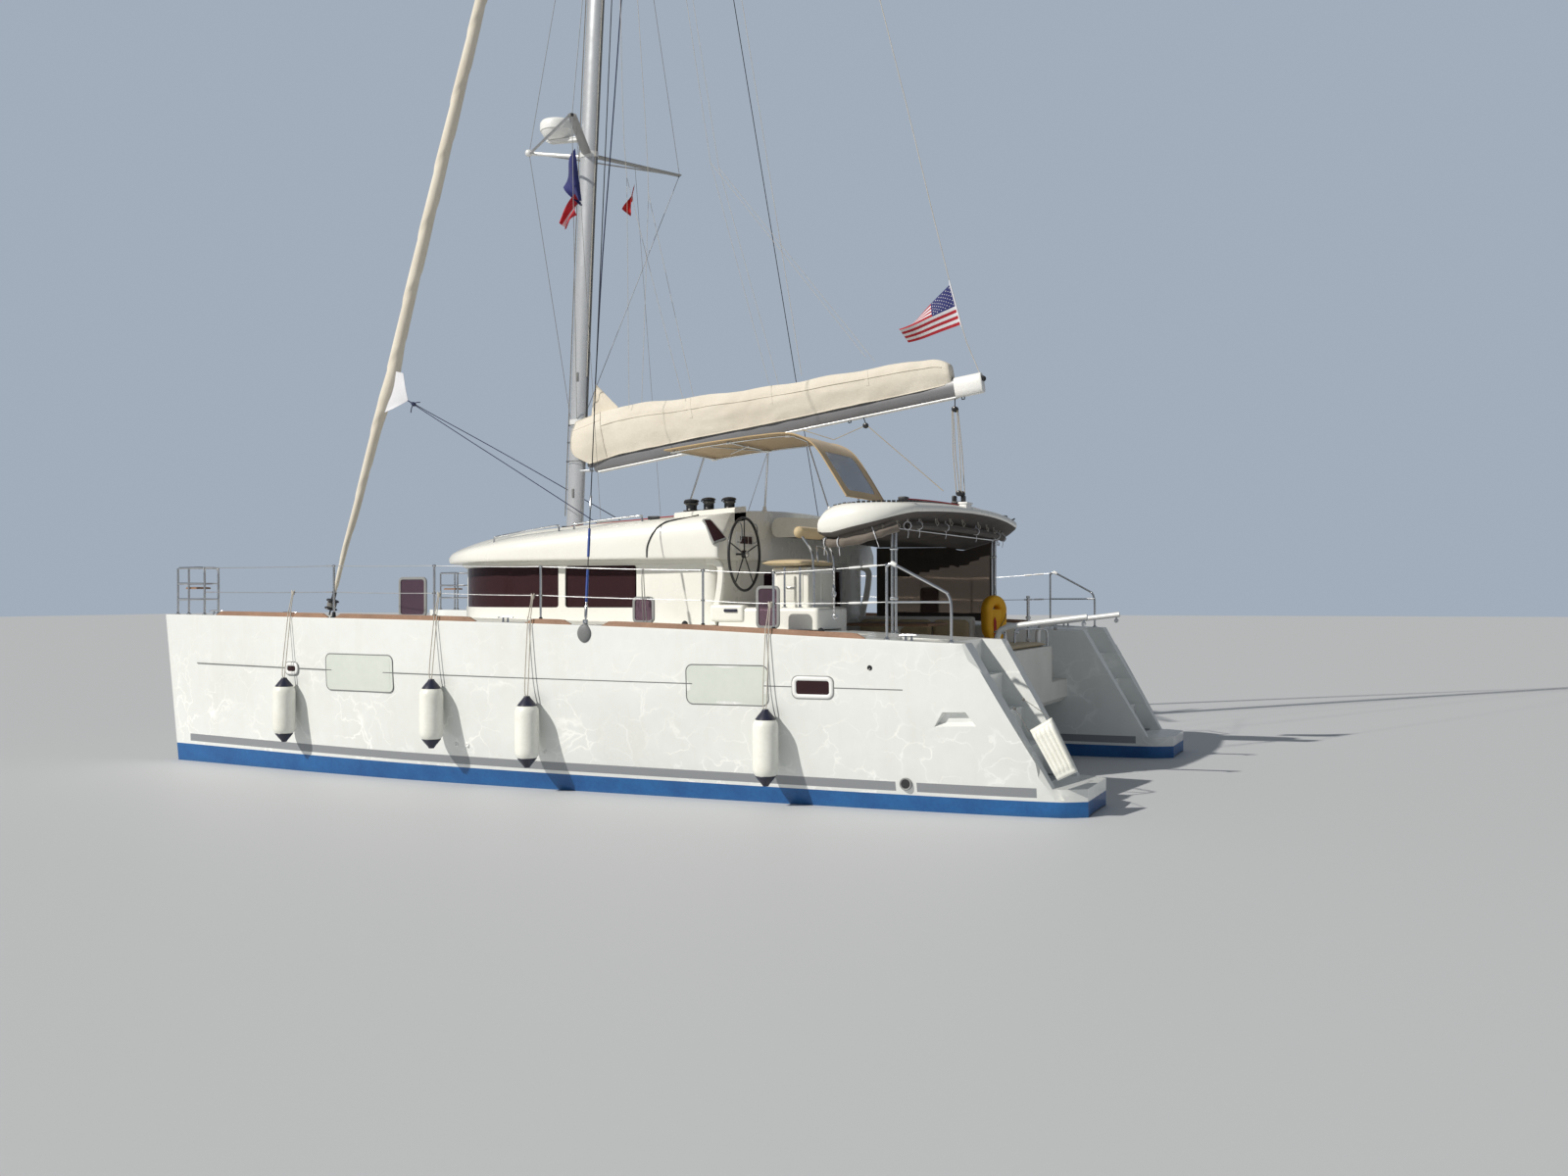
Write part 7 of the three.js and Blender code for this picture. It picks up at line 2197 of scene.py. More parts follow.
# stanchions, wires and the stern rail of each side
rails = {"stanchions": (2.78, 1.20, -0.23, -2.15, -2.92), "inset": 0.06, "tall": 0.61, "bowPost": (5.185, 2.86),
         "stern": [(-4.08, 3.45, 1.64), (-4.08, 3.45, 2.30), (-4.085, 3.45, 2.365), (-4.13, 3.447, 2.39),
                   (-4.19, 3.444, 2.365), (-4.62, 3.407, 2.135), (-4.675, 3.403, 2.095),
                   (-4.70, 3.40, 2.04), (-4.71, 3.40, 1.95), (-4.71, 3.40, 1.61)]}


# three points of a hanging wire between two places along the boat
def alongWire(a, b, x0, x1, sag=0.006):
    a, b, found = Vector(a), Vector(b), []
    for x in (x0, (x0 + x1) / 2, x1):
        t = (a.x - x) / (a.x - b.x)
        found.append(a.lerp(b, t) - Vector((0, 0, 4 * sag * t * (1 - t))))
    return found


def buildLifelines(name, side):
    tubes, wires, feet, caps, sleeves = Part(), Part(), Part(), Part(), Part()
    tops = []
    for x in rails["stanchions"]:
        y, z = line["deckOut"](x) - rails["inset"], line["sheer"](x)
        tubes.tube(softPath(mirrored([(x, y, z - 0.004), (x, y, z + 0.3), (x, y, z + rails["tall"] - 0.01)], side), 3),
                   0.0125, 10)
        tubes.lathe([(0.0125, -0.012), (0.0150, -0.008), (0.0145, 0.006), (0.006, 0.012), (0, 0.0125)],
                    (x, y * side, z + rails["tall"] - 0.006), (0, 0, 1), 12)
        feet.lathe([(0.038, -0.004), (0.040, 0.004), (0.036, 0.012), (0.022, 0.02), (0.019, 0.062), (0.0145, 0.066)],
                   (x, y * side, z), (0, 0, 1), 18)
        for lift in (-0.008, rails["tall"] / 2 - 0.008 - rails["tall"]):
            feet.lathe([(0.0075, -0.022), (0.0085, -0.018), (0.0085, 0.018), (0.0075, 0.022)],
                       (x, y * side, z + rails["tall"] + lift), (1, 0, 0), 10)
        tops.append((x, y, z + rails["tall"] - 0.008))
    for share in (1.0, 0.5):
        start = (rails["bowPost"][0], rails["bowPost"][1], 1.857 + rails["tall"] * share - 0.02)
        spots = [(x, y, z - rails["tall"] * (1 - share)) for x, y, z in tops]
        end = (-4.08, 3.45, 1.66 + 0.72 * share)
        path = []
        for a, b in zip([start] + spots, spots + [end]):
            path += hanging(a, b, 0.006, 6)[:-1]
        wires.tube(mirrored(path + [Vector(end)], side), 0.0042, 6)
        for x0, x1 in ((start[0] - 0.02, start[0] - 0.16), (spots[0][0] + 0.14, spots[0][0] + 0.02)):
            wires.tube(mirrored(alongWire(start, spots[0], x0, x1), side), 0.0075, 8)
        for x0, x1 in ((-3.70, -3.82), (-3.84, -3.985)):
            sleeves.tube(mirrored(alongWire(spots[-1], end, x0, x1), side), [0.0105, 0.0125, 0.0105], 10)
    tubes.tube(mirrored(softPath(rails["stern"], 5), side), 0.0135, 12)
    tubes.tube(mirrored([(-4.08, 3.45, 2.02), (-4.71, 3.40, 2.02)], side), 0.0105, 10)
    for x, y in ((-4.08, 3.45), (-4.71, 3.40)):
        tubes.lathe([(0.034, -0.004), (0.034, 0.006), (0.018, 0.012), (0.0155, 0.03)], (x, y * side, line["sheer"](x)),
                    (0, 0, 1), 16)
    caps.lathe([(0.018, -0.03), (0.022, -0.02), (0.022, 0.02), (0.018, 0.03)], (-4.15, 3.446 * side, 2.386),
               (-0.86, 0, -0.5), 14)
    finish(f"railTubes_{name}", tubes, "steel", stands=f"lifelines_{name}")
    finish(f"railWires_{name}", wires, "wire")
    finish(f"railFeet_{name}", feet, "black")
    finish(f"railSleeves_{name}", sleeves, "whitePlastic")
    finish(f"railCaps_{name}", caps, "whitePlastic")


# horn cleats of two sizes along the deck edge
cleats = [{"at": (5.02, 3.60), "inset": 0.10, "reach": 0.11, "knee": 0.06, "tip": 0.045, "top": 0.05, "thick": 0.010,
           "leg": 0.035, "legTop": 0.048, "legThick": 0.016},
          {"at": (0.23, -4.30), "inset": 0.075, "reach": 0.10, "knee": 0.05, "tip": 0.05, "top": 0.055, "thick": 0.0095,
           "leg": 0.03, "legTop": 0.052, "legThick": 0.015}]

# bow rail with its little corner seat
bow = {"deck": 1.84, "top": 2.45, "corners": [(5.20, 2.86), (5.78, 2.73), (5.30, 2.53)], "mid": (5.54, 2.784)}


def buildBowRail(name, side):
    tubes, seat = Part(), Part()
    top = [(x, y, bow["top"]) for x, y in bow["corners"]]
    (x0, y0, z), (x1, y1, _), (x2, y2, _) = top
    near = lambda a, b, t: tuple(p + (q - p) * t for p, q in zip(a, b))
    path = [(x0, y0, bow["deck"] - 0.01), (x0, y0, z - 0.07), (x0 + 0.012, y0 - 0.003, z - 0.018),
            near(top[0], top[1], 0.12)]
    path += [near(top[0], top[1], 0.5), near(top[0], top[1], 0.88), (x1 - 0.022, y1 - 0.012, z),
             near(top[1], top[2], 0.14), near(top[1], top[2], 0.5), near(top[1], top[2], 0.88)]
    path += [(x2 + 0.010, y2 + 0.004, z - 0.018), (x2, y2, z - 0.07), (x2, y2, bow["deck"] - 0.01)]
    tubes.tube(mirrored(softPath(path, 5), side), 0.0135, 12)
    tubes.tube(mirrored([(x1, y1, bow["deck"] - 0.01), (x1, y1, z - 0.004)], side), 0.0125, 10)
    tubes.tube(mirrored([(bow["mid"][0], bow["mid"][1], bow["deck"] - 0.01), (bow["mid"][0], bow["mid"][1], z)], side),
               0.0125, 10)
    for drop in (0.20, 0.40):
        tubes.tube(mirrored([(x0, y0, z - drop), (x1, y1, z - drop), (x2, y2, z - drop)], side), 0.0095, 10)
    for x, y in bow["corners"] + [bow["mid"]]:
        tubes.lathe([(0.034, -0.004), (0.034, 0.006), (0.018, 0.012), (0.0155, 0.03)], (x, y * side, line["sheer"](x)),
                    (0, 0, 1), 14)
    rings = []
    for inset, lift in ((0.0, 2.181), (0.0, 2.199), (0.006, 2.204), (0.03, 2.205), (0.05, 2.2035)):
        rings.append(mirrored([(5.385 + inset, 2.575 + inset, lift), (5.635 - inset, 2.62 + inset, lift),
                               (5.655 - inset, 2.70, lift), (5.62 - inset, 2.755 - inset, lift),
                               (5.40 + inset, 2.795 - inset, lift), (5.375 + inset, 2.70, lift)], side))
    seat.skin(rings)
    slat = Part()
    for y in (2.62, 2.66, 2.70, 2.74):
        slat.block((5.41, y * side - 0.004, 2.204), (5.61, y * side + 0.004, 2.2075), 0.001)
    finish(f"bowTubes_{name}", tubes, "steel", stands=f"bow_rail_{name}")
    finish(f"bowSeat_{name}", seat, "teak")
    finish(f"bowSeatGrooves_{name}", slat, "seam")
    horns = Part()
    for kind in cleats:
        for x in kind["at"]:
            y, z = line["deckOut"](x) - kind["inset"], line["sheer"](x)
            bar = [(x + kind["reach"], y, z + kind["tip"]), (x + kind["knee"], y, z + kind["top"]),
                   (x - kind["knee"], y, z + kind["top"]), (x - kind["reach"], y, z + kind["tip"])]
            horns.tube(mirrored(softPath(bar, 4), side), [0.006] + [kind["thick"]] * 11 + [0.006], 8)
            for dx in (-kind["leg"], kind["leg"]):
                leg = [(x + dx, y, z - 0.003), (x + dx, y, z + kind["legTop"])]
                horns.tube(mirrored(leg, side), [kind["legThick"], 0.009], 8)
    finish(f"cleats_{name}", horns, "steel")


for railName, railSide in bothSides:
    buildLifelines(railName, railSide)
    buildBowRail(railName, railSide)
print("rails built")


# deck hatch lids that stand open on their own hinges: frame, smoked pane, hinges and handle
def buildHatches(name, side):
    for hatch in deckHatches:
        label, half, deep = f"{hatch['at']}_{name}", hatch["wide"] / 2, hatch["deep"]
        z0 = line["sheer"](hatch["x"] + half * 0.7) + 0.008
        place = lambda x, out, z: Vector((hatch["x"] + x, (hatchHinge + out) * side, z0 + z))
        lidFrame, pane, metal = Part(), Part(), Part()
        rim = 0.030
        rows = []
        for inset, out in ((rim, -0.0255), (0.006, -0.0255), (0.0, -0.021), (0.0, -0.006), (0.005, -0.0005),
                           (rim, -0.0005)):
            outline = roundedOutline(-half + inset, half - inset, inset, deep - inset, max(0.012, 0.055 - inset * 0.8),
                                     5)
            rows.append([place(x, out, z) for x, z in outline])
        lidFrame.skin(rows + [rows[0]], caps=(False, False))
        outline = roundedOutline(-half + rim - 0.004, half - rim + 0.004, rim - 0.004, deep - rim + 0.004, 0.034, 5)
        pane.skin([[place(x, out, z) for x, z in outline] for out in (-0.019, -0.007)])
        body = f"hatch_{label}"
        finish(f"hatchFrame_{label}", lidFrame, "mouldedGrey", body, body, 30)
        finish(f"hatchPane_{label}", pane, "hatchGlass", body)
        for x in (-half * 0.55, half * 0.55):
            metal.tube([place(x - 0.03, 0, 0.0), place(x + 0.03, 0, 0.0)], 0.006, 12)
            metal.tube(softPath([place(x, -0.026, deep - 0.06), place(x, -0.036, deep - 0.065),
                                 place(x, -0.040, deep - 0.10), place(x, -0.034, deep - 0.13)], 3), 0.006, 8)
        metal.tube([place(-half + 0.02, -0.010, deep * 0.55), place(-half + 0.02, -0.010, deep * 0.60)], 0.008, 8)
        finish(f"hatchHinges_{label}", metal, "black", body)
        coaming = Part()
        zc = line["sheer"](hatch["x"])
        rows = []
        for inset, lift in ((-0.004, -0.004), (-0.004, 0.003), (0.004, 0.006), (0.026, 0.006), (0.030, 0.0),
                            (0.030, -0.03)):
            outline = roundedOutline(hatch["x"] - half + 0.008 + inset, hatch["x"] + half - 0.008 - inset,
                                     hatchHinge + 0.014 + inset, hatchHinge + deep - 0.004 - inset, 0.04, 5)
            rows.append([Vector((x, y * side, zc + lift)) for x, y in outline])
        coaming.skin(rows, caps=(False, False))
        finish(f"hatchCoaming_{label}", coaming, "mouldedGrey", sharp=30)


# lid over each engine bay, flush in its rebate
def buildEngineLid(name, side):
    zTop = line["sheer"](-4.3) - 0.0083
    x0, x1 = lidBay["x"][0] - 0.0235, lidBay["x"][1] + 0.0235
    y0, y1 = lidBay["y"][0] - 0.0235, lidBay["y"][1] + 0.0235
    lid, pad, ring, hinge = Part(), Part(), Part(), Part()
    rows = []
    for inset, z in ((0.01, zTop - 0.0285), (0.0, zTop - 0.022), (0.0, zTop - 0.006), (0.005, zTop - 0.001),
                     (0.012, zTop)):
        rows.append([Vector((x, y * side, z)) for x,
                     y in roundedOutline(x0 + inset, x1 - inset, y0 + inset, y1 - inset, 0.05, 5)])
    lid.skin(rows)
    rows = [[Vector((x, y * side, zTop + lift)) for x,
             y in roundedOutline(x0 + inset, x1 - inset, y0 + inset, y1 - inset, 0.05, 5)] for inset,
            lift in ((0.04, -0.001), (0.042, 0.002), (0.046, 0.0025))]
    pad.skin(rows)
    body = f"engine_lid_{name}"
    finish(f"engineLid_{name}", lid, "gelcoat", body, body, 30)
    finish(f"engineLidGrip_{name}", pad, "deckPaint", body)
    ring.lathe([(0.030, 0.0), (0.031, 0.004), (0.026, 0.005), (0.024, 0.002), (0.010, 0.002), (0.008, 0.006),
                (0, 0.0065)], (x0 + 0.09, (y0 + y1) / 2 * side, zTop + 0.0015), (0, 0, 1), 18)
    for y in (y0 + 0.12, y1 - 0.12):
        hinge.tube([(x1 + 0.016, (y - 0.03) * side, zTop + 0.011), (x1 + 0.016, (y + 0.03) * side, zTop + 0.011)],
                   0.006, 8)
    finish(f"engineLidLatch_{name}", ring, "steel", body)
    finish(f"engineLidHinge_{name}", hinge, "steel")


# raised non-skid panels of deck, roof and hardtop
def buildGrip():
    for name, side in bothSides:
        part = Part()
        for x0, x1, y0 in ((4.95, 3.70, 0.30), (3.55, 2.40, 0.20), (1.75, 0.10, 0.36), (0.02, -0.86, 0.34),
                           (-1.24, -2.32, 0.36),
                           (-2.74, -3.60, 0.36)):
            rows, under = [], []
            for k in range(13):
                x = x0 + (x1 - x0) * k / 12
                a, b = line["deckIn"](x) + 0.07, line["deckOut"](x) - 0.13
                inner, outer = a + (b - a) * y0, b
                if x < 2.3:
                    inner = max(inner, 2.42)
                if -3.7 < x < -1.6:
                    inner = max(inner, 2.50)
                end = 0.02 if k in (0, 12) else 0
                row = [(x, (inner + end + (outer - inner - 2 * end) * j / 6) * side) for j in range(7)]
                rows.append([Vector((px, py, line["sheer"](px) + 0.0022)) for px, py in row])
                under.append([Vector((px, py, line["sheer"](px) - 0.004)) for px, py in row])
            part.slab(rows, under)
        made = finish(f"deckGrip_{name}", part, "deckPaint")
        for hatch in deckHatches:
            half = hatch["wide"] / 2
            low, high = sidesOf((hatch["x"] - half - 0.01, hatchHinge - 0.02, 1.5),
                                (hatch["x"] + half + 0.01, hatchHinge + hatch["deep"] + 0.02, 2.2), side)
            carve(made, [blockPart(low, high)])
    roofGrip = Part()
    for x0, x1, y0, y1 in ((2.0, 1.85, 0.2, 1.5), (1.10, -0.15, 0.95, 2.15), (-0.30, -0.92, 0.2, 1.22),
                           (-0.30, -1.0, 2.12, 2.3), (-1.15, -1.72, 0.2, 1.15)):
        for side in (1, -1):
            rows, under = [], []
            for i in range(9):
                x = x0 + (x1 - x0) * i / 8
                row = [(x, (y0 + (y1 - y0) * j / 8) * side) for j in range(9)]
                rows.append([Vector((px, py, roofTop(px, abs(py)) + 0.0025)) for px, py in row])
                under.append([Vector((px, py, roofTop(px, abs(py)) - 0.004)) for px, py in row])
            roofGrip.slab(rows, under)
    finish("roofGrip", roofGrip, "deckPaint")
    ports = Part()
    for x, y in ((0.45, 0.62), (0.45, -0.62), (1.75, 0.0)):
        z = roofTop(x, abs(y)) + 0.004
        rows = [[Vector((px, py, z + lift)) for px,
                 py in roundedOutline(x - 0.27 + inset, x + 0.27 - inset, y - 0.24 + inset, y + 0.24 - inset, 0.06, 5)]
                for inset, lift in ((0.0, -0.03), (0.0, 0.018), (0.006, 0.026), (0.035, 0.028))]
        ports.look = 0
        ports.skin(rows, caps=(True, False))
        ports.look = 1
        ports.skin([[Vector((px, py, z + lift)) for px,
                     py in roundedOutline(x - 0.235, x + 0.235, y - 0.205, y + 0.205, 0.04, 5)]
                    for lift in (0.0, 0.027)])
    finish("roofHatches", ports, ("mouldedGrey", "portlight"), sharp=30)
    hand = Part()
    for side in (1, -1):
        for x0, x1 in ((1.25, 0.35), (0.15, -0.75)):
            y = 2.28
            zs = [roofTop(x, y) for x in (x0, x1)]
            hand.tube(softPath([(x0, y * side, zs[0] - 0.004), (x0 - 0.01, y * side, zs[0] + 0.05),
                                (x0 - 0.05, y * side, zs[0] + 0.065),
                                ((x0 + x1) / 2, y * side, (zs[0] + zs[1]) / 2 + 0.068),
                                (x1 + 0.05, y * side, zs[1] + 0.065), (x1 + 0.01, y * side, zs[1] + 0.05),
                                (x1, y * side, zs[1] - 0.004)], 5), 0.0115, 10)
    finish("roofHandrails", hand, "steel")


for deckName, deckSide in bothSides:
    buildHatches(deckName, deckSide)
    buildEngineLid(deckName, deckSide)
buildGrip()
print("deck fitted")

# between the bows: beam, walkway, nets and anchor
foredeck = {"beam": (5.62, 1.66, 0.0815), "reach": 2.70, "walk": (3.256, 5.535, 0.249), "net": 0.075,
            "netRadius": 0.0035}


def netOuter(x):
    return min(2.195 + (x - 3.256) * 0.2075, line["deckIn"](x)) - 0.045


def buildForedeck():
    x, z, r = foredeck["beam"]
    beam = Part()
    beam.tube([(x, -foredeck["reach"], z), (x, -1.0, z), (x, 1.0, z), (x, foredeck["reach"], z)], r, 40)
    beam.block((x - 0.10, -0.11, z + r - 0.012), (x + 0.13, 0.11, z + r + 0.002), 0.004)
    finish("beamTube", beam, "spar", stands="forward_beam", sharp=50)
    fittings = Part()
    for side in (1, -1):
        fittings.lathe([(r + 0.002, -0.02), (r + 0.012, -0.01), (r + 0.012, 0.04), (r + 0.002, 0.05)],
                       (x, side * 2.33, z), (0, side, 0), 32)
        for y in (0.55, 1.1, 1.65, 2.2):
            fittings.tube(softPath([(x - r + 0.004, side * y - 0.02, z + 0.02),
                                    (x - r - 0.016, side * y - 0.016, z + 0.024),
                                    (x - r - 0.016, side * y + 0.016, z + 0.024),
                                    (x - r + 0.004, side * y + 0.02, z + 0.02)], 3), 0.0035, 6)
    finish("beamFittings", fittings, "steel")
    walk, pads, spine = Part(), Part(), Part()
    x0, x1, half = foredeck["walk"]
    rows = []
    for inset, lift in ((0.02, 1.6905), (0.0, 1.70), (0.0, 1.728), (0.006, 1.736), (0.02, 1.739)):
        rows.append([(px, py, lift) for px,
                     py in roundedOutline(x0 + inset, x1 - inset, -half + inset, half - inset, 0.05, 4)])
    walk.skin(rows)
    spine.skin([[Vector((px, w * s, zz)) for s,
                 zz in ((-1, 1.70), (-0.9, 1.585), (-0.6, 1.562), (0.6, 1.562), (0.9, 1.585), (1, 1.70))] for px,
                w in ((x0, 0.089), (5.52, 0.089))])
    finish("walkSpine", spine, "gelcoat")
    finish("walkTop", walk, "gelcoat", stands="catwalk")
    for a, b in ((3.32, 3.92), (4.60, 5.00), (5.06, 5.48)):
        for lo, hi in ((-0.215, -0.012), (0.012, 0.215)):
            rows = [[(px, py, lift) for px, py in roundedOutline(a + inset, b - inset, lo + inset, hi - inset, 0.03, 4)]
                    for inset, lift in ((0.0, 1.7385), (0.004, 1.7398))]
            pads.skin(rows)
    finish("walkNonSkid", pads, "deckPaint")
    gear = Part()
    gear.block((4.02, -0.10, 1.7385), (4.50, 0.10, 1.7399), 0.001)
    gear.tube([(4.12, -0.03, 1.7395), (4.12, 0.03, 1.7395)], 0.0005, 6)
    finish("walkHatch", gear, "seam")


def buildNet(name, side):
    x0, x1, y0 = 3.30, 5.50, 0.30
    step = foredeck["net"]
    z = 1.719
    points, edges, index = [], [], {}

    def vertex(i, j):
        if (i, j) not in index:
            x = min(x1, x0 + i * step)
            index[(i, j)] = len(points)
            points.append(Vector((x, min(netOuter(x), y0 + j * step) * side, z)))
        return index[(i, j)]
    wide = int((x1 - x0) / step + 0.99)
    for i in range(wide + 1):
        x = min(x1, x0 + i * step)
        deep = int((netOuter(x) - y0) / step + 0.99)
        for j in range(deep):
            edges.append((vertex(i, j), vertex(i, j + 1)))
    for i in range(wide):
        xa, xb = min(x1, x0 + i * step), min(x1, x0 + (i + 1) * step)
        for j in range(min(int((netOuter(xa) - y0) / step + 0.99), int((netOuter(xb) - y0) / step + 0.99)) + 1):
            edges.append((vertex(i, j), vertex(i + 1, j)))
    grow(f"netStrands_{name}", points, edges, strandTree,
         {"Radius": foredeck["netRadius"], "Sides": 4, "Finish": paint["whitePlastic"]}, "boat",
         f"trampoline_{name}")
    hem, lace = Part(), Part()
    rim = [(x0, y0), (x1, y0)] + [(x1 - (x1 - x0) * k / 12, netOuter(x1 - (x1 - x0) * k / 12))
                                  for k in range(13)] + [(x0, y0)]
    hem.tube([Vector((x, y * side, z)) for x, y in rim], 0.0038, 8)
    finish(f"netHem_{name}", hem, "ropeWhite")
    # lacing to the beam, the walkway and the deck
    for count, spot in ((30, lambda k, t: (x1 if k % 2 else 5.5365, y0 + (netOuter(x1) - y0) * t)),
                        (30, lambda k, t: (x0 + (x1 - x0) * t, y0 if k % 2 else 0.253)),
                        (28, lambda k, t: (x0 if k % 2 else 3.254, y0 + (netOuter(x0) - y0) * t))):
        zig = [spot(k, k / count) for k in range(count + 1)]
        lace.tube([(x, y * side, z) for x, y in zig], 0.003, 6)
    finish(f"netLacing_{name}", lace, "ropeWhite")


def buildAnchor():
    shank, fluke = Part(), Part()
    shank.prism([(4.30, -0.0115, 1.555), (5.10, -0.0115, 1.557), (5.15, -0.0115, 1.535), (5.145, -0.0115, 1.505),
                 (5.08, -0.0115, 1.49), (4.62, -0.0115, 1.472), (4.40, -0.0115, 1.472)], (0, 0.023, 0))
    shank.lathe([(0.010, -0.03), (0.014, -0.028), (0.014, 0.028), (0.010, 0.03)], (5.115, 0, 1.525), (0, 1, 0), 12)
    ridge = softPath([(4.20, 0, 1.50), (4.30, 0, 1.535), (4.48, 0, 1.50), (4.62, 0, 1.42), (4.735, 0, 1.345)], 4)
    for side in (1, -1):
        top, under = [], []
        for k, p in enumerate(ridge):
            t = k / (len(ridge) - 1)
            wide = 0.148 * math.sin(math.pi * min(1.0, 0.22 + 0.78 * (1 - t))) ** 0.7 if t < 0.98 else 0.02
            wide = min(0.148, max(0.02, wide))
            row = [Vector((p.x - 0.05 * s, side * wide * s, p.z - 0.075 * s ** 1.6)) for s in (0, 0.25, 0.5, 0.75, 1)]
            top.append([q + Vector((0, 0, 0.004)) for q in row])
            under.append([q - Vector((0, 0, 0.004)) for q in row])
        fluke.slab(top, under)
    finish("anchorShank", shank, "iron", stands="anchor", sharp=30)
    finish("anchorFluke", fluke, "iron", sharp=50)


buildForedeck()
for netName, netSide in bothSides:
    buildNet(netName, netSide)
buildAnchor()
print("foredeck built")

# davits and what hangs at the stern
davits = {"y": 0.95, "arm": [(-4.50, 1.452), (-4.50, 1.58), (-4.507, 1.635), (-4.54, 1.69), (-4.60, 1.722),
                             (-4.66, 1.737), (-5.0, 1.781), (-5.498, 1.844)]}


def buildDavit(name, side):
    arm, gear = Part(), Part()
    y = davits["y"] * side
    path = softPath([(x, y, z) for x, z in davits["arm"]], 6)
    arm.tube(path, 0.0315, 24)
    rows = []
    for inset, lift in ((0.0, 1.4505), (0.0, 1.456), (0.004, 1.4605), (0.02, 1.4615)):
        rows.append([Vector((px, y + py, lift)) for px,
                     py in roundedOutline(-4.59 + inset, -4.41 - inset, -0.09 + inset, 0.09 - inset, 0.02, 3)])
    arm.skin(rows)
    arm.lathe([(0.046, 0), (0.046, 0.008), (0.036, 0.02), (0.034, 0.05)], (-4.50, y, 1.459), (0, 0, 1), 24)
    finish(f"davitArm_{name}", arm, "spar", stands=f"davit_{name}", sharp=45)
    for dx in (-0.065, 0.065):
        for dy in (-0.065, 0.065):
            gear.lathe([(0.0, 0.010), (0.006, 0.009), (0.009, 0.005), (0.009, 0.0)], (-4.50 + dx, y + dy, 1.461),
                       (0, 0, 1), 10)
    for x in (-4.72, -5.46):
        z = 1.745 + (-4.72 - x) * 0.1277
        gear.block((x - 0.012, y - 0.005, z - 0.075), (x + 0.012, y + 0.005, z - 0.028), 0.003)
        gear.lathe([(0.012, -0.010), (0.026, -0.009), (0.020, 0.0), (0.026, 0.009), (0.012, 0.010)], (x, y, z - 0.072),
                   (0, 1, 0), 18)
    finish(f"davitBlocks_{name}", gear, "steel")


for davitName, davitSide in bothSides:
    buildDavit(davitName, davitSide)


def buildSternGear():
    pole, clamps = Part(), Part()
    x, y = -4.38, -0.95
    pole.tube([(x, y, 1.452), (x, y, 2.06)], 0.019, 14)
    pole.lathe([(0.019, 0), (0.024, 0.004), (0.024, 0.02), (0, 0.026)], (x, y, 2.045), (0, 0, 1), 14)
    finish("sternPole", pole, "steel")
    for z in (1.53, 1.80):
        clamps.lathe([(0.020, -0.018), (0.032, -0.014), (0.032, 0.014), (0.020, 0.018)], (x, y, z), (0, 0, 1), 16)
    clamps.block((x - 0.02, y - 0.02, 1.4505), (x + 0.02, y + 0.02, 1.47), 0.004)
    finish("sternPoleClamps", clamps, "whitePlastic")


buildSternGear()

# horseshoe buoy in its cover, hung by the starboard post
buoy = {"x": -3.762, "y": -1.62, "low": 1.455, "high": 2.085, "half": 0.19, "tube": 0.062, "turn": math.radians(58)}


# one part turned about the buoy's upright axis, so that it hangs edge on to the quarter
def turnBuoy(part):
    spin = Matrix.Rotation(buoy["turn"], 4, "Z")
    at = Matrix.Translation((buoy["x"], buoy["y"], 0))
    bmesh.ops.transform(part.bm, matrix=at @ spin @ at.inverted(), verts=part.bm.verts)
    return part


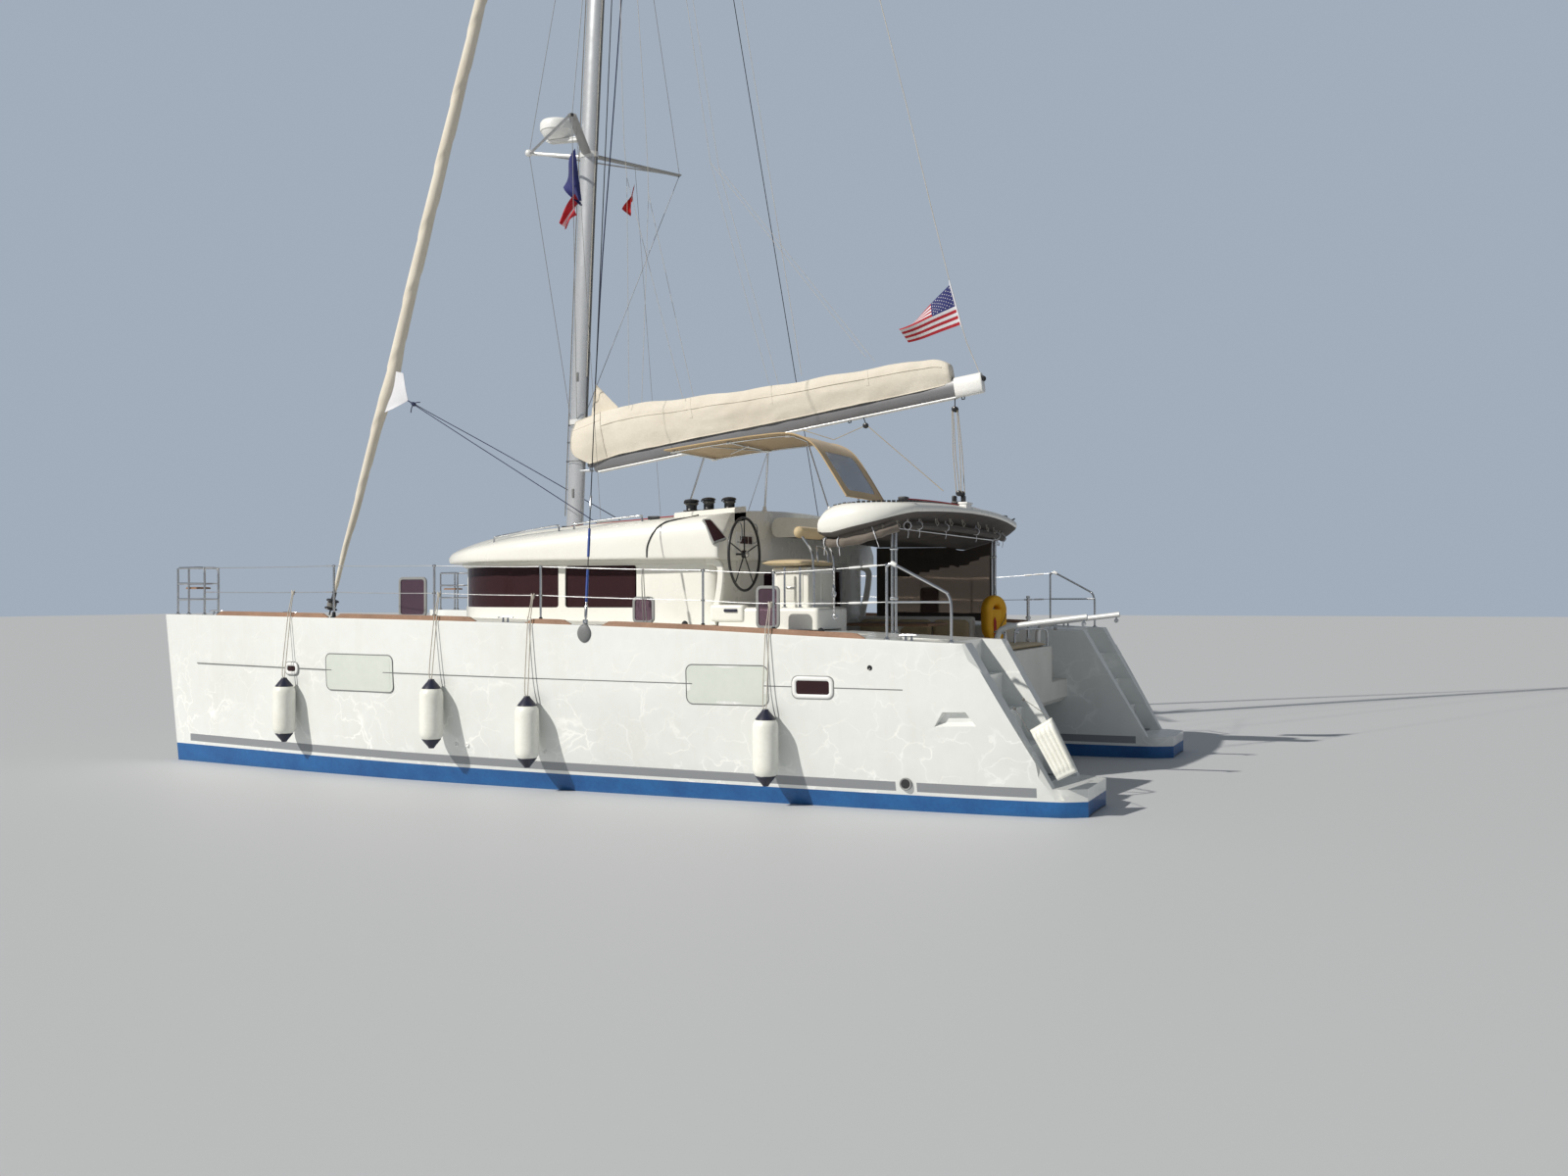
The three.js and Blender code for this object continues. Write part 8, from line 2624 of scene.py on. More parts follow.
def buildBuoy():
    body = Part()
    cx, cy = buoy["x"], buoy["y"]
    width, r = buoy["half"] - 0.07, buoy["tube"]
    top = buoy["high"] - 0.075
    low = buoy["low"] + 0.075
    spine = [Vector((cx + width * 0.55, cy, low)), Vector((cx + width * 0.95, cy, low + 0.12))]
    for k in range(13):
        a = math.pi * k / 12
        spine.append(Vector((cx + width * math.cos(a), cy, top - 0.13 + 0.13 * math.sin(a))))
    spine += [Vector((cx - width * 0.95, cy, low + 0.12)), Vector((cx - width * 0.55, cy, low))]
    spine = softPath(spine, 3)
    rings = []
    n = len(spine)
    for k, p in enumerate(spine):
        ahead = heading(spine, k)
        out = ahead.cross(Vector((0, 1, 0))).normalized()
        ends = min(1.0, min(k, n - 1 - k) / 3 + 0.45)
        ring = []
        for j in range(20):
            a = 2 * math.pi * j / 20
            u, v = math.cos(a), math.sin(a)
            sag = 1 + 0.04 * noise.noise(Vector((p.x * 9, a, p.z * 9)))
            lift = Vector((0, 0.072 * ends * math.copysign(abs(v) ** 0.7, v), 0))
            ring.append(p + out * (r * 1.08 * ends * math.copysign(abs(u) ** 0.7, u) * sag) + lift)
        rings.append(ring)
    body.skin(rings)
    made = finish("buoyCover", turnBuoy(body), "yellow", sharp=70)
    bag = Part()  # cloth cover that closes the gap of the horseshoe
    panel = [[Vector((cx + width * s * (1 - 0.25 * (t - 0.5) ** 2),
                      cy + 0.066 - 0.016 * s * s + 0.004 * math.sin(9 * t), low - 0.015 + (top - 0.10 - low) * t))
              for s in (-1, -0.6, -0.2, 0.2, 0.6, 1)] for t in (k / 10 for k in range(11))]
    back = [[Vector((p.x, cy - 0.058, p.z)) for p in row] for row in panel]
    bag.slab(panel, back)
    finish("buoyPocket", turnBuoy(bag), "yellow", sharp=60)
    trim = Part()
    slot = [(cx + 0.02, 1.52), (cx + 0.055, 1.50), (cx + 0.06, 1.62), (cx + 0.058, 1.76), (cx + 0.045, 1.80),
            (cx + 0.018, 1.74)]
    trim.skin([[Vector((px, cy + lift, pz)) for px, pz in slot] for lift in (0.066, 0.0705)])
    for px, pz, drop in ((cx - 0.05, 1.50, 0.035), (cx + 0.01, 1.52, 0.06), (cx + 0.05, 1.50, 0.03)):
        trim.tube(softPath([(px, cy + 0.03, pz + 0.08), (px - 0.01, cy + 0.045, pz),
                            (px + 0.01, cy + 0.05, pz - drop * 0.6), (px + 0.03, cy + 0.045, pz - drop)], 5), 0.006, 8)
    finish("buoyTrim", turnBuoy(trim), "red", sharp=60)
    cords = Part()
    cords.tube(softPath([(cx - 0.165, cy + 0.03, 1.90), (cx - 0.13, cy + 0.086, 1.80), (cx - 0.02, cy + 0.088, 1.66),
                         (cx + 0.10, cy + 0.086, 1.50), (cx + 0.14, cy + 0.05, 1.40)], 6), 0.004, 8)
    cords.tube(softPath([(cx, cy + 0.03, 2.05), (cx - 0.05, cy - 0.01, 2.12), (cx - 0.16, cy - 0.15, 2.18),
                         (cx - 0.262, cy - 0.285, 2.20)], 6), 0.004, 8)
    finish("buoyCords", turnBuoy(cords), "black")
    lines = Part()
    for dx, end in ((-0.10, (-3.90, -1.80, 1.455)), (0.02, (-3.72, -1.72, 1.46)), (0.08, (-3.52, -1.76, 1.46)),
                    (-0.02, (-4.02, -1.70, 1.455))):
        a = Vector((cx + dx, cy + 0.04, 1.40))
        lines.tube(softPath([a, a.lerp(Vector(end), 0.35) + Vector((0, 0.01, -0.02)),
                             a.lerp(Vector(end), 0.7) + Vector((0, 0.01, -0.015)), Vector(end)], 5), 0.004, 6)
    finish("buoyLines", lines, "ropeWhite")


buildBuoy()
print("stern dressed")

# spreaders, forward strut, stays
spread = {"tip": (0.70, 1.418, 7.99), "strut": (2.258, 0, 8.10), "braces": (4.40, 7.96, 13.70), "chord": (0.135, 0.105),
          "thick": (0.042, 0.034)}


def buildSpreaders():
    bars, wires, ends, collars = Part(), Part(), Part(), Part()
    x0 = mastAt(7.97)
    for side in (1, -1):
        a, b = Vector((x0, 0.07 * side, 7.97)), Vector((spread["tip"][0], spread["tip"][1] * side, spread["tip"][2]))
        ahead = (b - a).normalized()
        fore = (Vector((1, 0, 0)) - ahead * ahead.x).normalized()
        up = fore.cross(ahead).normalized()
        if up.z < 0:
            up = -up
        rings = []
        for k in range(9):
            t = k / 8
            c = spread["chord"][0] + (spread["chord"][1] - spread["chord"][0]) * t
            h = spread["thick"][0] + (spread["thick"][1] - spread["thick"][0]) * t
            ring = []
            for j in range(20):
                w = 2 * math.pi * j / 20
                u, v = math.cos(w), math.sin(w)
                shape = (1.0 if u > 0 else 1.0 + 0.25 * u)
                ring.append(a.lerp(b, t) + fore * (0.5 * c * u) + up * (0.5 * h * v * shape))
            rings.append(ring)
        bars.skin(rings)
        ends.lathe([(0.0, -0.022), (0.018, -0.018), (0.024, 0.0), (0.018, 0.016), (0, 0.019)], b - ahead * 0.012, ahead,
                   16)
        for z in (spread["braces"][0], spread["braces"][2]):
            wires.tube([b, (mastAt(z) - 0.01, 0.066 * side, z)], 0.0045, 6)
        wires.tube([(spread["strut"][0] - 0.02, 0.0, spread["strut"][2]), b + Vector((0.02, 0, 0.005))], 0.0175
                   if side > 0 else 0.0105, 10)
    strut = Vector(spread["strut"])
    root = Vector((mastAt(7.94) + 0.08, 0, 7.945))
    bars.look = 1
    bars.tube([root, root.lerp(strut, 0.5), strut], [0.023, 0.026, 0.026], 20)
    bars.lathe([(0.0, -0.05), (0.03, -0.045), (0.046, -0.02), (0.05, 0.004), (0.046, 0.03), (0.028, 0.048), (0, 0.052)],
               strut + Vector((0, 0, 0.004)), (1, 0, 0.15), 24)
    for z in (spread["braces"][0], spread["braces"][2]):
        wires.tube([strut, (mastAt(z) + 0.118, 0, z)], 0.0045, 6)
    for z in spread["braces"]:
        x = mastAt(z)
        outline = lambda k: [Vector((x + (0.128 + k) * math.cos(2 * math.pi * j / 28),
                                     (0.083 + k) * math.sin(2 * math.pi * j / 28), 0)) for j in range(28)]
        collars.skin([[p + Vector((0, 0, z + lift)) for p in outline(k)] for k,
                      lift in ((0.0, -0.036), (0.006, -0.034), (0.006, 0.034), (0.0, 0.036))])
    # the spreader bars take the grey moulding tone as painted shade; the strut keeps the white spar finish
    finish("spreaderBars", bars, ("mouldedGrey", "spar"), stands="spreaders", sharp=60)
    finish("spreaderWires", wires, "wire")
    finish("spreaderEnds", ends, "black")
    finish("mastCollars", collars, "spar")


def buildRadar():
    dome = Part()
    dome.lathe([(0.10, 0.004), (0.15, 0.012), (0.19, 0.045), (0.213, 0.088), (0.222, 0.100), (0.222, 0.104),
                (0.236, 0.112), (0.2395, 0.135), (0.2395, 0.195), (0.234, 0.222), (0.215, 0.247), (0.17, 0.262),
                (0.09, 0.270), (0, 0.272)],
               (1.80, 0, 8.216), (0, 0, 1), 56)
    finish("radarDome", dome, "whitePlastic", stands="radar", sharp=45)
    plate = Part()
    for side in (1, -1):
        plate.prism([(1.42, 0.05 * side - 0.004, 8.163), (1.92, 0.05 * side - 0.004, 8.192),
                     (1.95, 0.05 * side - 0.004, 8.214), (1.345, 0.05 * side - 0.004, 8.214),
                     (1.345, 0.05 * side - 0.004, 8.163)], (0, 0.008, 0))
    plate.block((1.36, -0.062, 8.206), (1.955, 0.062, 8.2155), 0.002)
    finish("radarBracket", plate, "whitePlastic", sharp=30)


buildSpreaders()
buildRadar()

# cap shrouds with their blue sleeves and screws
shrouds = {"foot": (-0.78, 3.56), "head": (0.545, 0.06, 17.45), "sleeves": ((2.50, 2.80), (2.02, 2.36))}


def buildShroud(name, side):
    wire, screws, sleeves = Part(), Part(), Part()
    foot = Vector((shrouds["foot"][0], shrouds["foot"][1] * side, line["sheer"](shrouds["foot"][0]) + 0.01))
    head = Vector((shrouds["head"][0], shrouds["head"][1] * side, shrouds["head"][2]))
    at = lambda z: foot.lerp(head, (z - foot.z) / (head.z - foot.z))
    along = (head - foot).normalized()
    wire.tube([at(2.02), at(6.0), at(12.0), head], 0.0058, 8)
    finish(f"shroudWire_{name}", wire, "black", stands=f"shroud_{name}")
    screws.lathe([(0.008, -0.02), (0.014, -0.012), (0.014, 0.012), (0.008, 0.02)], foot + along * 0.03, (1, 0, 0), 14)
    screws.lathe([(0.009, 0), (0.010, 0.03), (0.017, 0.045), (0.017, 0.17), (0.010, 0.185), (0.008, 0.26)],
                 foot + along * 0.03, along, 18)
    screws.block((foot.x - 0.030, foot.y - 0.007, foot.z - 0.03), (foot.x + 0.030, foot.y + 0.007, foot.z + 0.045),
                 0.004)
    screws.lathe([(0.0, 0.0), (0.011, 0.01), (0.012, 0.16), (0.0, 0.18)], at(3.0), along, 14)
    screws.block((head.x - 0.02, head.y - 0.004 - 0.02 * (side < 0), head.z - 0.05),
                 (head.x + 0.05, head.y + 0.004 + 0.02 * (side > 0), head.z + 0.015), 0.003)
    finish(f"shroudScrews_{name}", screws, "steel")
    for low, high in shrouds["sleeves"]:
        sleeves.tube([at(low), at((low + high) / 2), at(high)], [0.0145, 0.0155, 0.0145], 14)
    finish(f"shroudSleeves_{name}", sleeves, "blueSleeve")


for shroudName, shroudSide in bothSides:
    buildShroud(shroudName, shroudSide)
print("standing rig dressed")


# running rigging: lines that lead to the mast turn with the boom, whose pin lies along the mast
def runLine(name, points, look, radius, body="boom", steps=5, sides=8):
    part = Part()
    part.tube(softPath(points, steps), radius, sides)
    return finish(name, part, look, body)


def freeCord(name, points, look, diameter, body="boat", steps=6, sides=8):
    path = softPath(points, steps)
    part = Part()
    part.tube(path, diameter / 2, sides)
    made = finish(name, part, look, body, sharp=60)
    long = sum((b - a).length for a, b in zip(path, path[1:]))
    tuple(path[0])
    [tuple(p) for p in path]
    return made


sheetLines = {"boomBlock": (-3.735, 4.30), "car": (-3.80, 0.0, 3.225), "foreBlock": (-2.60, 4.16)}


def ropeBlock(part, at, axis=(0, 1, 0), r=0.034, wide=0.022):
    # rope block: two rounded cheeks over a sheave
    part.lathe([(0.0, -wide), (r * 0.55, -wide), (r, -wide * 0.62), (r * 1.04, -wide * 0.3), (r * 0.8, 0.0),
                (r * 1.04, wide * 0.3), (r, wide * 0.62), (r * 0.55, wide), (0.0, wide)], at, axis, 18)


def buildRunning():
    runLine("mainHalyard", [(1.225, 0, 4.90), (1.109, 0, 6.61), (0.925, 0, 8.67), (0.55, 0, 13.5), (0.30, 0, 19.2)],
            "ropeNavy", 0.0085, steps=3)
    runLine("toppingLift",
            [onBoom(-boomLong + 0.02, 0, 0.10), (-3.73, 0, 5.60), (-2.80, 0, 9.35), (-1.6, 0, 13.6), (0.27, 0, 19.2)],
            "ropeWhite", 0.0050, steps=3)
    runLine("aftLazyLeg", [(-1.751, 0.0, 4.83), (-0.939, 0, 9.658), (0.50, 0, 18.3)], "ropeWhite", 0.0035, steps=3)
    for name, side in bothSides:
        y = 0.19 * side
        node = Vector((0.631, y, 7.531)) if side > 0 else Vector((0.52, y, 7.40))
        runLine(f"lazyLine_{name}", [node, node + Vector((0.06, 0.01 * side, 1.1)), (0.86, 0.075 * side, 13.4)],
                "ropeWhite", 0.0032, steps=3)
        for k, (x, z) in enumerate(((-0.171, 4.60), (0.62, 4.52))):
            runLine(f"lazyLeg{k + 1}_{name}",
                    [node, node.lerp(Vector((x, 0.165 * side, z)), 0.5) + Vector((0, 0, -0.02)), (x, 0.165 * side, z)],
                    "ropeWhite", 0.0028, steps=3)
        for k, (x, z) in enumerate(((-1.376, 4.72), (-2.662, 4.97))):
            runLine(f"lazyLong{k + 1}_{name}", [Vector((-0.55, 0.12 * side, 7.6)), (x, 0.16 * side, z)], "ropeWhite",
                    0.0026, steps=3)
        runLine(f"lazyMain_{name}",
                [Vector((-0.55, 0.12 * side, 7.6)), (0.15, 0.09 * side, 12.0), (0.62, 0.06 * side, 15.8)], "ropeWhite",
                0.0028, steps=3)
    blocks, lines, low = Part(), Part(), Part()
    car = Vector(sheetLines["car"])
    top = Vector((sheetLines["boomBlock"][0], 0, sheetLines["boomBlock"][1]))
    for y in (-0.022, 0.022):
        ropeBlock(blocks, top + Vector((0, y, 0)))
        ropeBlock(low, car + Vector((0.0, y * 3.2, 0.065)))
    blocks.tube([top + Vector((0, 0, 0.03)), top + Vector((0, 0, 0.155))], 0.006, 8)
    fore = Vector((sheetLines["foreBlock"][0], 0, sheetLines["foreBlock"][1]))
    finish("sheetBlocks", blocks, "black", "boom")
    finish("carBlocks", low, "black")
    aloft = Part()
    ropeBlock(aloft, fore)
    aloft.tube([fore + Vector((0, 0, 0.03)), onBoom(-3.90, 0, -0.11)], 0.006, 8)
    finish("foreSheetBlock", aloft, "black", "boom")
    for dx, dy in ((-0.030, 0.03), (0.030, 0.03), (-0.030, -0.03), (0.030, -0.03)):
        lines.tube([top + Vector((dx, dy * 0.7, -0.01)), top.lerp(car, 0.5) + Vector((dx * 1.4, dy * 1.6, 0)),
                    car + Vector((dx, dy * 2.4, 0.075))], 0.0048, 8)
    lines.tube([fore + Vector((0.03, 0.0, -0.01)), (-2.2, 0.05, 4.0), onBoom(-3.10, 0.05, -0.125)], 0.0048, 8)
    lines.tube([fore + Vector((-0.03, 0.0, -0.01)), car + Vector((0.20, 0.04, 0.10))], 0.0048, 8)
    falls = toObject("mainsheetFalls", lines, "ropeTan", 60)
    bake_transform(falls)
    clew = (4.258, 0.05, 4.842)
    for name, side in bothSides:  # headsail sheets, led back past the mast to the roof
        lead = Vector((0.87, 0.44 * side, roofTop(0.87, 0.44) + 0.004))
        freeCord(f"genoaSheet_{name}",
                 [tuple(lead), (1.6, 0.36 * side, 3.385), (2.4, 0.27 * side, 3.825), (3.09, 0.185 * side + 0.02, 4.205),
                                        (3.7, 0.085 * side + 0.035, 4.537), (4.179, 0.018 * side + 0.05, 4.80), clew],
                 "ropeNavy", 0.012)
    knot = Part()
    knot.lathe([(0.0, -0.04), (0.02, -0.03), (0.03, -0.01), (0.028, 0.015), (0.018, 0.035), (0.0, 0.045)],
               (4.15, 0.055, 4.785), (1, 0, 0.54), 12)
    for tail in ((4.02, 0.08, 4.80), (4.17, 0.09, 4.66)):
        knot.tube(softPath([(4.15, 0.055, 4.785), tuple((a + b) / 2 for a, b in zip((4.15, 0.085, 4.80), tail)), tail],
                           4), 0.007, 8)
    finish("sheetKnot", knot, "ropeNavy")
    for name, x, y, foot in (("flagLine_port", 0.86, 1.06, (0.55, 1.0, 2.95)),
                             ("flagLine_starboard", 1.01, -0.70, (0.9, -1.25, 2.98))):
        freeCord(name, [(x, y, 7.965), ((x + foot[0]) / 2, (y + foot[1]) / 2, 5.46),
                        (foot[0], foot[1], roofTop(foot[0], foot[1]) + 0.01)], "ropeGrey", 0.005)
    # halyards down the mast faces
    for k, (x, y, look) in enumerate(((0.135, 0.03, "ropeWhite"), (0.13, -0.03, "ropeBlack"), (0.128, 0.05, "ropeGrey"),
                                      (-0.128, 0.045, "ropeWhite"))):
        part = Part()
        part.tube([(mastAt(z) + x, y, z) for z in ((3.15, 5.0) if x > 0 else (5.0,)) + (7.0, 9.0, 12.0, 15.0, 17.3)],
                  0.005, 6)
        finish(f"mastLine_{k + 1}", part, look)


# flags: strips of cloth laid over one drooping surface
def clothStrips(name, surface, strips, body="boat"):
    looks = list(dict.fromkeys(strip[0] for strip in strips))
    part, thick = Part(), 0.0008
    for look, u0, u1, v0, v1 in strips:
        part.look = looks.index(look)
        nu, nv = max(2, int((u1 - u0) * 24 + 0.5)), max(1, int((v1 - v0) * 13 + 0.5))
        front, back = [], []
        for i in range(nu + 1):
            rowF, rowB = [], []
            for j in range(nv + 1):
                u, v = u0 + (u1 - u0) * i / nu, v0 + (v1 - v0) * j / nv
                p = surface(u, v)
                alongCloth = surface(min(1, u + 0.01), v) - surface(max(0, u - 0.01), v)
                upCloth = surface(u, min(1, v + 0.01)) - surface(u, max(0, v - 0.01))
                n = alongCloth.cross(upCloth).normalized()
                rowF.append(p + n * thick)
                rowB.append(p - n * thick)
            front.append(rowF)
            back.append(rowB)
        part.slab(front, back)
    made = finish(name, part, tuple(looks), body, sharp=70)
    for i in range(24):
        for j in range(13):
            a, b, c = surface(i / 24, j / 13), surface((i + 1) / 24, j / 13), surface(i / 24, (j + 1) / 13)
    return made


def buildFlags():
    hoistTop, hoistLow = Vector((-3.678, 0, 5.798)), Vector((-3.812, 0, 5.307))
    flyLow, flyTop = Vector((-3.141, 0.0, 5.145)), Vector((-3.092, 0.0, 5.279))

    def ensign(u, v):
        h = hoistLow.lerp(hoistTop, v)
        if v < 0.5:
            f = flyLow.lerp(flyTop, v * 2) + Vector((0, 0.40 * v, 0))
        else:
            f = flyTop + Vector((0.01, 0.20 - 0.46 * (v - 0.5), 0.03 * (v - 0.5)))
        p = h.lerp(f, u)
        return p + Vector((0, 0.045 * math.sin(math.pi * 1.7 * u) * u ** 0.5, -0.018 * math.sin(math.pi * u)))
    strips = []
    for i in range(13):
        look = "flagRed" if i % 2 == 0 else "flagWhite"
        u0 = 0.40 if i >= 6 else 0.0
        strips.append((look, u0, 1.0, i / 13, (i + 1) / 13))
    strips.append(("flagBlue", 0.0, 0.40, 6 / 13, 1.0))
    stars = Part()
    for row in range(9):
        count = 6 if row % 2 == 0 else 5
        for k in range(count):
            u = 0.40 * ((2 * k + (1 if row % 2 == 0 else 2)) / 12)
            v = 1.0 - (7 / 13) * (row + 1) / 10
            p = ensign(u, v)
            du = (ensign(u + 0.01, v) - p).normalized()
            dv = (ensign(u, min(1, v + 0.01)) - ensign(u, v - 0.01)).normalized()
            n = du.cross(dv).normalized()
            for lift in (0.0016, -0.0016):
                shape = [p + n * lift + (du * math.cos(a) + dv * math.sin(a)) * (0.0085 if j % 2 == 0 else 0.0040)
                         for j, a in enumerate(2 * math.pi * j / 10 + math.pi / 2 for j in range(10))]
                stars.skin([shape, [q + n * (0.0004 if lift > 0 else -0.0004) for q in shape]])
    sewn = finish("ensignStars", stars, "flagWhite", "boom")
    band = Part()
    band.tube([hoistTop + Vector((0.012, 0, 0.06)), hoistTop, hoistLow, hoistLow + Vector((-0.006, 0, -0.03))],
              [0.004, 0.0105, 0.0105, 0.004], 10)
    hoist = finish("ensignHoist", band, "flagWhite", "boom")
    clothStrips("ensign", ensign, strips, "boom")
    a, b, c, d = [Vector(q) for q in ((0.884, 1.05, 7.70), (0.79, 1.05, 7.03), (0.835, 1.02, 6.985), (1.09, 1.0, 7.25))]

    def burgee(u, v):
        h = b.lerp(a, v)
        f = c.lerp(d, v ** 0.8) + Vector((0, 0.09 * math.sin(3 * v), 0))
        return h.lerp(f, u) + Vector((0, 0.05 * math.sin(6 * u), 0))
    clothStrips("burgee", burgee, [("flagBlue", 0.0, 1.0, 0.0, 1.0)])
    a, b, c, d = [Vector(q) for q in ((0.875, 1.04, 7.12), (0.865, 1.04, 6.86), (1.045, 1.0, 6.70), (1.132, 1.0, 6.80))]

    def courtesy(u, v):
        h, f = b.lerp(a, v), c.lerp(d, v)
        p = h.lerp(f, u)
        return p + Vector((0.0, 0.05 * math.sin(7 * v + 2 * u), 0.03 * math.sin(math.pi * u)))
    clothStrips("courtesyFlag", courtesy,
                [("flagRed", 0.0, 1.0, 0.0, 0.36), ("flagWhite", 0.0, 1.0, 0.36, 0.66),
                 ("flagRed", 0.0, 1.0, 0.66, 1.0)])
    corners = ((1.012, -0.70, 7.715), (1.04, -0.70, 7.50), (1.103, -0.70, 7.298), (1.195, -0.70, 7.389))
    a, b, c, d = [Vector(q) for q in corners]

    def pennant(u, v):
        h, f = b.lerp(a, v), c.lerp(d, v)
        return h.lerp(f, u) + Vector((0.0, 0.04 * math.sin(5 * u + 3 * v), 0))
    clothStrips("pennant", pennant, [("red", 0.0, 1.0, 0.0, 1.0)])


buildRunning()
buildFlags()
print("running rig and flags done")


# small fittings of the port side deck
def buildDeckFittings():
    chain = Part()
    link = Part()
    link.tube([Vector((0.016 * math.cos(a) * 1.5, 0, 0.010 * math.sin(a))) for a in angles(14, 1)], 0.0035, 6)
    alongPath("sideChain", [Vector((-3.555, 3.50, z)) for z in (2.33, 2.2, 2.0, 1.88)], link, 13, "wire", roll=0.7)
    chain.tube([Vector((-3.553, 3.50 + 0.018 * math.cos(a), 2.16 + 0.034 * math.sin(a))) for a in angles(16, 1)], 0.007,
               8)
    chain.tube([Vector((-3.553 + 0.02 * math.cos(a), 3.50, 2.10 + 0.03 * math.sin(a))) for a in angles(16, 1)], 0.006,
               8)
    chain.tube([Vector((-3.56 + 0.026 * math.cos(a), 3.50, 1.875 + 0.02 * math.sin(a))) for a in angles(16, 1)], 0.007,
               8)
    x, z = -3.553, 2.355
    chain.tube(softPath([(x - 0.01, 3.50, z), (x, 3.51, z + 0.012), (x + 0.01, 3.50, z), (x, 3.498, z - 0.03)], 3),
               0.004, 6)
    finish("sideShackles", chain, "steel")
    eyes = Part()
    for x in (-1.947, -3.419):
        y, z = line["deckOut"](x) - 0.055, line["sheer"](x)
        eyes.block((x - 0.045, y - 0.018, z - 0.004), (x + 0.045, y + 0.018, z + 0.016), 0.006)
        eyes.lathe([(0.0, -0.016), (0.03, -0.014), (0.038, 0.0), (0.03, 0.014), (0.0, 0.016)], (x, y, z + 0.045),
                   (0, 1, 0), 20)
    x = -1.70
    y, z = line["deckOut"](x) - 0.055, line["sheer"](x)
    eyes.block((x - 0.035, y - 0.02, z - 0.004), (x + 0.035, y + 0.02, z + 0.03), 0.008)
    finish("deckEyes", eyes, "black")
    x, y = -1.47, line["deckOut"](-1.47) - 0.06
    z = line["sheer"](x)
    hank = [(x, y, z + 0.60), (x - 0.012, y + 0.012, z + 0.45), (x - 0.03, y + 0.014, z + 0.2),
            (x - 0.045, y + 0.012, z + 0.03), (x - 0.03, y + 0.012, z + 0.012), (x - 0.01, y + 0.012, z + 0.04),
            (x + 0.005, y + 0.012, z + 0.25), (x + 0.012, y + 0.014, z + 0.47), (x + 0.012, y, z + 0.598)]
    freeCord("railHank", hank, "ropeGrey", 0.010)


# oval plate under each shroud, on the outside of the hull, with a strap up to the deck edge
chainPlate = {"x": -0.80, "z": 1.695, "wide": 0.084, "tall": 0.098, "proud": 0.026}


def buildChainPlate(name, side):
    plate, strap = Part(), Part()
    look = chainPlate
    at = onHull(look["x"], look["z"], 0, side)
    rings = []
    for k in range(9):
        a = 0.5 * math.pi * k / 8
        wide, tall = look["wide"] * math.cos(a) + 0.0005, look["tall"] * math.cos(a) + 0.0005
        out = look["proud"] * math.sin(a)
        rings.append([at + Vector((wide * math.cos(b), side * out, tall * math.sin(b) * (1 - 0.12 * math.cos(b) ** 2)))
                      for b in angles(28)])
    plate.skin([[p - Vector((0, side * 0.012, 0)) for p in rings[0]]] + rings)
    finish(f"chainPlate_{name}", plate, "seam", sharp=60)
    top = line["sheer"](look["x"])
    foot = Vector((shrouds["foot"][0], shrouds["foot"][1] * side, top + 0.02))
    edge = Vector((look["x"] + 0.01, (line["deckOut"](look["x"]) + 0.004) * side, top - 0.02))
    strap.tube([foot, foot.lerp(edge, 0.5) + Vector((0, 0, 0.012)), edge,
                at + Vector((0, side * 0.012, look["tall"] * 0.8))], 0.011, 10)
    finish(f"chainPlateStrap_{name}", strap, "steel")


# ribbed flat bumper tied to the outer edge of the port transom
bumper = {"corners": [(-5.441, 0.821), (-5.647, 0.947), (-5.890, 0.453), (-5.704, 0.361)], "y": 3.30, "deep": 0.05,
          "ribs": 5,
          "ribHigh": 0.016, "cord": 0.0035}


def buildBumper():
    pad = Part()
    tl, tr, br, bl = [Vector((x, bumper["y"], z)) for x, z in bumper["corners"]]
    rings = []
    shares = [0.0, 0.012, 0.03, 0.06, 0.09] + [0.12 + 0.76 * k / 10 for k in range(11)] + [0.91, 0.94, 0.97, 0.988, 1.0]
    for t in shares:
        a, b = tl.lerp(bl, t), tr.lerp(br, t)
        close = min(1.0, min(t, 1 - t) / 0.05)
        full = math.sqrt(max(0.0, 1 - (1 - close) ** 2)) * 0.8 + 0.2
        ribbed = 1.0 if 0.10 < t < 0.90 else 0.0
        front, back = [], []
        for k in range(51):
            u = k / 50
            side = math.sqrt(max(0.0, 1 - abs(2 * u - 1) ** 8))
            p = a.lerp(b, u)
            rib = bumper["ribHigh"] * abs(math.sin(math.pi * bumper["ribs"] * u)) ** 0.7 * ribbed
            front.append(p + Vector((0, (bumper["deep"] * (0.15 + 0.85 * side) + rib) * full, 0)))
            back.append(p - Vector((0, bumper["deep"] * (0.15 + 0.85 * side) * full, 0)))
        rings.append(front + back[::-1])
    pad.skin(rings)
    made = finish("transomBumper", pad, "fender", sharp=60)
    cords = Part()
    for corner, up in ((tl, Vector((-5.30, 3.32, 1.02))), (tr, Vector((-5.36, 3.22, 1.10)))):
        cords.tube(softPath([corner + Vector((0.01, 0, -0.02)), corner.lerp(up, 0.35) + Vector((0, 0.01, -0.005)),
                             corner.lerp(up, 0.75), up], 5), bumper["cord"], 8)
        cords.lathe([(0.0, -0.012), (0.012, -0.008), (0.015, 0.0), (0.012, 0.008), (0.0, 0.012)], up, (0, 1, 0), 12)
    finish("bumperCords", cords, "ropeGrey")


for plateName, plateSide in bothSides:
    buildChainPlate(plateName, plateSide)
buildBumper()
buildDeckFittings()
print("side deck fitted")


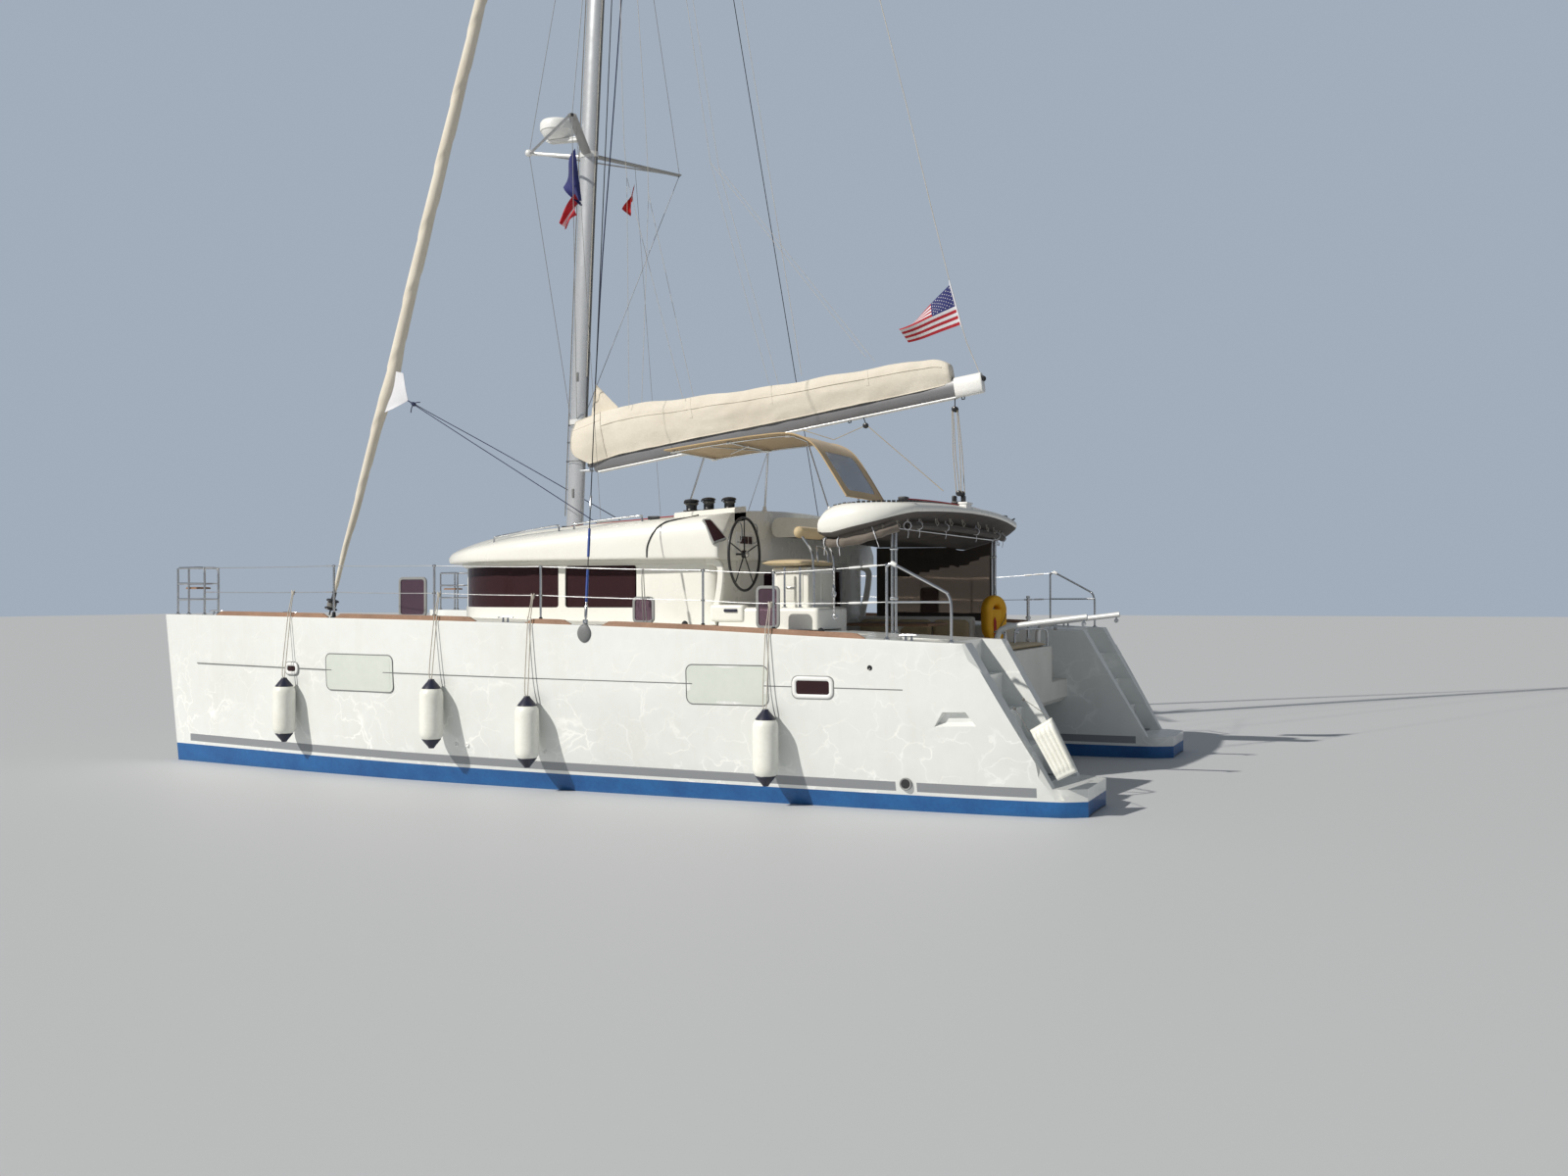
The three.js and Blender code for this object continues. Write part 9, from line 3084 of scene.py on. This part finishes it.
# cabin: sole, settee, table and galley with cushions
def buildSaloon():
    wood, white = Part(), Part()
    wood.block((-1.48, -1.58, 1.0), (2.24, 1.58, 1.0205), 0.002)
    wood.block((0.30, 0.05, 1.692), (1.50, 0.85, 1.724), 0.012)
    wood.block((-1.48, 0.70, 1.02), (-0.30, 1.58, 1.86), 0.01)
    wood.block((0.40, -1.58, 1.02), (1.96, -1.10, 1.82), 0.01)
    white.block((-1.49, 0.69, 1.86), (-0.29, 1.59, 1.898), 0.008)
    white.block((0.39, -1.59, 1.82), (1.97, -1.09, 1.848), 0.008)
    white.lathe([(0.16, 0), (0.16, 0.01), (0.065, 0.02), (0.06, 0.67)], (0.90, 0.45, 1.022), (0, 0, 1), 28)
    wood.block((1.72, -0.28, 1.02), (2.24, 1.58, 1.30), 0.01)
    wood.block((-0.28, 1.12, 1.02), (1.72, 1.58, 1.30), 0.01)
    finish("saloonJoinery", wood, "teak", stands="saloon_furniture")
    finish("saloonWorktops", white, "whitePlastic")
    cushion("setteeFore", (1.71, -0.29, 1.30), (2.12, 1.10, 1.428), 0.012, look="settee", channels=(0.33, 0.66),
            axis="y")
    cushion("setteeSide", (-0.29, 1.11, 1.30), (1.69, 1.55, 1.428), 0.012, look="settee", channels=(0.33, 0.66))
    for k in range(3):
        y = -0.28 + 0.46 * k
        cushion(f"setteeBack_{k + 1}", (2.13, y, 1.432), (2.24, y + 0.44, 1.80), 0.006, look="settee")


buildSaloon()
print("cabin fitted")


# rudders, drives, propellers and engines
def buildUnderwater(name, side):
    y = 2.64 * side
    blade = Part()
    rows = []
    for z, chord, thick, x in ((-0.332, 0.50, 0.05, -4.85), (-0.345, 0.556, 0.088, -4.85), (-0.55, 0.52, 0.08, -4.856),
                               (-0.85, 0.465, 0.066, -4.863), (-1.01, 0.438, 0.056, -4.868),
                               (-1.045, 0.42, 0.04, -4.869), (-1.058, 0.38, 0.015, -4.869)):
        rows.append([Vector((px, py, pz)) for px, py, pz in foilRing(chord, thick, x, y, z)])
    blade.skin(rows)
    finish(f"rudderBlade_{name}", blade, "hull", f"rudder_{name}", f"rudder_{name}", 50)
    stock = Part()
    stock.tube([(-4.85, y, -0.5), (-4.85, y, 0.058)], 0.0245, 24)
    finish(f"rudderStock_{name}", stock, "steel", f"rudder_{name}")
    leg = Part()
    rows = []
    for z, chord, thick, x in ((-0.40, 0.325, 0.108, -3.645), (-0.55, 0.31, 0.104, -3.652), (-0.68, 0.30, 0.10, -3.66),
                               (-0.72, 0.30, 0.10, -3.664)):
        rows.append([Vector((px, py, pz)) for px, py, pz in foilRing(chord, thick, x, y, z)])
    leg.skin(rows)
    leg.lathe([(0.0, -0.168), (0.02, -0.162), (0.040, -0.145), (0.055, -0.11), (0.0615, -0.07), (0.0615, 0.08),
               (0.056, 0.11), (0.046, 0.128), (0.0, 0.13)], (-3.76, y, -0.76), (-1, 0, 0), 30)
    leg.tube([(-3.87, y, -0.76), (-4.045, y, -0.76)], 0.0135, 16)
    for z in (-0.62, -0.66):
        for s in (1, -1):
            leg.block((-3.72, y + s * 0.050 - 0.002, z - 0.006), (-3.62, y + s * 0.050 + 0.002, z + 0.006), 0.0015)
    finish(f"driveLeg_{name}", leg, "iron", stands=f"sail_drive_{name}", sharp=45)
    screw = Part()
    hub = Vector((-3.965, y, -0.76))
    screw.lathe([(0.0148, -0.045), (0.040, -0.045), (0.045, -0.036), (0.045, 0.02), (0.036, 0.040), (0.0148, 0.045)],
                hub, (-1, 0, 0), 32)
    for k in range(3):
        turn = 2 * math.pi * k / 3
        out, across = Vector((0, -math.sin(turn), math.cos(turn))), Vector((0, math.cos(turn), math.sin(turn)))
        front, back = [], []
        for i in range(11):
            t = i / 10
            r = 0.036 + (0.203 - 0.036) * t
            wide = 0.046 * math.sin(math.pi * (0.22 + 0.70 * t)) ** 0.6
            pitch = math.radians(58 - 26 * t)
            axis = Vector((1, 0, 0)) * math.cos(pitch) + across * math.sin(pitch)
            normal = axis.cross(out).normalized()
            row, low = [], []
            for j in range(9):
                s = j / 4 - 1
                thick = 0.0055 * (1 - 0.7 * t) * math.sqrt(max(0.02, 1 - s * s))
                p = hub + out * (r * (1 - 0.03 * s * s * t)) + axis * (wide * s) + normal * (0.008 * (s * s - 0.4) * t)
                row.append(p + normal * thick)
                low.append(p - normal * thick)
            front.append(row)
            back.append(low)
        screw.slab(front, back)
    finish(f"propellerScrew_{name}", screw, "bronze", f"propeller_{name}", f"propeller_{name}", 50)
    engine = Part()
    s = side

    def chunk(x0, x1, ya, yb, z0, z1, edge, look):
        engine.look = look
        engine.block((x0, min(ya * s, yb * s), z0), (x1, max(ya * s, yb * s), z1), edge)
    chunk(-4.10, -3.50, 2.56, 2.92, 0.14, 0.50, 0.03, 0)
    chunk(-4.05, -3.62, 2.62, 2.86, 0.50, 0.655, 0.03, 0)
    chunk(-4.275, -4.10, 2.60, 2.88, 0.16, 0.46, 0.04, 0)
    chunk(-3.50, -3.425, 2.62, 2.86, 0.20, 0.54, 0.03, 1)
    chunk(-4.02, -3.66, 2.505, 2.57, 0.34, 0.50, 0.02, 1)
    for x in (-4.0, -3.6):
        for ya, yb in ((2.505, 2.60), (2.88, 2.975)):
            chunk(x - 0.04, x + 0.04, ya, yb, 0.064, 0.16, 0.008, 1)
    engine.look = 1
    engine.lathe([(0.02, -0.03), (0.085, -0.03), (0.09, 0.0), (0.085, 0.03), (0.02, 0.03)], (-4.24, 2.74 * s, 0.34),
                 (1, 0, 0), 24)
    finish(f"engineBlock_{name}", engine, ("iron", "black"), stands=f"engine_{name}", sharp=40)


for partName, partSide in bothSides:
    buildUnderwater(partName, partSide)
print("underwater parts done")

# the bridge deck keeps its own shape and takes the deck paint
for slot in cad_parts["bridge_deck"].material_slots:
    slot.material = paint["deckPaint"]
